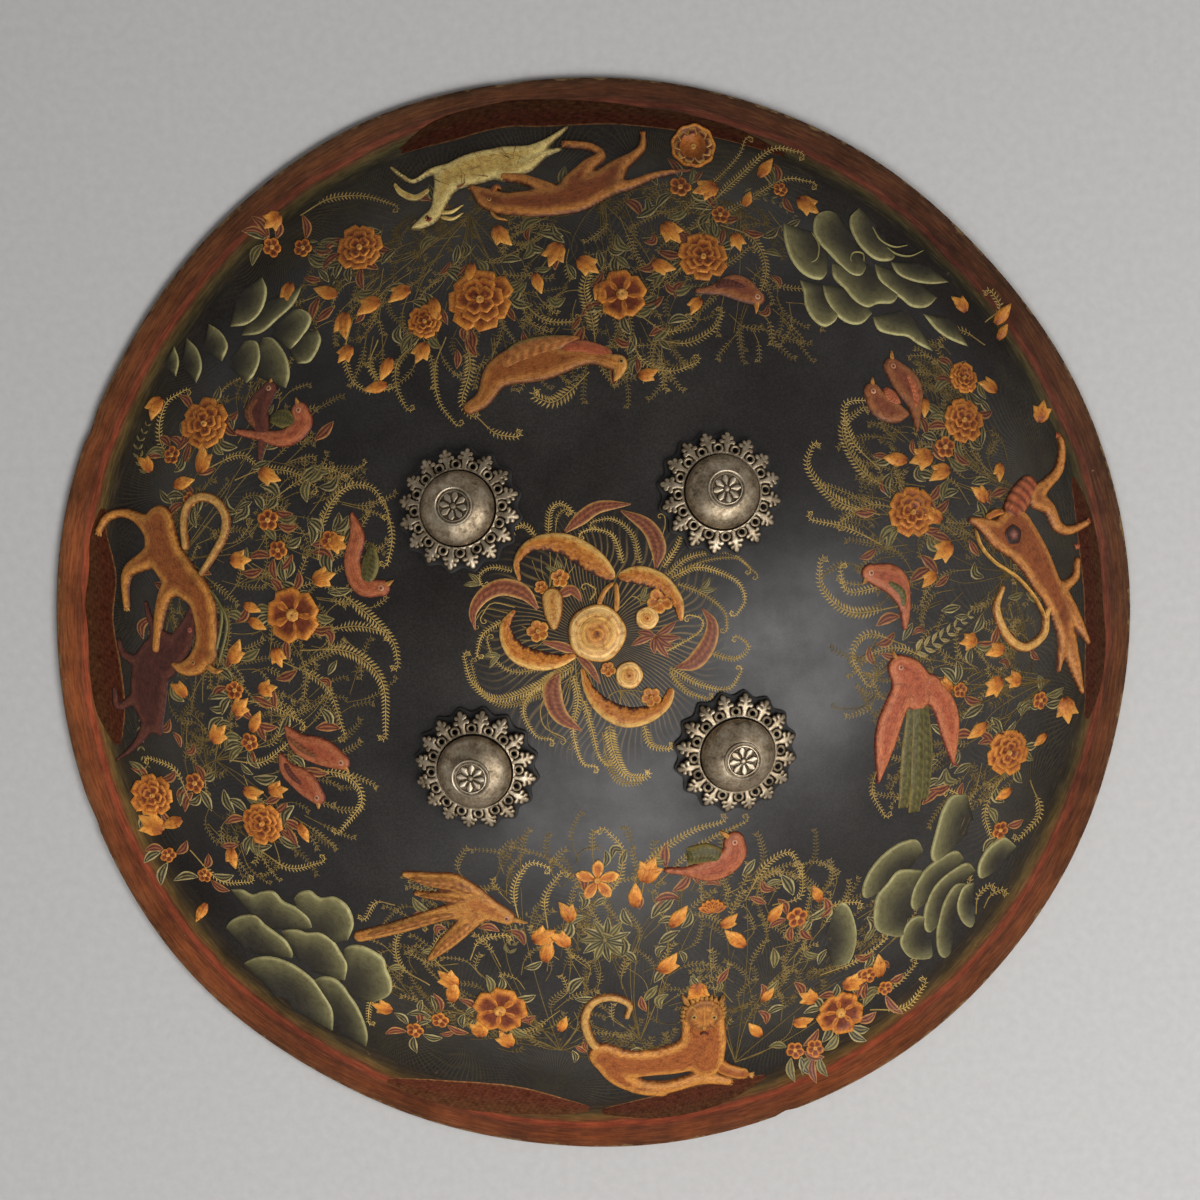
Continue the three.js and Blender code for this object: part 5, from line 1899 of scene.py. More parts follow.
# Fronds along the inner edge of each thicket, from foot to tip, and the side that each curls to
EDGE_FRONDS = {
    "top": [
        ([(415, 343), (397, 363), (397, 388), (406, 408)], 1, 2.6),
        ([(446, 337), (435, 368), (439, 401), (455, 424)], 1, 2.4),
        ([(466, 330), (470, 368), (462, 400), (470, 415)], 1, 3.8),
        ([(477, 417), (495, 433), (515, 437)], 1, 2.8),
        ([(589, 372), (571, 390), (553, 402), (537, 398)], -1, 4.6),
        ([(596, 352), (592, 318), (584, 290), (590, 268)], 1, 4.6),
        ([(629, 337), (645, 363), (671, 371), (696, 363)], 1, 2.8),
        ([(658, 340), (687, 343), (712, 330), (722, 314)], 1, 3.0),
        ([(638, 314), (667, 332), (689, 322)], 1, 2.6),
        ([(720, 225), (752, 238), (766, 268), (758, 300)], -1, 3.2),
        ([(352, 322), (345, 352), (352, 380), (368, 392)], 1, 2.8),
        ([(378, 340), (370, 365), (384, 388)], 1, 2.6),
        ([(300, 215), (330, 198), (365, 196), (395, 205)], -1, 2.8),
        ([(700, 215), (735, 180), (770, 150), (800, 152)], -1, 3.0),
        ([(690, 230), (740, 205), (782, 180), (812, 182)], -1, 3.0),
        ([(660, 235), (690, 205), (735, 160), (745, 140)], -1, 2.6),
        ([(705, 270), (730, 262), (748, 248)], -1, 2.6),
        ([(520, 300), (545, 320), (575, 322)], 1, 2.6),
    ],
    "left": [
        ([(318, 560), (325, 515), (345, 488), (372, 488), (388, 512)], -1, 3.2),
        ([(330, 585), (365, 612), (392, 640), (398, 664)], -1, 3.8),
        ([(300, 650), (350, 652), (382, 682), (386, 735)], -1, 4.2),
        ([(280, 660), (325, 685), (345, 735)], -1, 3.2),
        ([(320, 632), (355, 626), (385, 632)], -1, 3.4),
        ([(300, 770), (345, 775), (362, 800), (340, 832)], -1, 3.2),
        ([(260, 850), (290, 868), (322, 862)], 1, 2.6),
        ([(235, 480), (262, 470), (292, 472), (315, 486)], -1, 3.0),
        ([(272, 500), (300, 480), (325, 468), (350, 478)], -1, 3.0),
        ([(385, 500), (392, 535), (388, 562)], -1, 2.6),
        ([(180, 470), (160, 440), (165, 405), (185, 390)], -1, 3.0),
        ([(205, 470), (240, 455), (262, 470)], -1, 2.6),
        ([(230, 760), (262, 762), (290, 742)], 1, 2.8),
        ([(190, 800), (175, 770), (150, 758)], 1, 2.6),
        ([(240, 700), (270, 705), (302, 722)], -1, 2.8),
        ([(190, 850), (220, 880), (250, 882)], 1, 2.6),
    ],
    "bottom": [
        ([(520, 925), (514, 890), (528, 864), (546, 866)], -1, 2.8),
        ([(548, 930), (545, 898), (560, 874)], -1, 2.8),
        ([(600, 905), (618, 880), (622, 850), (606, 830)], 1, 2.8),
        ([(640, 900), (652, 860), (690, 832), (722, 822)], 1, 3.4),
        ([(655, 885), (700, 845), (745, 822)], 1, 2.6),
        ([(745, 900), (765, 866), (790, 852), (800, 872)], -1, 3.0),
        ([(772, 905), (800, 896), (802, 866)], 1, 2.6),
        ([(800, 930), (835, 905), (858, 902)], -1, 2.8),
        ([(820, 975), (858, 960), (885, 940)], 1, 2.8),
        ([(430, 985), (400, 965), (398, 935), (420, 925)], -1, 2.8),
        ([(452, 975), (432, 955), (440, 935)], -1, 2.4),
        ([(395, 905), (376, 902), (366, 918)], -1, 2.4),
        ([(470, 960), (480, 940), (505, 935)], -1, 2.6),
        ([(860, 1000), (895, 985), (915, 965)], 1, 2.8),
        ([(870, 1010), (905, 1008), (925, 985)], 1, 2.8),
        ([(560, 1010), (530, 1030), (505, 1030)], 1, 2.8),
        ([(395, 985), (372, 1000), (368, 1020)], 1, 2.6),
    ],
    "right": [
        ([(895, 492), (862, 470), (842, 430), (862, 408)], -1, 4.0),
        ([(880, 515), (836, 500), (808, 468), (812, 446)], -1, 3.8),
        ([(882, 545), (848, 528), (812, 520)], -1, 2.8),
        ([(905, 605), (852, 612), (822, 588), (820, 562)], -1, 3.8),
        ([(900, 580), (850, 592), (840, 570)], -1, 2.8),
        ([(905, 645), (868, 634), (852, 655), (866, 684)], 1, 3.0),
        ([(930, 660), (900, 648), (874, 652)], 1, 2.6),
        ([(880, 760), (872, 790), (884, 815)], 1, 2.4),
        ([(880, 470), (852, 440), (845, 405), (870, 400)], -1, 3.2),
        ([(905, 510), (870, 505), (840, 522)], 1, 2.6),
        ([(1000, 780), (985, 810), (990, 835)], 1, 3.0),
        ([(1030, 780), (1040, 812), (1020, 838)], -1, 3.0),
        ([(985, 345), (960, 330), (940, 340)], 1, 2.8),
        ([(985, 322), (1000, 308), (992, 292)], 1, 2.6),
        ([(966, 912), (962, 896), (970, 882)], 1, 2.6),
        ([(976, 914), (978, 896), (988, 886)], -1, 2.6),
        ([(984, 908), (990, 896), (1000, 890)], -1, 2.4),
        ([(960, 830), (968, 802), (950, 790)], 1, 2.6),
    ],
}


def side_of(px, py):
    return min(THICKETS, key=lambda side: inside((px, py), *THICKETS[side][:2]))


def outward(px, py):
    """The heading from the nearest root of the thicket to a pixel, on the flat hide."""
    roots = THICKETS[side_of(px, py)][2]
    root = min(roots, key=lambda p: math.dist(p, (px, py)))
    run = from_photo(px, py) - from_photo(*root)
    return math.atan2(run[1], run[0])


def side_fronds(side, count, seed):
    """Short fronds that point away from a thicket's roots, long bare stems, then those along its edge."""
    made = Fronds(f"ferns_{side}", seed)
    for _ in range(count):
        pixel, foot = somewhere(made.rng, side, 0.9)
        heading = outward(*pixel) + made.rng.normal(0, 0.5)
        long = made.rng.uniform(15, 32)
        bend = made.rng.uniform(-1.0, 1.0)
        half = foot + direction(heading) * long * 0.5
        tip = half + direction(heading + bend) * long * 0.5
        if np.hypot(*tip) > PAINT_EDGE - 3:
            continue
        paint = FERN_GOLD * made.rng.uniform(0.38, 0.85)
        curl = int(np.sign(bend)) or 1
        made.frond([foot, half, tip], made.rng.uniform(1.9, 2.9), 0.12, curl, 1.5, paint, 0.2)
    for _ in range(count // 9):
        pixel, tip = somewhere(made.rng, side, 0.8)
        root = min(THICKETS[side][2], key=lambda p: math.dist(p, pixel))
        foot = from_photo(*root)
        run = tip - foot
        across = np.array([-run[1], run[0]]) * made.rng.uniform(-0.2, 0.2)
        line = [foot, foot + run * 0.35 + across * 0.8, foot + run * 0.75 + across, tip]
        paint = FERN_GOLD * made.rng.uniform(0.35, 0.6)
        made.frond(line, 0.0, 1.0, 0, 1.0, paint, 0.24)
    for _ in range(count // 2):
        pixel, spot = somewhere(made.rng, side, 1.0)
        if np.hypot(*spot) < 170:
            continue
        foot = spot / np.hypot(*spot) * made.rng.uniform(222, 243)
        turned_to = made.rng.choice((-1, 1))
        heading = math.atan2(foot[1], foot[0]) + turned_to * made.rng.normal(1.75, 0.25)
        half = foot + direction(heading) * made.rng.uniform(6, 11)
        tip = half + direction(heading + turned_to * 0.5) * made.rng.uniform(5, 10)
        if np.hypot(*half) > PAINT_EDGE - 1:
            continue
        paint = FERN_GOLD * made.rng.uniform(0.25, 0.5)
        made.frond([foot, half, tip], made.rng.uniform(2.2, 3.2), 0.1, int(turned_to), 1.6, paint, 0.2)
    for pixels, curl, reach in EDGE_FRONDS[side]:
        paint = FERN_GOLD * made.rng.uniform(0.95, 1.2)
        made.frond(px_line(*pixels), reach * 1.12, 0.1, curl, 2.6, paint, 0.3)
    made.finish()


for number, (side, count) in enumerate((("top", 250), ("left", 220), ("bottom", 230), ("right", 220))):
    side_fronds(side, count, 41 + number)

# %% [markdown]
# The blooms stand highest, so they're a piece of their own for each side: peonies, roses, a wheel
# flower at the top, a lily and a leafy star at the bottom, small blossoms, and many buds.

# %% Flowers, pixel by pixel
PEONIES = [
    (480, 300, 17), (425, 322, 9), (205, 424, 14), (963, 378, 9), (963, 420, 12), (912, 512, 13),
    (1008, 752, 13), (263, 823, 12), (153, 795, 12), (703, 257, 13), (360, 248, 13),
]
ROSES = [(293, 615, 14.5), (500, 1010, 14), (840, 1012, 13), (622, 295, 13)]
BLOSSOMS = [
    (272, 247, 6), (303, 248, 6), (268, 520, 7), (278, 550, 6), (195, 783, 7), (415, 1030, 6), (440, 1020, 6),
    (797, 917, 7), (795, 1050, 6), (815, 1048, 6), (945, 447, 7), (680, 187, 7), (868, 975, 6), (885, 988, 5),
    (172, 455, 6), (190, 500, 5), (235, 690, 6), (250, 742, 6), (1040, 700, 6), (960, 690, 5),
    (1000, 830, 6), (970, 640, 5), (720, 215, 6), (780, 190, 5), (330, 540, 6), (205, 875, 5), (168, 855, 5),
]
LILIES = [(597, 880, 12)]
BUDS = [
    (497, 228), (472, 265), (535, 275), (433, 300), (378, 302), (385, 385), (580, 260), (640, 375),
    (335, 295), (408, 290), (345, 315), (350, 348), (390, 360), (425, 345), (290, 285), (278, 215),
    (600, 285), (655, 262), (715, 187), (745, 205), (760, 175), (735, 235), (800, 200), (700, 300),
    (665, 225), (558, 245), (455, 985), (452, 1000), (545, 960), (567, 945), (570, 920), (535, 940),
    (645, 880), (635, 905), (672, 925), (722, 925), (743, 945), (660, 970), (697, 985), (763, 1000),
    (770, 920), (820, 900), (815, 1000), (795, 1022), (880, 975), (390, 1010), (510, 1045), (560, 1030),
    (480, 1035), (845, 985), (760, 1035), (213, 740), (235, 712), (260, 690), (185, 695), (252, 730),
    (250, 620), (245, 605), (330, 540), (315, 580), (232, 560), (262, 470), (150, 470), (175, 485),
    (160, 400), (200, 470), (275, 650), (230, 660), (300, 825), (232, 850), (180, 820), (160, 830),
    (270, 790), (245, 790), (205, 905), (1001, 465), (948, 470), (950, 545), (1000, 680), (1020, 680),
    (997, 322), (965, 310), (995, 390), (930, 455), (935, 575), (985, 725), (1045, 735), (1065, 700),
    (975, 640), (1010, 790), (985, 500), (905, 460), (925, 400), (999, 338), (1040, 420), (940, 520),
    (1003, 650), (950, 690),
]


def paint_flowers():
    # The last number is how strongly painted light brightens each layer towards the lower left.
    layers = {side: Relief(f"painted_flowers_{side}", 50 + k, 0.7) for k, side in enumerate(THICKETS)}
    for px, py, radius in PEONIES:
        peony(layers[side_of(px, py)], from_photo(px, py), radius)
    for px, py, radius in ROSES:
        rose(layers[side_of(px, py)], from_photo(px, py), radius)
    for px, py, radius in LILIES:
        lily(layers[side_of(px, py)], from_photo(px, py), radius)
    for px, py, radius in BLOSSOMS:
        blossom(layers[side_of(px, py)], from_photo(px, py), radius * 0.85)
    wheel_flower(layers["top"], from_photo(693, 147), 12.5)
    for px, py in BUDS:
        layer = layers[side_of(px, py)]
        size = layer.rng.uniform(9.5, 14.5)
        heading = outward(px, py) + layer.rng.normal(0, 0.7)
        bud(layer, from_photo(px, py), heading, size, int(layer.rng.integers(1, 4)))
    for k in range(7):
        petals = layers["bottom"]
        heading = heading_on_photo(25 + 22 * k)
        petal(petals, from_photo(712, 912), heading, 8, 3.6, 1.3, 0.8)
    for layer in layers.values():
        layer.finish(gold_gesso)


paint_flowers()


# %% Leaves round the flowers
def paint_leaves():
    # The last number is how strongly painted light brightens each layer towards the lower left.
    leaves = {side: Relief(f"painted_leaves_{side}", 60 + k, 1.0) for k, side in enumerate(THICKETS)}
    kinds = ["green", "green", "olive", "red", "red"]
    for px, py, radius in PEONIES + ROSES + BLOSSOMS:
        layer = leaves[side_of(px, py)]
        for _ in range(int(3 + radius / 3)):
            heading = layer.rng.uniform(0, TURN)
            at = from_photo(px, py) + direction(heading) * radius * 0.85
            kind = kinds[layer.rng.integers(0, 5)]
            leaf(layer, at, heading + layer.rng.normal(0, 0.5), layer.rng.uniform(9.5, 14.5), 5.2, kind, 0.5)
    for side, count in (("top", 100), ("left", 90), ("bottom", 90), ("right", 90)):
        layer = leaves[side]
        for _ in range(count):
            pixel, at = somewhere(layer.rng, side, 0.85)
            kind = kinds[layer.rng.integers(0, 5)]
            size = layer.rng.uniform(8.5, 15)
            heading = outward(*pixel) + layer.rng.normal(0, 0.9)
            leaf(layer, at, heading, size, size * 0.42, kind, layer.rng.normal(0, 0.6))
    spray(leaves["right"], [(908, 655), (938, 640), (975, 611)], "cream", 8.5, 8)
    spray(leaves["right"], [(1010, 712), (1040, 700), (1068, 690)], "olive", 6.0, 7)
    spray(leaves["bottom"], [(505, 960), (520, 925), (540, 905)], "olive", 6.0, 7)
    spray(leaves["bottom"], [(690, 1000), (700, 970), (722, 948)], "olive", 6.0, 7)
    spray(leaves["top"], [(300, 235), (330, 262), (338, 300)], "olive", 6.0, 7)
    spray(leaves["top"], [(735, 190), (775, 200), (800, 222)], "olive", 6.0, 7)
    spray(leaves["left"], [(150, 700), (140, 740), (150, 775)], "olive", 6.0, 7)
    spray(leaves["left"], [(150, 480), (138, 450), (150, 418)], "olive", 6.0, 7)
    for k in range(11):
        heading = TURN * k / 11 + 0.2
        leaf(leaves["bottom"], from_photo(605, 940), heading, 14, 5.0, "olive" if k % 2 else "green", 0.15)
    for layer in leaves.values():
        layer.finish(leaf_paint)


paint_leaves()

# %% [markdown]
# ## The ornament in the middle
# Four puffed gold crescents turn round a domed flower, with red plumes, ferns and small blossoms
# between them.

# %% The central rosette
PLUME = ((0.44, 0.24, 0.07), (0.085, 0.020, 0.013), (0.26, 0.085, 0.035))
CRESCENTS = [
    (
        [(520, 581), (517, 563), (528, 547), (547, 542), (566, 545), (586, 556), (603, 569), (614, 579)],
        [0.9, 1.9, 3.0, 4.4, 5.6, 6.2, 5.4, 2.2],
        1,
    ),
    ([
        (618, 577), (637, 575), (656, 580), (669, 590), (678, 604), (681, 621),
    ], [2.2, 4.6, 4.8, 4.0, 3.0, 1.2], 1),
    ([
        (515, 610), (506, 624), (508, 640), (518, 653), (536, 660), (557, 661), (576, 655),
    ], [1.0, 2.8, 4.2, 5.2, 5.0, 3.4, 1.4], -1),
    ([
        (582, 668), (589, 689), (604, 707), (626, 717), (648, 714), (665, 703), (672, 688),
    ], [1.0, 2.8, 4.4, 5.4, 4.8, 3.4, 1.8], -1),
]
CRESCENT_HEIGHT = 2.4


def crescent(relief, pixels, widths, outer):
    """A puffed gold crescent: pale along its outer side, mottled within, ragged and dark inside."""

    def mottle(share, side):
        slow = 0.5 * np.sin(TURN * (7.3 * share + 0.55 * side))
        slow = slow + 0.35 * np.sin(TURN * (12.7 * share - 0.8 * side) + 2)
        quick = 0.3 * np.sin(TURN * (23.0 * share + 1.1 * side) + 1)
        return slow + quick + 0.15 * np.sin(TURN * 41.0 * share)

    def paint(share, side):
        place = side * outer
        broken = mottle(share, side) * np.clip(0.75 - place, 0, 1)
        stops = [
            (-1.3, RUSSET), (-1.0, INK), (-0.8, RUSSET), (-0.62, GILT), (-0.42, ORANGE), (-0.2, GILT),
            (0.08, ORANGE), (0.3, GILT), (0.6, PALE_GILT), (0.82, (0.82, 0.52, 0.17)), (0.95, PALE_GILT),
            (1.1, GILT),
        ]
        return blend_paint(stops, place + 0.22 * broken)

    def lift(share, side):
        place = side * outer
        lumps = 1 + 0.10 * mottle(share, side) * np.clip(0.6 - place, 0, 1)
        return dome_lift(CRESCENT_HEIGHT, 0.2)(share, side) * lumps * (0.86 + 0.14 * place)

    relief.ribbon(px_line(*pixels), widths, lift, paint, count=130, across=19, rounded=True)


def spiral_dome(relief, at, radius, height):
    """A domed flower with fine gold lines that turn round its middle."""

    def paint(share, angle):
        turns = 0.5 + 0.5 * np.cos(angle + 34 * share) + 0.3 * np.cos(3 * angle - 19 * share)
        stops = [
            (0, INK), (0.04, RUSSET), (0.14, GILT), (0.3, (0.62, 0.27, 0.07)), (0.5, PALE_GILT),
            (0.72, (0.86, 0.49, 0.16)), (0.86, (0.90, 0.58, 0.22)), (0.95, PALE_GILT), (1, ORANGE),
        ]
        return blend_paint(stops, share) * (0.72 + 0.3 * turns[..., None])

    shares = np.linspace(0.98, 0.08, 22)
    rings = [(float(s), height * math.sqrt(max(1 - s**2, 0.02)) + 0.4) for s in shares]
    relief.blob(at, lambda a: radius * (1 + 0.02 * np.cos(5 * a)), rings, paint, points=72, rounds=True)


# Plumes of the centre in the photograph's pixels, and their half width in millimetres
CENTRE_PLUMES = [
    ([(538, 609), (524, 593), (503, 587), (484, 595), (473, 612), (475, 630)], 4.2),
    ([(565, 532), (580, 519), (599, 507), (631, 504)], 3.4),
    ([(656, 568), (658, 547), (647, 526), (620, 510)], 4.2),
    ([(676, 668), (694, 662), (708, 644), (712, 624), (702, 608)], 4.4),
    ([(559, 670), (552, 691), (560, 715), (582, 731)], 4.8),
    ([(558, 596), (572, 590), (582, 602)], 2.6),
    ([(576, 652), (560, 646), (542, 642)], 2.4),
    ([(578, 656), (590, 668), (600, 684)], 2.2),
]
# Red leaves that fan out under the rosette: heading in degrees, and length in millimetres
RED_FAN = [(195, 13), (160, 9), (28, 13), (350, 13), (262, 9), (295, 13), (320, 11)]
# Pairs of small leaves round the centre: their foot on the photograph, and their heading in degrees
CENTRE_TUFTS = [((480, 585), 150), ((500, 655), 200), ((700, 590), 20), ((560, 575), 120), ((640, 600), 40)]
# Small flowers between the crescents: place on the photograph, and radius in millimetres
CENTRE_BLOSSOMS = [
    (541, 587, 3.4), (538, 631, 5.6), (660, 601, 6.4), (608, 669, 3.8), (651, 697, 5.0), (560, 578, 4.6),
]
# Fronds of the centre in the photograph's pixels, the side that each curls to, and its longest leaflet
CENTRE_FRONDS = [
    ([(573, 666), (536, 687), (498, 699), (473, 684), (464, 657)], -1, 4.2),
    ([(567, 661), (517, 672), (494, 659), (487, 640)], -1, 2.6),
    ([(556, 672), (533, 691), (523, 710), (535, 735), (550, 739)], -1, 3.0),
    ([(563, 676), (542, 703), (544, 726), (563, 737)], -1, 0.0),
    ([(573, 676), (578, 700), (573, 730), (582, 762), (594, 766)], -1, 3.0),
    ([(584, 701), (592, 730), (598, 754), (605, 764)], 1, 2.8),
    ([(609, 726), (613, 749), (626, 775), (645, 777)], 1, 4.6),
    ([(644, 726), (651, 745), (668, 749)], 1, 3.0),
    ([(504, 620), (483, 634), (477, 653)], 1, 2.4),
    ([(515, 607), (492, 603), (481, 617)], 1, 0.0),
    ([(512, 571), (492, 567), (479, 575), (481, 584)], 1, 2.2),
    ([(535, 536), (525, 525), (513, 528)], 1, 2.6),
    ([(548, 534), (550, 511), (559, 503), (569, 508)], -1, 2.8),
    ([(623, 563), (613, 536), (594, 529), (582, 532)], 1, 2.4),
    ([(640, 563), (632, 534), (613, 519), (594, 521)], 1, 2.6),
    ([(667, 575), (690, 557), (728, 552), (749, 567)], -1, 2.6),
    ([(672, 577), (699, 567), (735, 580), (745, 599), (737, 614)], -1, 2.8),
    ([(678, 584), (703, 594), (724, 611), (727, 628)], -1, 2.4),
    ([(663, 567), (676, 548), (680, 538)], -1, 2.6),
    ([(652, 560), (664, 530), (665, 518)], 1, 0.0),
    ([(711, 653), (735, 659), (749, 647), (739, 637)], 1, 2.4),
    ([(670, 668), (699, 684), (728, 689), (741, 672)], 1, 2.8),
    ([(670, 672), (686, 691), (707, 699)], 1, 2.6),
    ([(667, 651), (699, 632), (702, 619), (690, 615)], 1, 1.6),
    ([(640, 600), (632, 596), (622, 606)], -1, 0.0),
    ([(590, 600), (596, 590), (588, 584)], 1, 1.2),
]
# Thin lines that fan out inside the crescents
CENTRE_FANS = [
    ((549, 590), [(532, 560), (541, 555), (550, 552), (558, 553), (567, 558), (575, 565)]),
    ((640, 604), [(648, 584), (656, 588), (664, 594)]),
    ((545, 640), [(522, 626), (520, 640), (530, 650)]),
    ((620, 690), [(606, 700), (618, 708), (632, 710), (646, 706), (658, 698)]),
    ((575, 655), [(540, 700), (560, 712), (590, 716), (598, 700)]),
]


def paint_centre():
    # The last number is how strongly painted light brightens the plumes towards the lower left.
    plumes = Relief("painted_plumes", 71, 1.5)
    for pixels, width in CENTRE_PLUMES:
        feathers(plumes, pixels, [0.8, width, width, 0.7 * width, 0.3], 0.4, PLUME, 14)
    for degrees, long in RED_FAN:
        leaf(plumes, from_photo(655, 636), heading_on_photo(degrees), long, 4.4, "red", 0.25)
    for pixel, degrees in CENTRE_TUFTS:
        for off in (-0.4, 0.4):
            leaf(plumes, from_photo(*pixel), heading_on_photo(degrees) + off, 8.5, 3.0, "olive", 0.3)
    plumes.finish(leaf_paint)

    ferns = Fronds("ferns_centre", 72)
    for pixels, curl, reach in CENTRE_FRONDS:
        paint = FERN_GOLD * ferns.rng.uniform(1.25, 1.5)
        ferns.frond(px_line(*pixels), reach, -0.08, curl, 2.2, paint, 0.3)
    for pixels, curl, reach in CENTRE_FRONDS[:18:3]:
        aside = [(px - curl * 7, py + 6) for px, py in pixels]
        ferns.frond(px_line(*aside), reach * 0.7, 0.1, curl, 2.0, FERN_GOLD * 0.8, 0.26)
    for root, tips in CENTRE_FANS:
        for tip in tips:
            foot, end = from_photo(*root), from_photo(*tip)
            run = end - foot
            bow = np.array([-run[1], run[0]]) * ferns.rng.uniform(-0.12, 0.12)
            ferns.frond([foot, foot + run * 0.5 + bow, end], 0.0, 1.0, 0, 1.0, FERN_GOLD * 0.85, 0.26)
    ferns.finish(pitch=1.45, width=0.24)

    gilt = Relief("painted_centre", 73)
    for pixels in ([(614, 582), (604, 592), (598, 606)], [(616, 582), (617, 597), (616, 612)]):
        limb(gilt, pixels, [1.0, 1.4, 1.4], 1.6, GOLD, 0.1, 10)
    for pixels, widths, outer in CRESCENTS:
        crescent(gilt, pixels, widths, outer)
    spiral_dome(gilt, from_photo(597, 633), 14.5, 3.4)
    creature(gilt, [([(552, 598), (553, 610), (554, 626)], [5.4, 4.8, 2.2])], GOLD, 2.2, step=0.8, slope=3.0)
    for px, py, radius in CENTRE_BLOSSOMS:
        blossom(gilt, from_photo(px, py), radius, 1.6, (ORANGE, GILT, PALE_GILT))
    spiral_dome(gilt, from_photo(629, 675), 6.9, 2.2)
    spiral_dome(gilt, from_photo(647, 618), 5.8, 2.0)
    gilt.finish(gold_gesso)


paint_centre()

# %% [markdown]
# ## Silver bosses
# Each boss is drawn about Z with the hide under it at height 0, as its solid is, and then set on
# the crown. A point keeps a number called crest, low in hollows and high where fingers rub, and
# the silver is black in the one and bright on the other.

# %% Closed shapes
BAR_STEPS = 9
BAR_ACROSS = 7


class Solid:
    """Collects closed shapes in millimetres, and how rubbed each point is."""

    def __init__(self):
        self.points, self.faces, self.crests = [], [], []
        self.count = 0

    def add(self, points, faces, crest=0.6):
        points = np.asarray(points, float).reshape(-1, 3)
        self.points.append(points)
        self.crests.append(np.broadcast_to(crest, len(points)))
        self.faces += [tuple(int(i) + self.count for i in face) for face in faces]
        self.count += len(points)

    def loft(self, rows, closed=False, crest=0.6):
        """Skins a list of closed loops, which join end to end or get flat ends."""
        rows = [np.asarray(row, float) for row in rows]
        n, m = len(rows), len(rows[0])
        faces = []
        for i in range(n if closed else n - 1):
            low, high = i * m, ((i + 1) % n) * m
            faces += [(low + j, low + (j + 1) % m, high + (j + 1) % m, high + j) for j in range(m)]
        if not closed:
            faces += [tuple(range(m - 1, -1, -1)), tuple(range((n - 1) * m, n * m))]
        flat_crest = crest if np.isscalar(crest) else np.asarray(crest, float).ravel()
        self.add(np.concatenate(rows), faces, flat_crest)

    def mesh(self, name):
        made = bpy.data.meshes.new(name)
        made.from_pydata((np.vstack(self.points) * MM).tolist(), [], self.faces)
        put(made, "crest", "FLOAT", np.concatenate(self.crests))
        return made


def loop_at(radius, height, segments):
    angle = np.linspace(0, TURN, segments, endpoint=False)
    radius = np.broadcast_to(radius, segments)
    height = np.broadcast_to(height, segments)
    return np.column_stack([radius * np.cos(angle), radius * np.sin(angle), height])


def torus_rows(radius, wire, around, section, squash=1.0):
    """Loops of a ring whose hole runs along Z."""
    rows = []
    for i in range(around):
        big = TURN * i / around
        small = -np.linspace(0, TURN, section, endpoint=False)
        reach = radius + wire * np.cos(small)
        rows.append(
            np.column_stack([reach * math.cos(big), reach * math.sin(big), wire * squash * np.sin(small)])
        )
    return rows


def bar_rows(line, widths, foot, top):
    """Loops of a bar that follows a flat line, with a flat foot and a rounded top."""
    spine = smooth_line(line, BAR_STEPS)
    _, left = ahead_and_left(spine)
    half = profile_of(widths, BAR_STEPS)
    angle = np.linspace(0, math.pi, BAR_ACROSS)
    place = np.concatenate([np.cos(angle), [-0.96, 0.96]])
    share = np.concatenate([np.sin(angle), [-0.6, -0.6]])
    rows, crest = [], []
    for k in range(BAR_STEPS):
        rise = np.where(share < 0, foot, foot + (top - foot) * (0.35 + 0.65 * np.maximum(share, 0)))
        xy = spine[k] + left[k] * (place * half[k])[:, None]
        rows.append(np.column_stack([xy, rise]))
        crest.append(np.clip(share, 0, 1))
    return rows, crest


def unpack(mesh):
    """A mesh's points in millimetres, its faces, and its crest values."""
    place = read(mesh.vertices, "co", 3)
    crest = read(mesh.attributes["crest"].data, "value", 1)
    faces = [tuple(face.vertices) for face in mesh.polygons]
    return place.reshape(-1, 3).astype(float) / MM, faces, crest


# %% A finish for tarnished silver
def silver_finish():
    made = Finish("tarnished_silver", Metallic=1.0)
    crest = made.attribute("crest", "Fac")
    patches = made.span(made.noise(150, 6, 0.65), 0.3, 0.7, -0.26, 0.22)
    pits = made.span(made.noise(700, 4, 0.6), 0.3, 0.7, -0.14, 0.14)
    worn = made.plus(made.plus(crest, patches), pits)
    dark = [(0.05, (0.026, 0.018, 0.011)), (0.35, (0.115, 0.086, 0.056))]
    bright = [(0.62, (0.34, 0.262, 0.170)), (0.95, (0.56, 0.48, 0.36))]
    made.set("Base Color", made.ramp(worn, dark + bright))
    made.set("Roughness", made.span(worn, 0.1, 0.9, 0.62, 0.42))
    dents = made.bump(made.noise(90, 3), 0.5, 0.5)
    scratches = made.noise(1, 3, 0.6, made.stretched((120, 1500, 400), (0, 0, 0.6)))
    made.set("Normal", made.bump(scratches, 0.06, 0.5, dents))
    return made.material


def plain_finish(name, shades, roughness, metallic=0.0):
    """A mottled finish that goes from its first shade to its last, with fine relief."""
    made = Finish(name, Metallic=metallic)
    tone = made.noise(70, 6, 0.62)
    stops = [(0.3 + 0.4 * k / (len(shades) - 1), shade) for k, shade in enumerate(shades)]
    made.set("Base Color", made.ramp(tone, stops))
    made.set("Roughness", made.span(made.noise(45, 4), 0.3, 0.7, *roughness))
    made.set("Normal", made.bump(made.noise(500, 4, 0.6), 0.15, 0.6))
    return made.material


LEATHER_SHADES = [(0.004, 0.0033, 0.0027), (0.013, 0.010, 0.008)]
IRON_SHADES = [(0.028, 0.023, 0.02), (0.09, 0.08, 0.072), (0.2, 0.185, 0.17)]
BRASS_SHADES = [(0.10, 0.062, 0.022), (0.30, 0.20, 0.075), (0.46, 0.33, 0.14)]
silver = silver_finish()
washer_leather = plain_finish("washer_leather", LEATHER_SHADES, (0.6, 0.8))
iron = plain_finish("worn_iron", IRON_SHADES, (0.35, 0.6), 1.0)
brass = plain_finish("old_brass", BRASS_SHADES, (0.3, 0.55), 1.0)

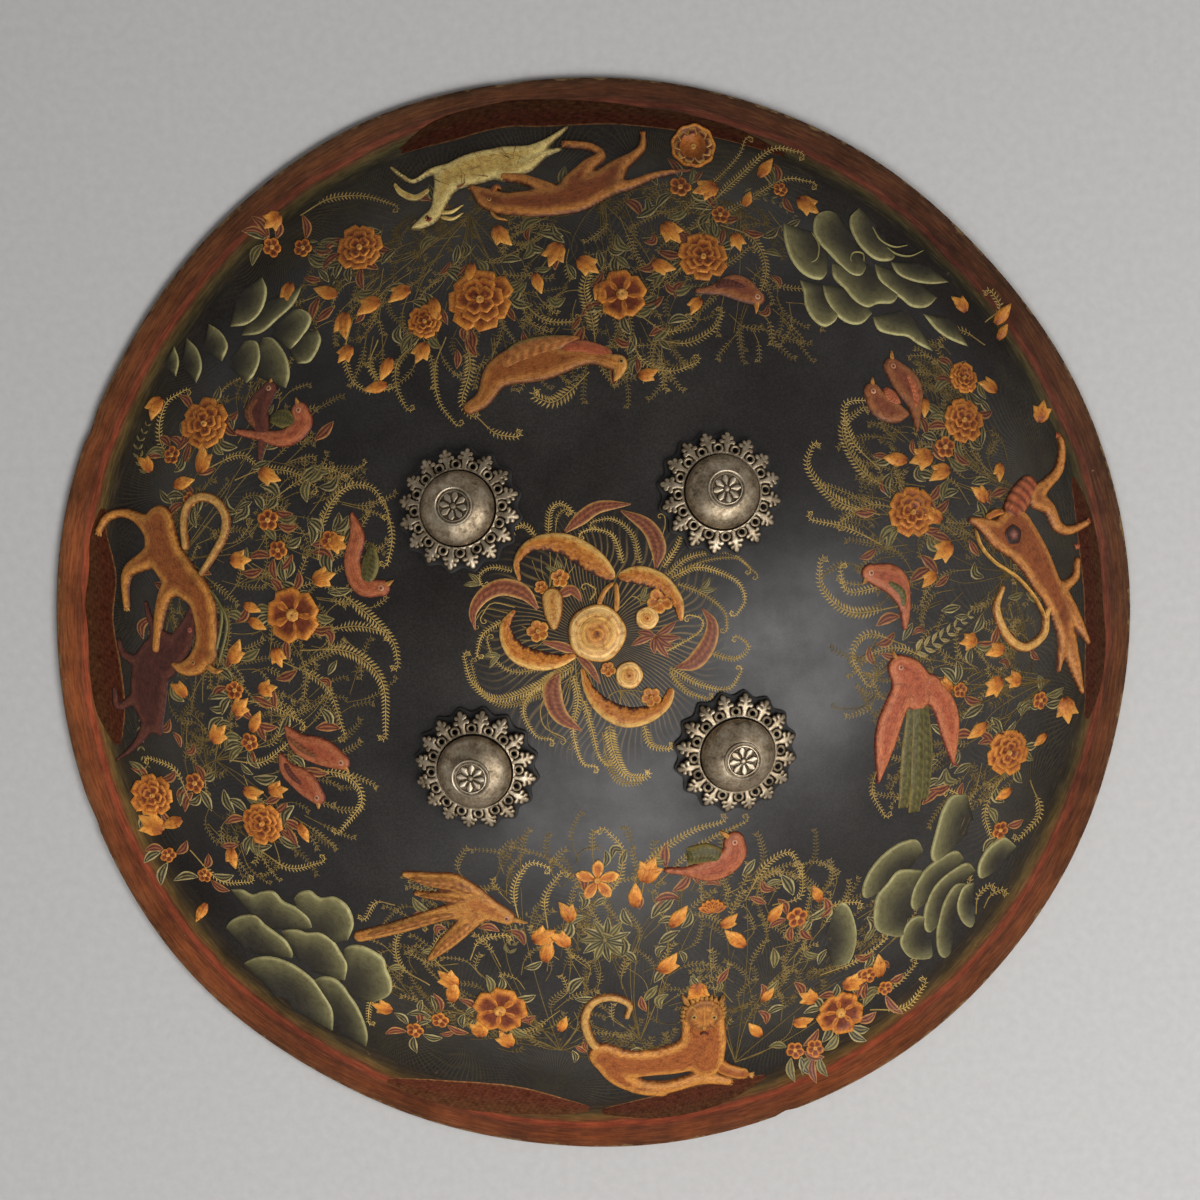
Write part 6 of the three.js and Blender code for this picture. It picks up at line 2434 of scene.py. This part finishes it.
# %% [markdown]
# The flange is sixteen copies of one unit: an eyelet, and a three-lobed leaf on a stem whose arms
# hug the eyelets on either side. A small tree sets the copies round the boss, and then the plate
# is bent down towards its points, as the silversmith would press it over the washer.

# %% Sizes of a boss, in millimetres
WASHER_RADIUS = 32.0
WASHER_VALLEY = 29.2
WASHER_THICKNESS = 1.6
SHANK_BORE = 2.6
FLANGE_COUNT = 16
FLANGE_BORE = 19.1
FLANGE_TIP = 31.0
FLANGE_TOP = 6.2
FLANGE_DROP = 2.6
FLANGE_BEND = 23.6
EYELET_RING = 22.0
DOME_RADIUS = 18.6
DOME_WALL = 1.2
DOME_SPRINGS = 6.4
DOME_RISE = 11.6
DOME_SEAT = 9.3
FLANGE_INSIDE = 19.15
MEDALLION_PETALS = 8
SHARP_ANGLE = math.radians(38)
GAP = 0.3

dome_top = DOME_SPRINGS + DOME_RISE * math.cos(math.asin(DOME_SEAT / DOME_RADIUS))


def sag(r):
    """How far the crown falls away under a boss, at a distance from its axis."""
    return r**2 / (2 * CROWN_RADIUS)


# %% The flange
# Copies stand on a tiny circle, in metres, and are then drawn back to its middle
COPY_CIRCLE = 0.001


def repeat_tree(material):
    """Copies a mesh round Z, as many times as it is told."""
    tree, start, output = shape_tree("repeat_round", Count=16.0)
    inputs = {"Vertices": start.outputs["Count"], "Radius": COPY_CIRCLE}
    circle = node(tree, "GeometryNodeMeshCircle", inputs)
    place = node(tree, "GeometryNodeInputPosition").outputs[0]
    inputs = {
        "Points": circle.outputs[0],
        "Instance": start.outputs["Geometry"],
        "Rotation": facing(tree, place, (0.0, 0.0, 1.0)),
    }
    moved = node(tree, "GeometryNodeInstanceOnPoints", inputs).outputs[0]
    inputs = {"Instances": moved, "Translation": (-COPY_CIRCLE, 0.0, 0.0), "Local Space": True}
    centred = node(tree, "GeometryNodeTranslateInstances", inputs)
    close_tree(tree, output, [centred.outputs[0]], material)
    return tree


def flange_unit():
    """One eyelet at angle 0 and the leaf beside it, half a step round, in the flat plate."""
    unit = Solid()
    half_step = TURN / FLANGE_COUNT / 2
    rows = [row + np.array([EYELET_RING, 0, -0.25]) for row in torus_rows(2.0, 0.85, 24, 8, 0.95)]
    bright = [0.1 + 0.5 * np.clip(-np.sin(np.linspace(0, TURN, 8, endpoint=False)), 0, 1)] * 24
    unit.loft(rows, True, bright)
    out, side = direction(half_step), direction(half_step + math.pi / 2)

    def at(r, off=0.0):
        return out * r + side * off

    leaf_plate = Creature(None, None, 1.0, blend=0.16, step=0.3, slope=1.0)
    leaf_plate.stroke([at(20.3), at(22.3), at(24.6), at(26.3)], [1.5, 1.45, 1.9, 1.5], 30)
    leaf_plate.stroke([at(26.6), at(28.2), at(29.5)], [1.2, 1.25, 1.5], 20)
    for sign in (-1, 1):
        leaf_plate.stroke(
            [at(24.3, 0.4 * sign), at(25.3, 1.8 * sign), at(25.4, 3.1 * sign)], [1.1, 1.05, 1.35], 20
        )
        leaf_plate.stroke(
            [at(26.7, 0.3 * sign), at(27.6, 1.5 * sign), at(27.9, 2.2 * sign)], [0.9, 0.95, 1.25], 20
        )
    spots, top = leaf_plate.cells()
    out_of_it = leaf_plate.snap(spots)
    swell = np.sqrt(1 - (1 - np.clip(leaf_plate.depth(spots) / 1.1, 0, 1)) ** 2)
    height = np.where(out_of_it, -0.6, -0.45 + 1.0 * swell)
    upper = np.column_stack([spots, height])
    lower = np.column_stack([spots, np.full(len(spots), -1.0)])
    crest = np.concatenate([0.05 + 0.66 * swell**1.5, np.full(len(spots), 0.05)])
    unit.add(np.vstack([upper, lower]), close_sheet(top.tolist(), len(spots)), crest)
    return unit


def bent(points):
    """Presses the flat plate over the washer and the crown."""
    r = np.hypot(points[:, 0], points[:, 1])
    fall = FLANGE_DROP * (np.maximum(r - FLANGE_BEND, 0) / (FLANGE_TIP - FLANGE_BEND)) ** 2
    lifted = points.copy()
    lifted[:, 2] += FLANGE_TOP - 0.45 - fall - sag(r)
    return lifted


def flange_points():
    flange = Solid()
    grown = grow(repeat_tree(silver), flange_unit().mesh("flange_unit"), Count=float(FLANGE_COUNT))
    points, faces, crest = unpack(grown)
    flange.add(bent(points), faces, crest)
    rim = [(20.7, -1.0), (20.75, -0.2), (20.3, 0.3), (19.6, 0.5)]
    rim += [(FLANGE_INSIDE, 0.25), (FLANGE_INSIDE, -1.0)]
    rows = [bent(loop_at(r, z, 96)) for r, z in rim]
    flange.loft(rows, True, np.repeat([0.05, 0.25, 0.7, 0.9, 0.5, 0.1], 96))
    foot = WASHER_THICKNESS + 2 * GAP - sag(FLANGE_BORE)
    top = FLANGE_TOP - 1.2
    wall = [(FLANGE_INSIDE, foot), (20.2, foot), (20.2, top), (FLANGE_INSIDE, top)]
    flange.loft([loop_at(r, z, 64) for r, z in wall], True, 0.15)
    return flange


# %% Washer, dome and medallion
def washer_points():
    washer = Solid()
    segments = 192
    angle = np.linspace(0, TURN, segments, endpoint=False)
    wave = (0.5 + 0.5 * np.cos(FLANGE_COUNT * angle)) ** 0.8
    edge = WASHER_RADIUS + (WASHER_VALLEY - WASHER_RADIUS) * wave
    rows = []
    for share, z in ((0, 0.3), (0.97, 0.3), (1.0, 0.7), (1.0, 1.5), (0.98, 1.8), (0.9, 1.9), (0, 1.9)):
        r = SHANK_BORE + (edge - SHANK_BORE) * share
        rows.append(loop_at(r, z - sag(r), segments))
    washer.loft(rows, True, 0.5)
    return washer


def dome_points(rng):
    dome = Solid()
    segments = 72
    seat = math.asin(DOME_SEAT / DOME_RADIUS)
    foot = WASHER_THICKNESS + 2 * GAP - sag(DOME_RADIUS)
    outer = [(DOME_RADIUS - 0.2, foot), (DOME_RADIUS, foot + 0.3)]
    for a in np.linspace(math.pi / 2, seat, 18):
        outer.append((DOME_RADIUS * math.sin(a), DOME_SPRINGS + DOME_RISE * math.cos(a)))
    outer += [(r, dome_top) for r in (8.6, 6.0, 2.6)]
    inner = [(2.6, dome_top - DOME_WALL)]
    hollow, rise = DOME_RADIUS - DOME_WALL, DOME_RISE - DOME_WALL
    for a in np.linspace(seat, math.pi / 2, 8):
        inner.append((hollow * math.sin(a), DOME_SPRINGS + rise * math.cos(a)))
    inner.append((hollow, foot))
    rows = [loop_at(r, z, segments) for r, z in outer + inner]
    crest = [0.64 if k < len(outer) else 0.1 for k in range(len(rows))]
    crest[0] = crest[1] = 0.1
    crest[2] = 0.3
    dome.loft(rows, True, np.repeat(crest, segments))
    points = dome.points[0]
    waves = rng.uniform(0, TURN, 6)
    angle = np.arctan2(points[:, 1], points[:, 0])
    dent = 0.10 * np.sin(3 * angle + waves[0]) + 0.07 * np.sin(5 * angle + waves[1] + 0.3 * points[:, 2])
    on_wall = (points[:, 2] > DOME_SPRINGS) & (points[:, 2] < dome_top - 0.5)
    points[:, 2] -= np.where(on_wall, np.abs(dent), 0)
    return dome


def lathe_on(solid, profile, segments, crests):
    """Adds a turned shape given from its underside's middle round to its top's middle."""
    points, faces = turned(profile, segments)
    crest = []
    for (r, _), value in zip(profile, crests):
        crest += [value] * (1 if abs(r) < 1e-6 else segments)
    solid.add(points, faces, np.array(crest))


def medallion_points(start):
    made = Solid()
    floor = dome_top + GAP
    face = floor + 0.55
    profile = [
        (0, floor), (9.2, floor), (9.6, floor + 0.25), (9.55, face + 0.75), (9.2, face + 1.1),
        (8.8, face + 0.95), (8.4, face + 0.4), (8.05, face + 0.4), (7.75, face + 0.75),
        (7.4, face + 0.8), (7.05, face + 0.35), (6.9, face), (0, face),
    ]
    crests = [0.1, 0.2, 0.45, 0.8, 0.92, 0.8, 0.42, 0.42, 0.78, 0.85, 0.5, 0.36, 0.36]
    lathe_on(made, profile, 64, crests)
    for k in range(MEDALLION_PETALS):
        out = direction(start + TURN * k / MEDALLION_PETALS)
        line = [out * 2.0, out * 4.2, out * 6.0, out * 6.9]
        rows, crest = bar_rows(line, [0.45, 1.2, 1.95, 0.9], face - 0.2, face + 0.85)
        made.loft(rows, False, np.asarray(crest) * 0.9)
    bud_profile = [(0, face - 0.2), (1.7, face - 0.2), (1.75, face + 0.5), (1.2, face + 1.1)]
    bud_profile += [(0.6, face + 1.3), (0, face + 1.35)]
    lathe_on(made, bud_profile, 24, [0.1, 0.1, 0.3, 0.5, 0.65, 0.65])
    return made


# %% Set the four bosses on the crown
CORNERS = {
    "upper_right": (1, 1),
    "upper_left": (-1, 1),
    "lower_left": (-1, -1),
    "lower_right": (1, -1),
}


class Corner:
    """Where one boss stands: its foot on the hide and its axis."""

    def __init__(self, name):
        self.name = name
        self.x, self.y = CORNERS[name]
        foot = Vector((self.x * BOSS_SQUARE / 2, self.y * BOSS_SQUARE / 2, 0))
        foot.z = crown_centre_z + math.sqrt(CROWN_RADIUS**2 - foot.x**2 - foot.y**2)
        self.foot = foot
        self.normal = (foot - Vector((0, 0, crown_centre_z))).normalized()
        self.turn = np.array(Vector((0, 0, 1)).rotation_difference(self.normal).to_matrix())

    def place(self, points):
        return np.asarray(points) @ self.turn.T + np.array(self.foot)


def finish_solid(name, solid, material, rides, slot, replaces, place=None):
    if place:
        solid.points = [place(points) for points in solid.points]
    made = dress(name, solid.mesh(name), [material], rides, slot, replaces)
    made.data.set_sharp_from_angle(angle=SHARP_ANGLE)
    return made


def put_bosses():
    flange = flange_points()
    for number, name in enumerate(CORNERS):
        corner = Corner(name)
        rng = np.random.default_rng(80 + number)
        ready = Solid()
        ready.add(np.vstack(flange.points), flange.faces, np.concatenate(flange.crests))
        shapes = {
            "washer": (washer_points(), washer_leather, "black_leather"),
            "flange": (ready, silver, "silver"),
            "dome": (dome_points(rng), silver, "silver"),
            "medallion": (medallion_points(rng.uniform(0, TURN)), silver, "silver"),
        }
        for kind, (solid, material, slot) in shapes.items():
            stands_for = [f"boss_{kind}_{name}"]
            finish_solid(f"fine_{kind}_{name}", solid, material, "shield", slot, stands_for, corner.place)


put_bosses()

# %% [markdown]
# ## Behind the hide
# The shanks come through the hide and end in eyes. Rings hang in the eyes, and the two grips hang
# in the rings. A velvet cushion for the knuckles lies between them.

# %% Sizes of the fittings, in millimetres
FACET_SAG = (CROWN_RADIUS - HIDE) * (1 - math.cos(wall_slope / 8 / 2))
ROSETTE_RADIUS = 12.5
ROSETTE_THICKNESS = 1.4
back_face = -HIDE - FACET_SAG - sag(ROSETTE_RADIUS) - GAP
collar_from = back_face - ROSETTE_THICKNESS - GAP
collar_to = collar_from - 2.0
EYE_RADIUS = 6.0
EYE_WIRE = 1.8
EYE_NECK = 1.0
RING_RADIUS = 10.0
RING_WIRE = 2.0
LOOP_RADIUS = 5.1
LOOP_WIRE = 1.9
BOW_DEPTH = 28.0
eye_drop = EYE_RADIUS + EYE_NECK - collar_to

first = Corner("upper_right")
first_eye = first.foot - first.normal * eye_drop
eye_x, eye_y = first_eye.x, first_eye.y
ring_top = first_eye.z - (EYE_RADIUS - EYE_WIRE - RING_WIRE - GAP)
ring_foot = ring_top - 2 * RING_RADIUS
loop_centre = ring_foot - (LOOP_RADIUS - LOOP_WIRE - RING_WIRE - GAP)
bow_end = loop_centre - LOOP_RADIUS
bow_radius = (eye_y**2 + BOW_DEPTH**2) / (2 * BOW_DEPTH)
bow_half = bow_radius * math.asin(eye_y / bow_radius)


# %% Rosettes, eye bolts and rings
def rosette_points():
    made = Solid()
    angle = np.linspace(0, TURN, 96, endpoint=False)
    lobes = np.abs(np.sin(4 * angle)) ** 0.6
    edge = 10.2 + (ROSETTE_RADIUS - 10.2) * lobes
    low = back_face - ROSETTE_THICKNESS
    rows = []
    back = [(0, back_face), (0.97, back_face), (1, back_face - 0.3)]
    front = [(1, 0.5), (0.93, 0.1), (0.75, 0.0), (0.62, 0.25), (0.5, 0.05), (0.3, 0.3), (0, 0.3)]
    for share, z in back + [(share, low + dip) for share, dip in front]:
        rows.append(loop_at(SHANK_BORE + 0.2 + (edge - SHANK_BORE - 0.2) * share, z, 96))
    made.loft([row[::-1] for row in rows], True, 0.6)
    return made


def eye_bolt_points(corner):
    made = Solid()
    shank = [(2.2, dome_top), (2.2, collar_from), (2.2, collar_to), (2.0, collar_to - EYE_NECK - 0.6)]
    rows = [corner.place(loop_at(r, z, 24)[::-1]) for r, z in shank]
    made.loft(rows, False, 0.5)
    collar = [(2.1, collar_from), (4.2, collar_from), (4.6, collar_from - 0.5), (4.6, collar_to + 0.6)]
    collar += [(4.0, collar_to), (2.1, collar_to)]
    made.loft([corner.place(loop_at(r, z, 32)[::-1]) for r, z in collar], True, 0.6)
    eye_at = np.array(corner.foot - corner.normal * eye_drop)
    rows = torus_rows(EYE_RADIUS, EYE_WIRE, 40, 14)
    made.loft([along_y(row) + eye_at for row in rows], True, 0.7)
    return made


def along_y(row):
    """Turns a loop so that a hole along Z runs along Y."""
    return row[:, [0, 2, 1]] * [1, -1, 1]


def ring_points(middle):
    """A ring whose hole runs along X."""
    made = Solid()
    rows = torus_rows(RING_RADIUS, RING_WIRE, 56, 16)
    made.loft([row[:, [2, 1, 0]] * [-1, 1, 1] + middle for row in rows], True, 0.6)
    return made


def put_fittings():
    for name in CORNERS:
        corner = Corner(name)
        rosette, stands_for = rosette_points(), [f"back_rosette_{name}"]
        finish_solid(f"fine_rosette_{name}", rosette, brass, "shield", "brass", stands_for, corner.place)
        bolt = eye_bolt_points(corner)
        finish_solid(f"fine_eye_bolt_{name}", bolt, iron, "shield", "iron", [f"eye_bolt_{name}"])
        eye_at = corner.foot - corner.normal * eye_drop
        ring = ring_points(np.array([eye_at.x, eye_at.y, ring_top - RING_RADIUS]))
        finish_solid(f"fine_ring_{name}", ring, iron, f"{name}_ring", "iron", [f"ring_{name}"])


put_fittings()

# %% [markdown]
# A grip is a padded spindle covered in red leather and bent into a bow. It is shaped straight and
# then bent, and so are the stitches of its seam and the gilt thread that is wound round its ends.

# %% Grips and their bindings
GRIP_PROFILE = [
    (0.0, 2.6), (0.8, 3.2), (4.0, 3.9), (8.0, 4.45), (16.0, 4.5), (23.0, 4.5), (26.0, 4.75), (34.0, 5.5),
    (46.0, 6.15), (60.0, 6.45), (bow_half, 6.5),
]
BINDING_FROM = 10.0
BINDING_LENGTH = 13.0
THREAD = 0.62
THREAD_SIDES = 7
# Half the length, width and height of a stitch, in millimetres
STITCH_SHAPE = (1.15, 0.34, 0.34)
# The seam's heading round the grip, in radians, and how far the stitches lie to either side of it
SEAM_HEADING = 2.2
SEAM_OFFSETS = (-0.24, 0.24)


def bow(points, x):
    """Bends points of a spindle along Z into a bow that hangs at x."""
    points = np.asarray(points, float)
    angle = points[:, 2] / bow_radius
    reach = bow_radius - points[:, 0]
    centre_z = bow_end - BOW_DEPTH + bow_radius
    return np.column_stack([points[:, 1] + x, reach * np.sin(angle), centre_z - reach * np.cos(angle)])


def grip_radius(z):
    places, sizes = zip(*GRIP_PROFILE)
    return np.interp(bow_half - np.abs(z), places, sizes)


def grip_points(x):
    made = Solid()
    stations = bow_half * np.sin(np.linspace(-math.pi / 2, math.pi / 2, 110))
    angle = np.linspace(0, TURN, 36, endpoint=False)
    rows = []
    for z in stations:
        between = abs(z) < bow_half - 24
        off = np.angle(np.exp(1j * (angle - SEAM_HEADING)))
        ridge = 0.45 * np.exp(-((off / 0.16) ** 2)) * between
        crease = 0.10 * np.sin(angle * 2 + z * 0.35) * np.sin(z * 0.9)
        r = grip_radius(z) * (1 + 0.008 * np.sin(3 * angle + 0.2 * z)) + ridge + crease * between
        rows.append(bow(np.column_stack([r * np.cos(angle), r * np.sin(angle), np.full(36, z)]), x))
    made.loft(rows, False, 0.5)
    return made


def stitch_tree(material):
    """Small stitches laid end to end along a line."""
    tree, start, output = shape_tree("stitches", Pitch=3.0 * MM)
    curve = as_curve(tree, start)
    inputs = {"Curve": curve, "Length": start.outputs["Pitch"]}
    steps = node(tree, "GeometryNodeCurveToPoints", inputs, mode="LENGTH")
    ball = node(tree, "GeometryNodeMeshUVSphere", {"Segments": 8, "Rings": 5, "Radius": 1.0 * MM})
    inputs = {"Geometry": ball.outputs["Mesh"], "Scale": STITCH_SHAPE}
    shape = node(tree, "GeometryNodeTransform", inputs)
    turned_along = facing(tree, steps.outputs["Tangent"], named(tree, "up", "FLOAT_VECTOR"))
    inputs = {"Points": steps.outputs["Points"], "Instance": shape.outputs[0], "Rotation": turned_along}
    placed = node(tree, "GeometryNodeInstanceOnPoints", inputs).outputs[0]
    close_tree(tree, output, [placed], material)
    return tree


def strand_tree(material):
    """A tube along each line."""
    tree, start, output = shape_tree("strand")
    curve = as_curve(tree, start)
    close_tree(tree, output, [stems(tree, curve, THREAD_SIDES)], material)
    return tree


def line_mesh(name, lines, thick, ups=None, closed=False):
    """Lines of points in millimetres as a mesh of edges, for a shape tree to grow on."""
    mesh = bpy.data.meshes.new(name)
    edges, count = [], 0
    for line in lines:
        n = len(line)
        edges += [(count + i, count + i + 1) for i in range(n - 1)]
        if closed:
            edges.append((count + n - 1, count))
        count += n
    points = np.vstack(lines)
    mesh.from_pydata((points * MM).tolist(), edges, [])
    put(mesh, "thick", "FLOAT", np.full(count, thick * MM))
    if ups is not None:
        put(mesh, "up", "FLOAT_VECTOR", np.vstack(ups))
    return mesh


def leather_finish():
    made = Finish("red_grip_leather", Roughness=0.5, Coat_Weight=0.15, Coat_Roughness=0.35)
    shades = [(0.3, (0.055, 0.011, 0.008)), (0.5, (0.125, 0.026, 0.016)), (0.72, (0.21, 0.060, 0.034))]
    grain = made.cells(1300)
    colour = made.ramp(made.noise(60, 7, 0.65), shades)
    made.set("Base Color", made.tint(colour, made.span(grain, 0.0, 0.6, 0.7, 1.15)))
    made.set("Roughness", made.span(made.noise(80, 4), 0.3, 0.7, 0.38, 0.62))
    made.set("Normal", made.bump(grain, 0.12, 0.6))
    return made.material


def thread_finish():
    made = Finish("gilt_thread", Metallic=0.35, Roughness=0.45)
    shades = [(0.3, (0.13, 0.07, 0.018)), (0.55, (0.36, 0.21, 0.06)), (0.75, (0.58, 0.40, 0.15))]
    made.set("Base Color", made.ramp(made.noise(300, 4, 0.6), shades))
    made.set("Normal", made.bump(made.noise(1800, 2), 0.08, 0.5))
    return made.material


grip_leather = leather_finish()
gilt_thread = thread_finish()
stitcher = stitch_tree(gilt_thread)
winder = strand_tree(gilt_thread)


def seam_line(offset):
    """A row of stitches beside the grip's ridge, in the straight spindle."""
    stations = np.linspace(-(bow_half - 27), bow_half - 27, 60)
    angle = SEAM_HEADING + offset
    r = grip_radius(stations) + 0.12
    return np.column_stack([r * math.cos(angle), r * math.sin(angle), stations])


def winding(start, end):
    """Thread wound round the spindle between two stations, turn against turn."""
    turns = abs(end - start) / (2 * THREAD)
    steps = int(turns * 20)
    angle = np.linspace(0, TURN * turns, steps)
    z = np.linspace(start, end, steps)
    r = grip_radius(z) + THREAD - 0.06
    return np.column_stack([r * np.cos(angle), r * np.sin(angle), z])


def put_handles():
    for side, x in (("right", eye_x), ("left", -eye_x)):
        rides = f"{side}_handle"
        finish_solid(f"grip_{side}", grip_points(x), grip_leather, rides, "red_leather", [f"handle_{side}"])
        loops = Solid()
        for sign in (-1, 1):
            middle = np.array([x, sign * eye_y, loop_centre])
            rows = torus_rows(LOOP_RADIUS, LOOP_WIRE, 40, 14)
            loops.loft([along_y(row) + middle for row in rows], True, 0.6)
        finish_solid(f"grip_loops_{side}", loops, iron, rides, "iron", [f"handle_{side}"])
        seams = [seam_line(offset) for offset in SEAM_OFFSETS]
        lines = [bow(seam, x) for seam in seams]
        ups = [bow(seam * [1.2, 1.2, 1.0], x) - line for seam, line in zip(seams, lines)]
        stitches = grow(stitcher, line_mesh("seam", lines, 0.3, ups), Pitch=3.2 * MM)
        dress(f"grip_stitches_{side}", stitches, [gilt_thread], rides, "gold_cord")
        for place, sign in (("upper", 1), ("lower", -1)):
            far = sign * (bow_half - BINDING_FROM - BINDING_LENGTH + THREAD)
            near = sign * (bow_half - BINDING_FROM - THREAD)
            line = bow(winding(near, far), x)
            wound = grow(winder, line_mesh("winding", [line], THREAD))
            stands_for = [f"binding_{place}_{side}"]
            dress(f"wound_{place}_{side}", wound, [gilt_thread], rides, "gold_cord", stands_for)


put_handles()

# %% [markdown]
# The cushion is velvet, crowned in the middle, with sides that draw in between its corners. A
# twisted gilt cord hides its seam.

# %% Cushion, backing and cord
PAD_HALF = 50.0
PAD_THICKNESS = 17.0
PAD_SEAM = 4.0
PAD_PULL = 0.05
PAD_ROUND = 0.3
BACKING_HALF = 46.0
BACKING_THICKNESS = 1.2
PIPING_RADIUS = 1.9
PIPING_STAND = 2.6
PIPING_STRANDS = 3
PIPING_STEPS = 1200
PIPING_TWISTS = 58
BACKING_CELLS = 24
PAD_CELLS = 72


def square_point(u, v, half):
    x = half * u * np.sqrt(1 - PAD_ROUND * v**2 / 2) * (1 - PAD_PULL * (1 - v**2))
    y = half * v * np.sqrt(1 - PAD_ROUND * u**2 / 2) * (1 - PAD_PULL * (1 - u**2))
    return x, y


def backing_face(r):
    return crown_centre_z + np.sqrt((CROWN_RADIUS - HIDE) ** 2 - r**2) - FACET_SAG - GAP


def pad_face(r):
    return backing_face(r) - BACKING_THICKNESS - GAP


def grid_points(half, cells, top, bottom):
    """A closed sheet between two heights given by functions of (u, v, distance from the axis)."""
    made = Solid()
    line = np.sin(np.linspace(-math.pi / 2, math.pi / 2, cells + 1))
    u, v = np.meshgrid(line, line, indexing="ij")
    x, y = square_point(u, v, half)
    r = np.hypot(x, y)
    n = cells + 1
    upper = np.stack([x, y, top(u, v, r)], -1).reshape(-1, 3)
    lower = np.stack([x, y, bottom(u, v, r)], -1).reshape(-1, 3)
    faces = []
    for i in range(cells):
        for j in range(cells):
            a = i * n + j
            faces.append((a, a + n, a + n + 1, a + 1))
            faces.append(tuple(n * n + k for k in (a, a + 1, a + n + 1, a + n)))
    around = [i * n for i in range(cells)] + [cells * n + j for j in range(cells)]
    around += [(cells - i) * n + cells for i in range(cells)] + [cells - j for j in range(cells)]
    for a, b in zip(around, around[1:] + around[:1]):
        faces.append((a + n * n, b + n * n, b, a))
    made.add(np.vstack([upper, lower]), faces)
    return made


def fullness(u, v):
    return (np.maximum(1 - u**4, 0) * np.maximum(1 - v**4, 0)) ** 0.4


def pleats(u, v):
    """Small gathers that run in from the seam."""
    edge = np.maximum(np.abs(u), np.abs(v))
    angle = np.arctan2(v, u)
    depth = np.exp(-((1 - edge) / 0.16)) * np.clip((1 - edge) / 0.03, 0, 1)
    gathers = 0.55 * depth * np.sin(38 * angle + 1.5 * np.sin(5 * angle))
    return gathers + 0.35 * np.sin(3.1 * u + 1) * np.sin(2.7 * v)


def velvet_finish():
    sheen = {"Sheen_Weight": 0.7, "Sheen_Roughness": 0.4, "Sheen_Tint": (0.85, 0.42, 0.40, 1)}
    made = Finish("red_velvet", Roughness=0.9, **sheen)
    shades = [(0.32, (0.040, 0.005, 0.006)), (0.52, (0.105, 0.014, 0.014)), (0.7, (0.165, 0.034, 0.030))]
    made.set("Base Color", made.ramp(made.noise(90, 6, 0.6), shades))
    made.set("Normal", made.bump(made.noise(2200, 3, 0.7), 0.3, 0.7))
    return made.material


def put_cushion():
    def face(u, v, r):
        return backing_face(r)

    def back(u, v, r):
        return backing_face(r) - BACKING_THICKNESS

    backing = grid_points(BACKING_HALF, BACKING_CELLS, face, back)
    finish_solid("leather_backing", backing, grip_leather, "shield", "red_leather", ["cushion_backing"])

    def low(u, v, r):
        full = fullness(u, v)
        return pad_face(r) - PAD_SEAM - (PAD_THICKNESS - PAD_SEAM) * full + pleats(u, v)

    def high(u, v, r):
        return pad_face(r) - PAD_SEAM * (1 - fullness(u, v))

    pad = grid_points(PAD_HALF, PAD_CELLS, high, low)
    made = finish_solid("velvet_cushion", pad, velvet_finish(), "shield", "velvet", ["cushion"])


def piping_strands():
    """Three strands that twist round each other along the edge of the pad."""
    angle = np.linspace(0, TURN, PIPING_STEPS, endpoint=False)
    reach = np.maximum(np.abs(np.cos(angle)), np.abs(np.sin(angle)))
    x, y = square_point(np.cos(angle) / reach, np.sin(angle) / reach, PAD_HALF + PIPING_STAND)
    middle = np.column_stack([x, y, pad_face(np.hypot(x, y)) - PAD_SEAM])
    ahead = np.roll(middle, -1, 0) - np.roll(middle, 1, 0)
    ahead /= np.linalg.norm(ahead, axis=1, keepdims=True)
    out = np.cross(ahead, [0, 0, 1])
    out /= np.linalg.norm(out, axis=1, keepdims=True)
    up = np.cross(out, ahead)
    length = walked(middle)
    whole = length[-1] + np.linalg.norm(middle[0] - middle[-1])
    lines = []
    for k in range(PIPING_STRANDS):
        phase = (TURN * PIPING_TWISTS * length / whole + TURN * k / PIPING_STRANDS)[:, None]
        lines.append(middle + (out * np.cos(phase) + up * np.sin(phase)) * PIPING_RADIUS * 0.48)
    return lines


def put_piping():
    cord = grow(winder, line_mesh("cord", piping_strands(), PIPING_RADIUS * 0.52, closed=True))
    dress("twisted_piping", cord, [gilt_thread], "shield", "gold_cord", ["cushion_piping"])


put_cushion()
put_piping()

# %% Imported parts that have no finish
for name, cad_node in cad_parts.items():
    if not cad_node.hide_render and not cad_node.data.materials:
        print("no finish on", name)
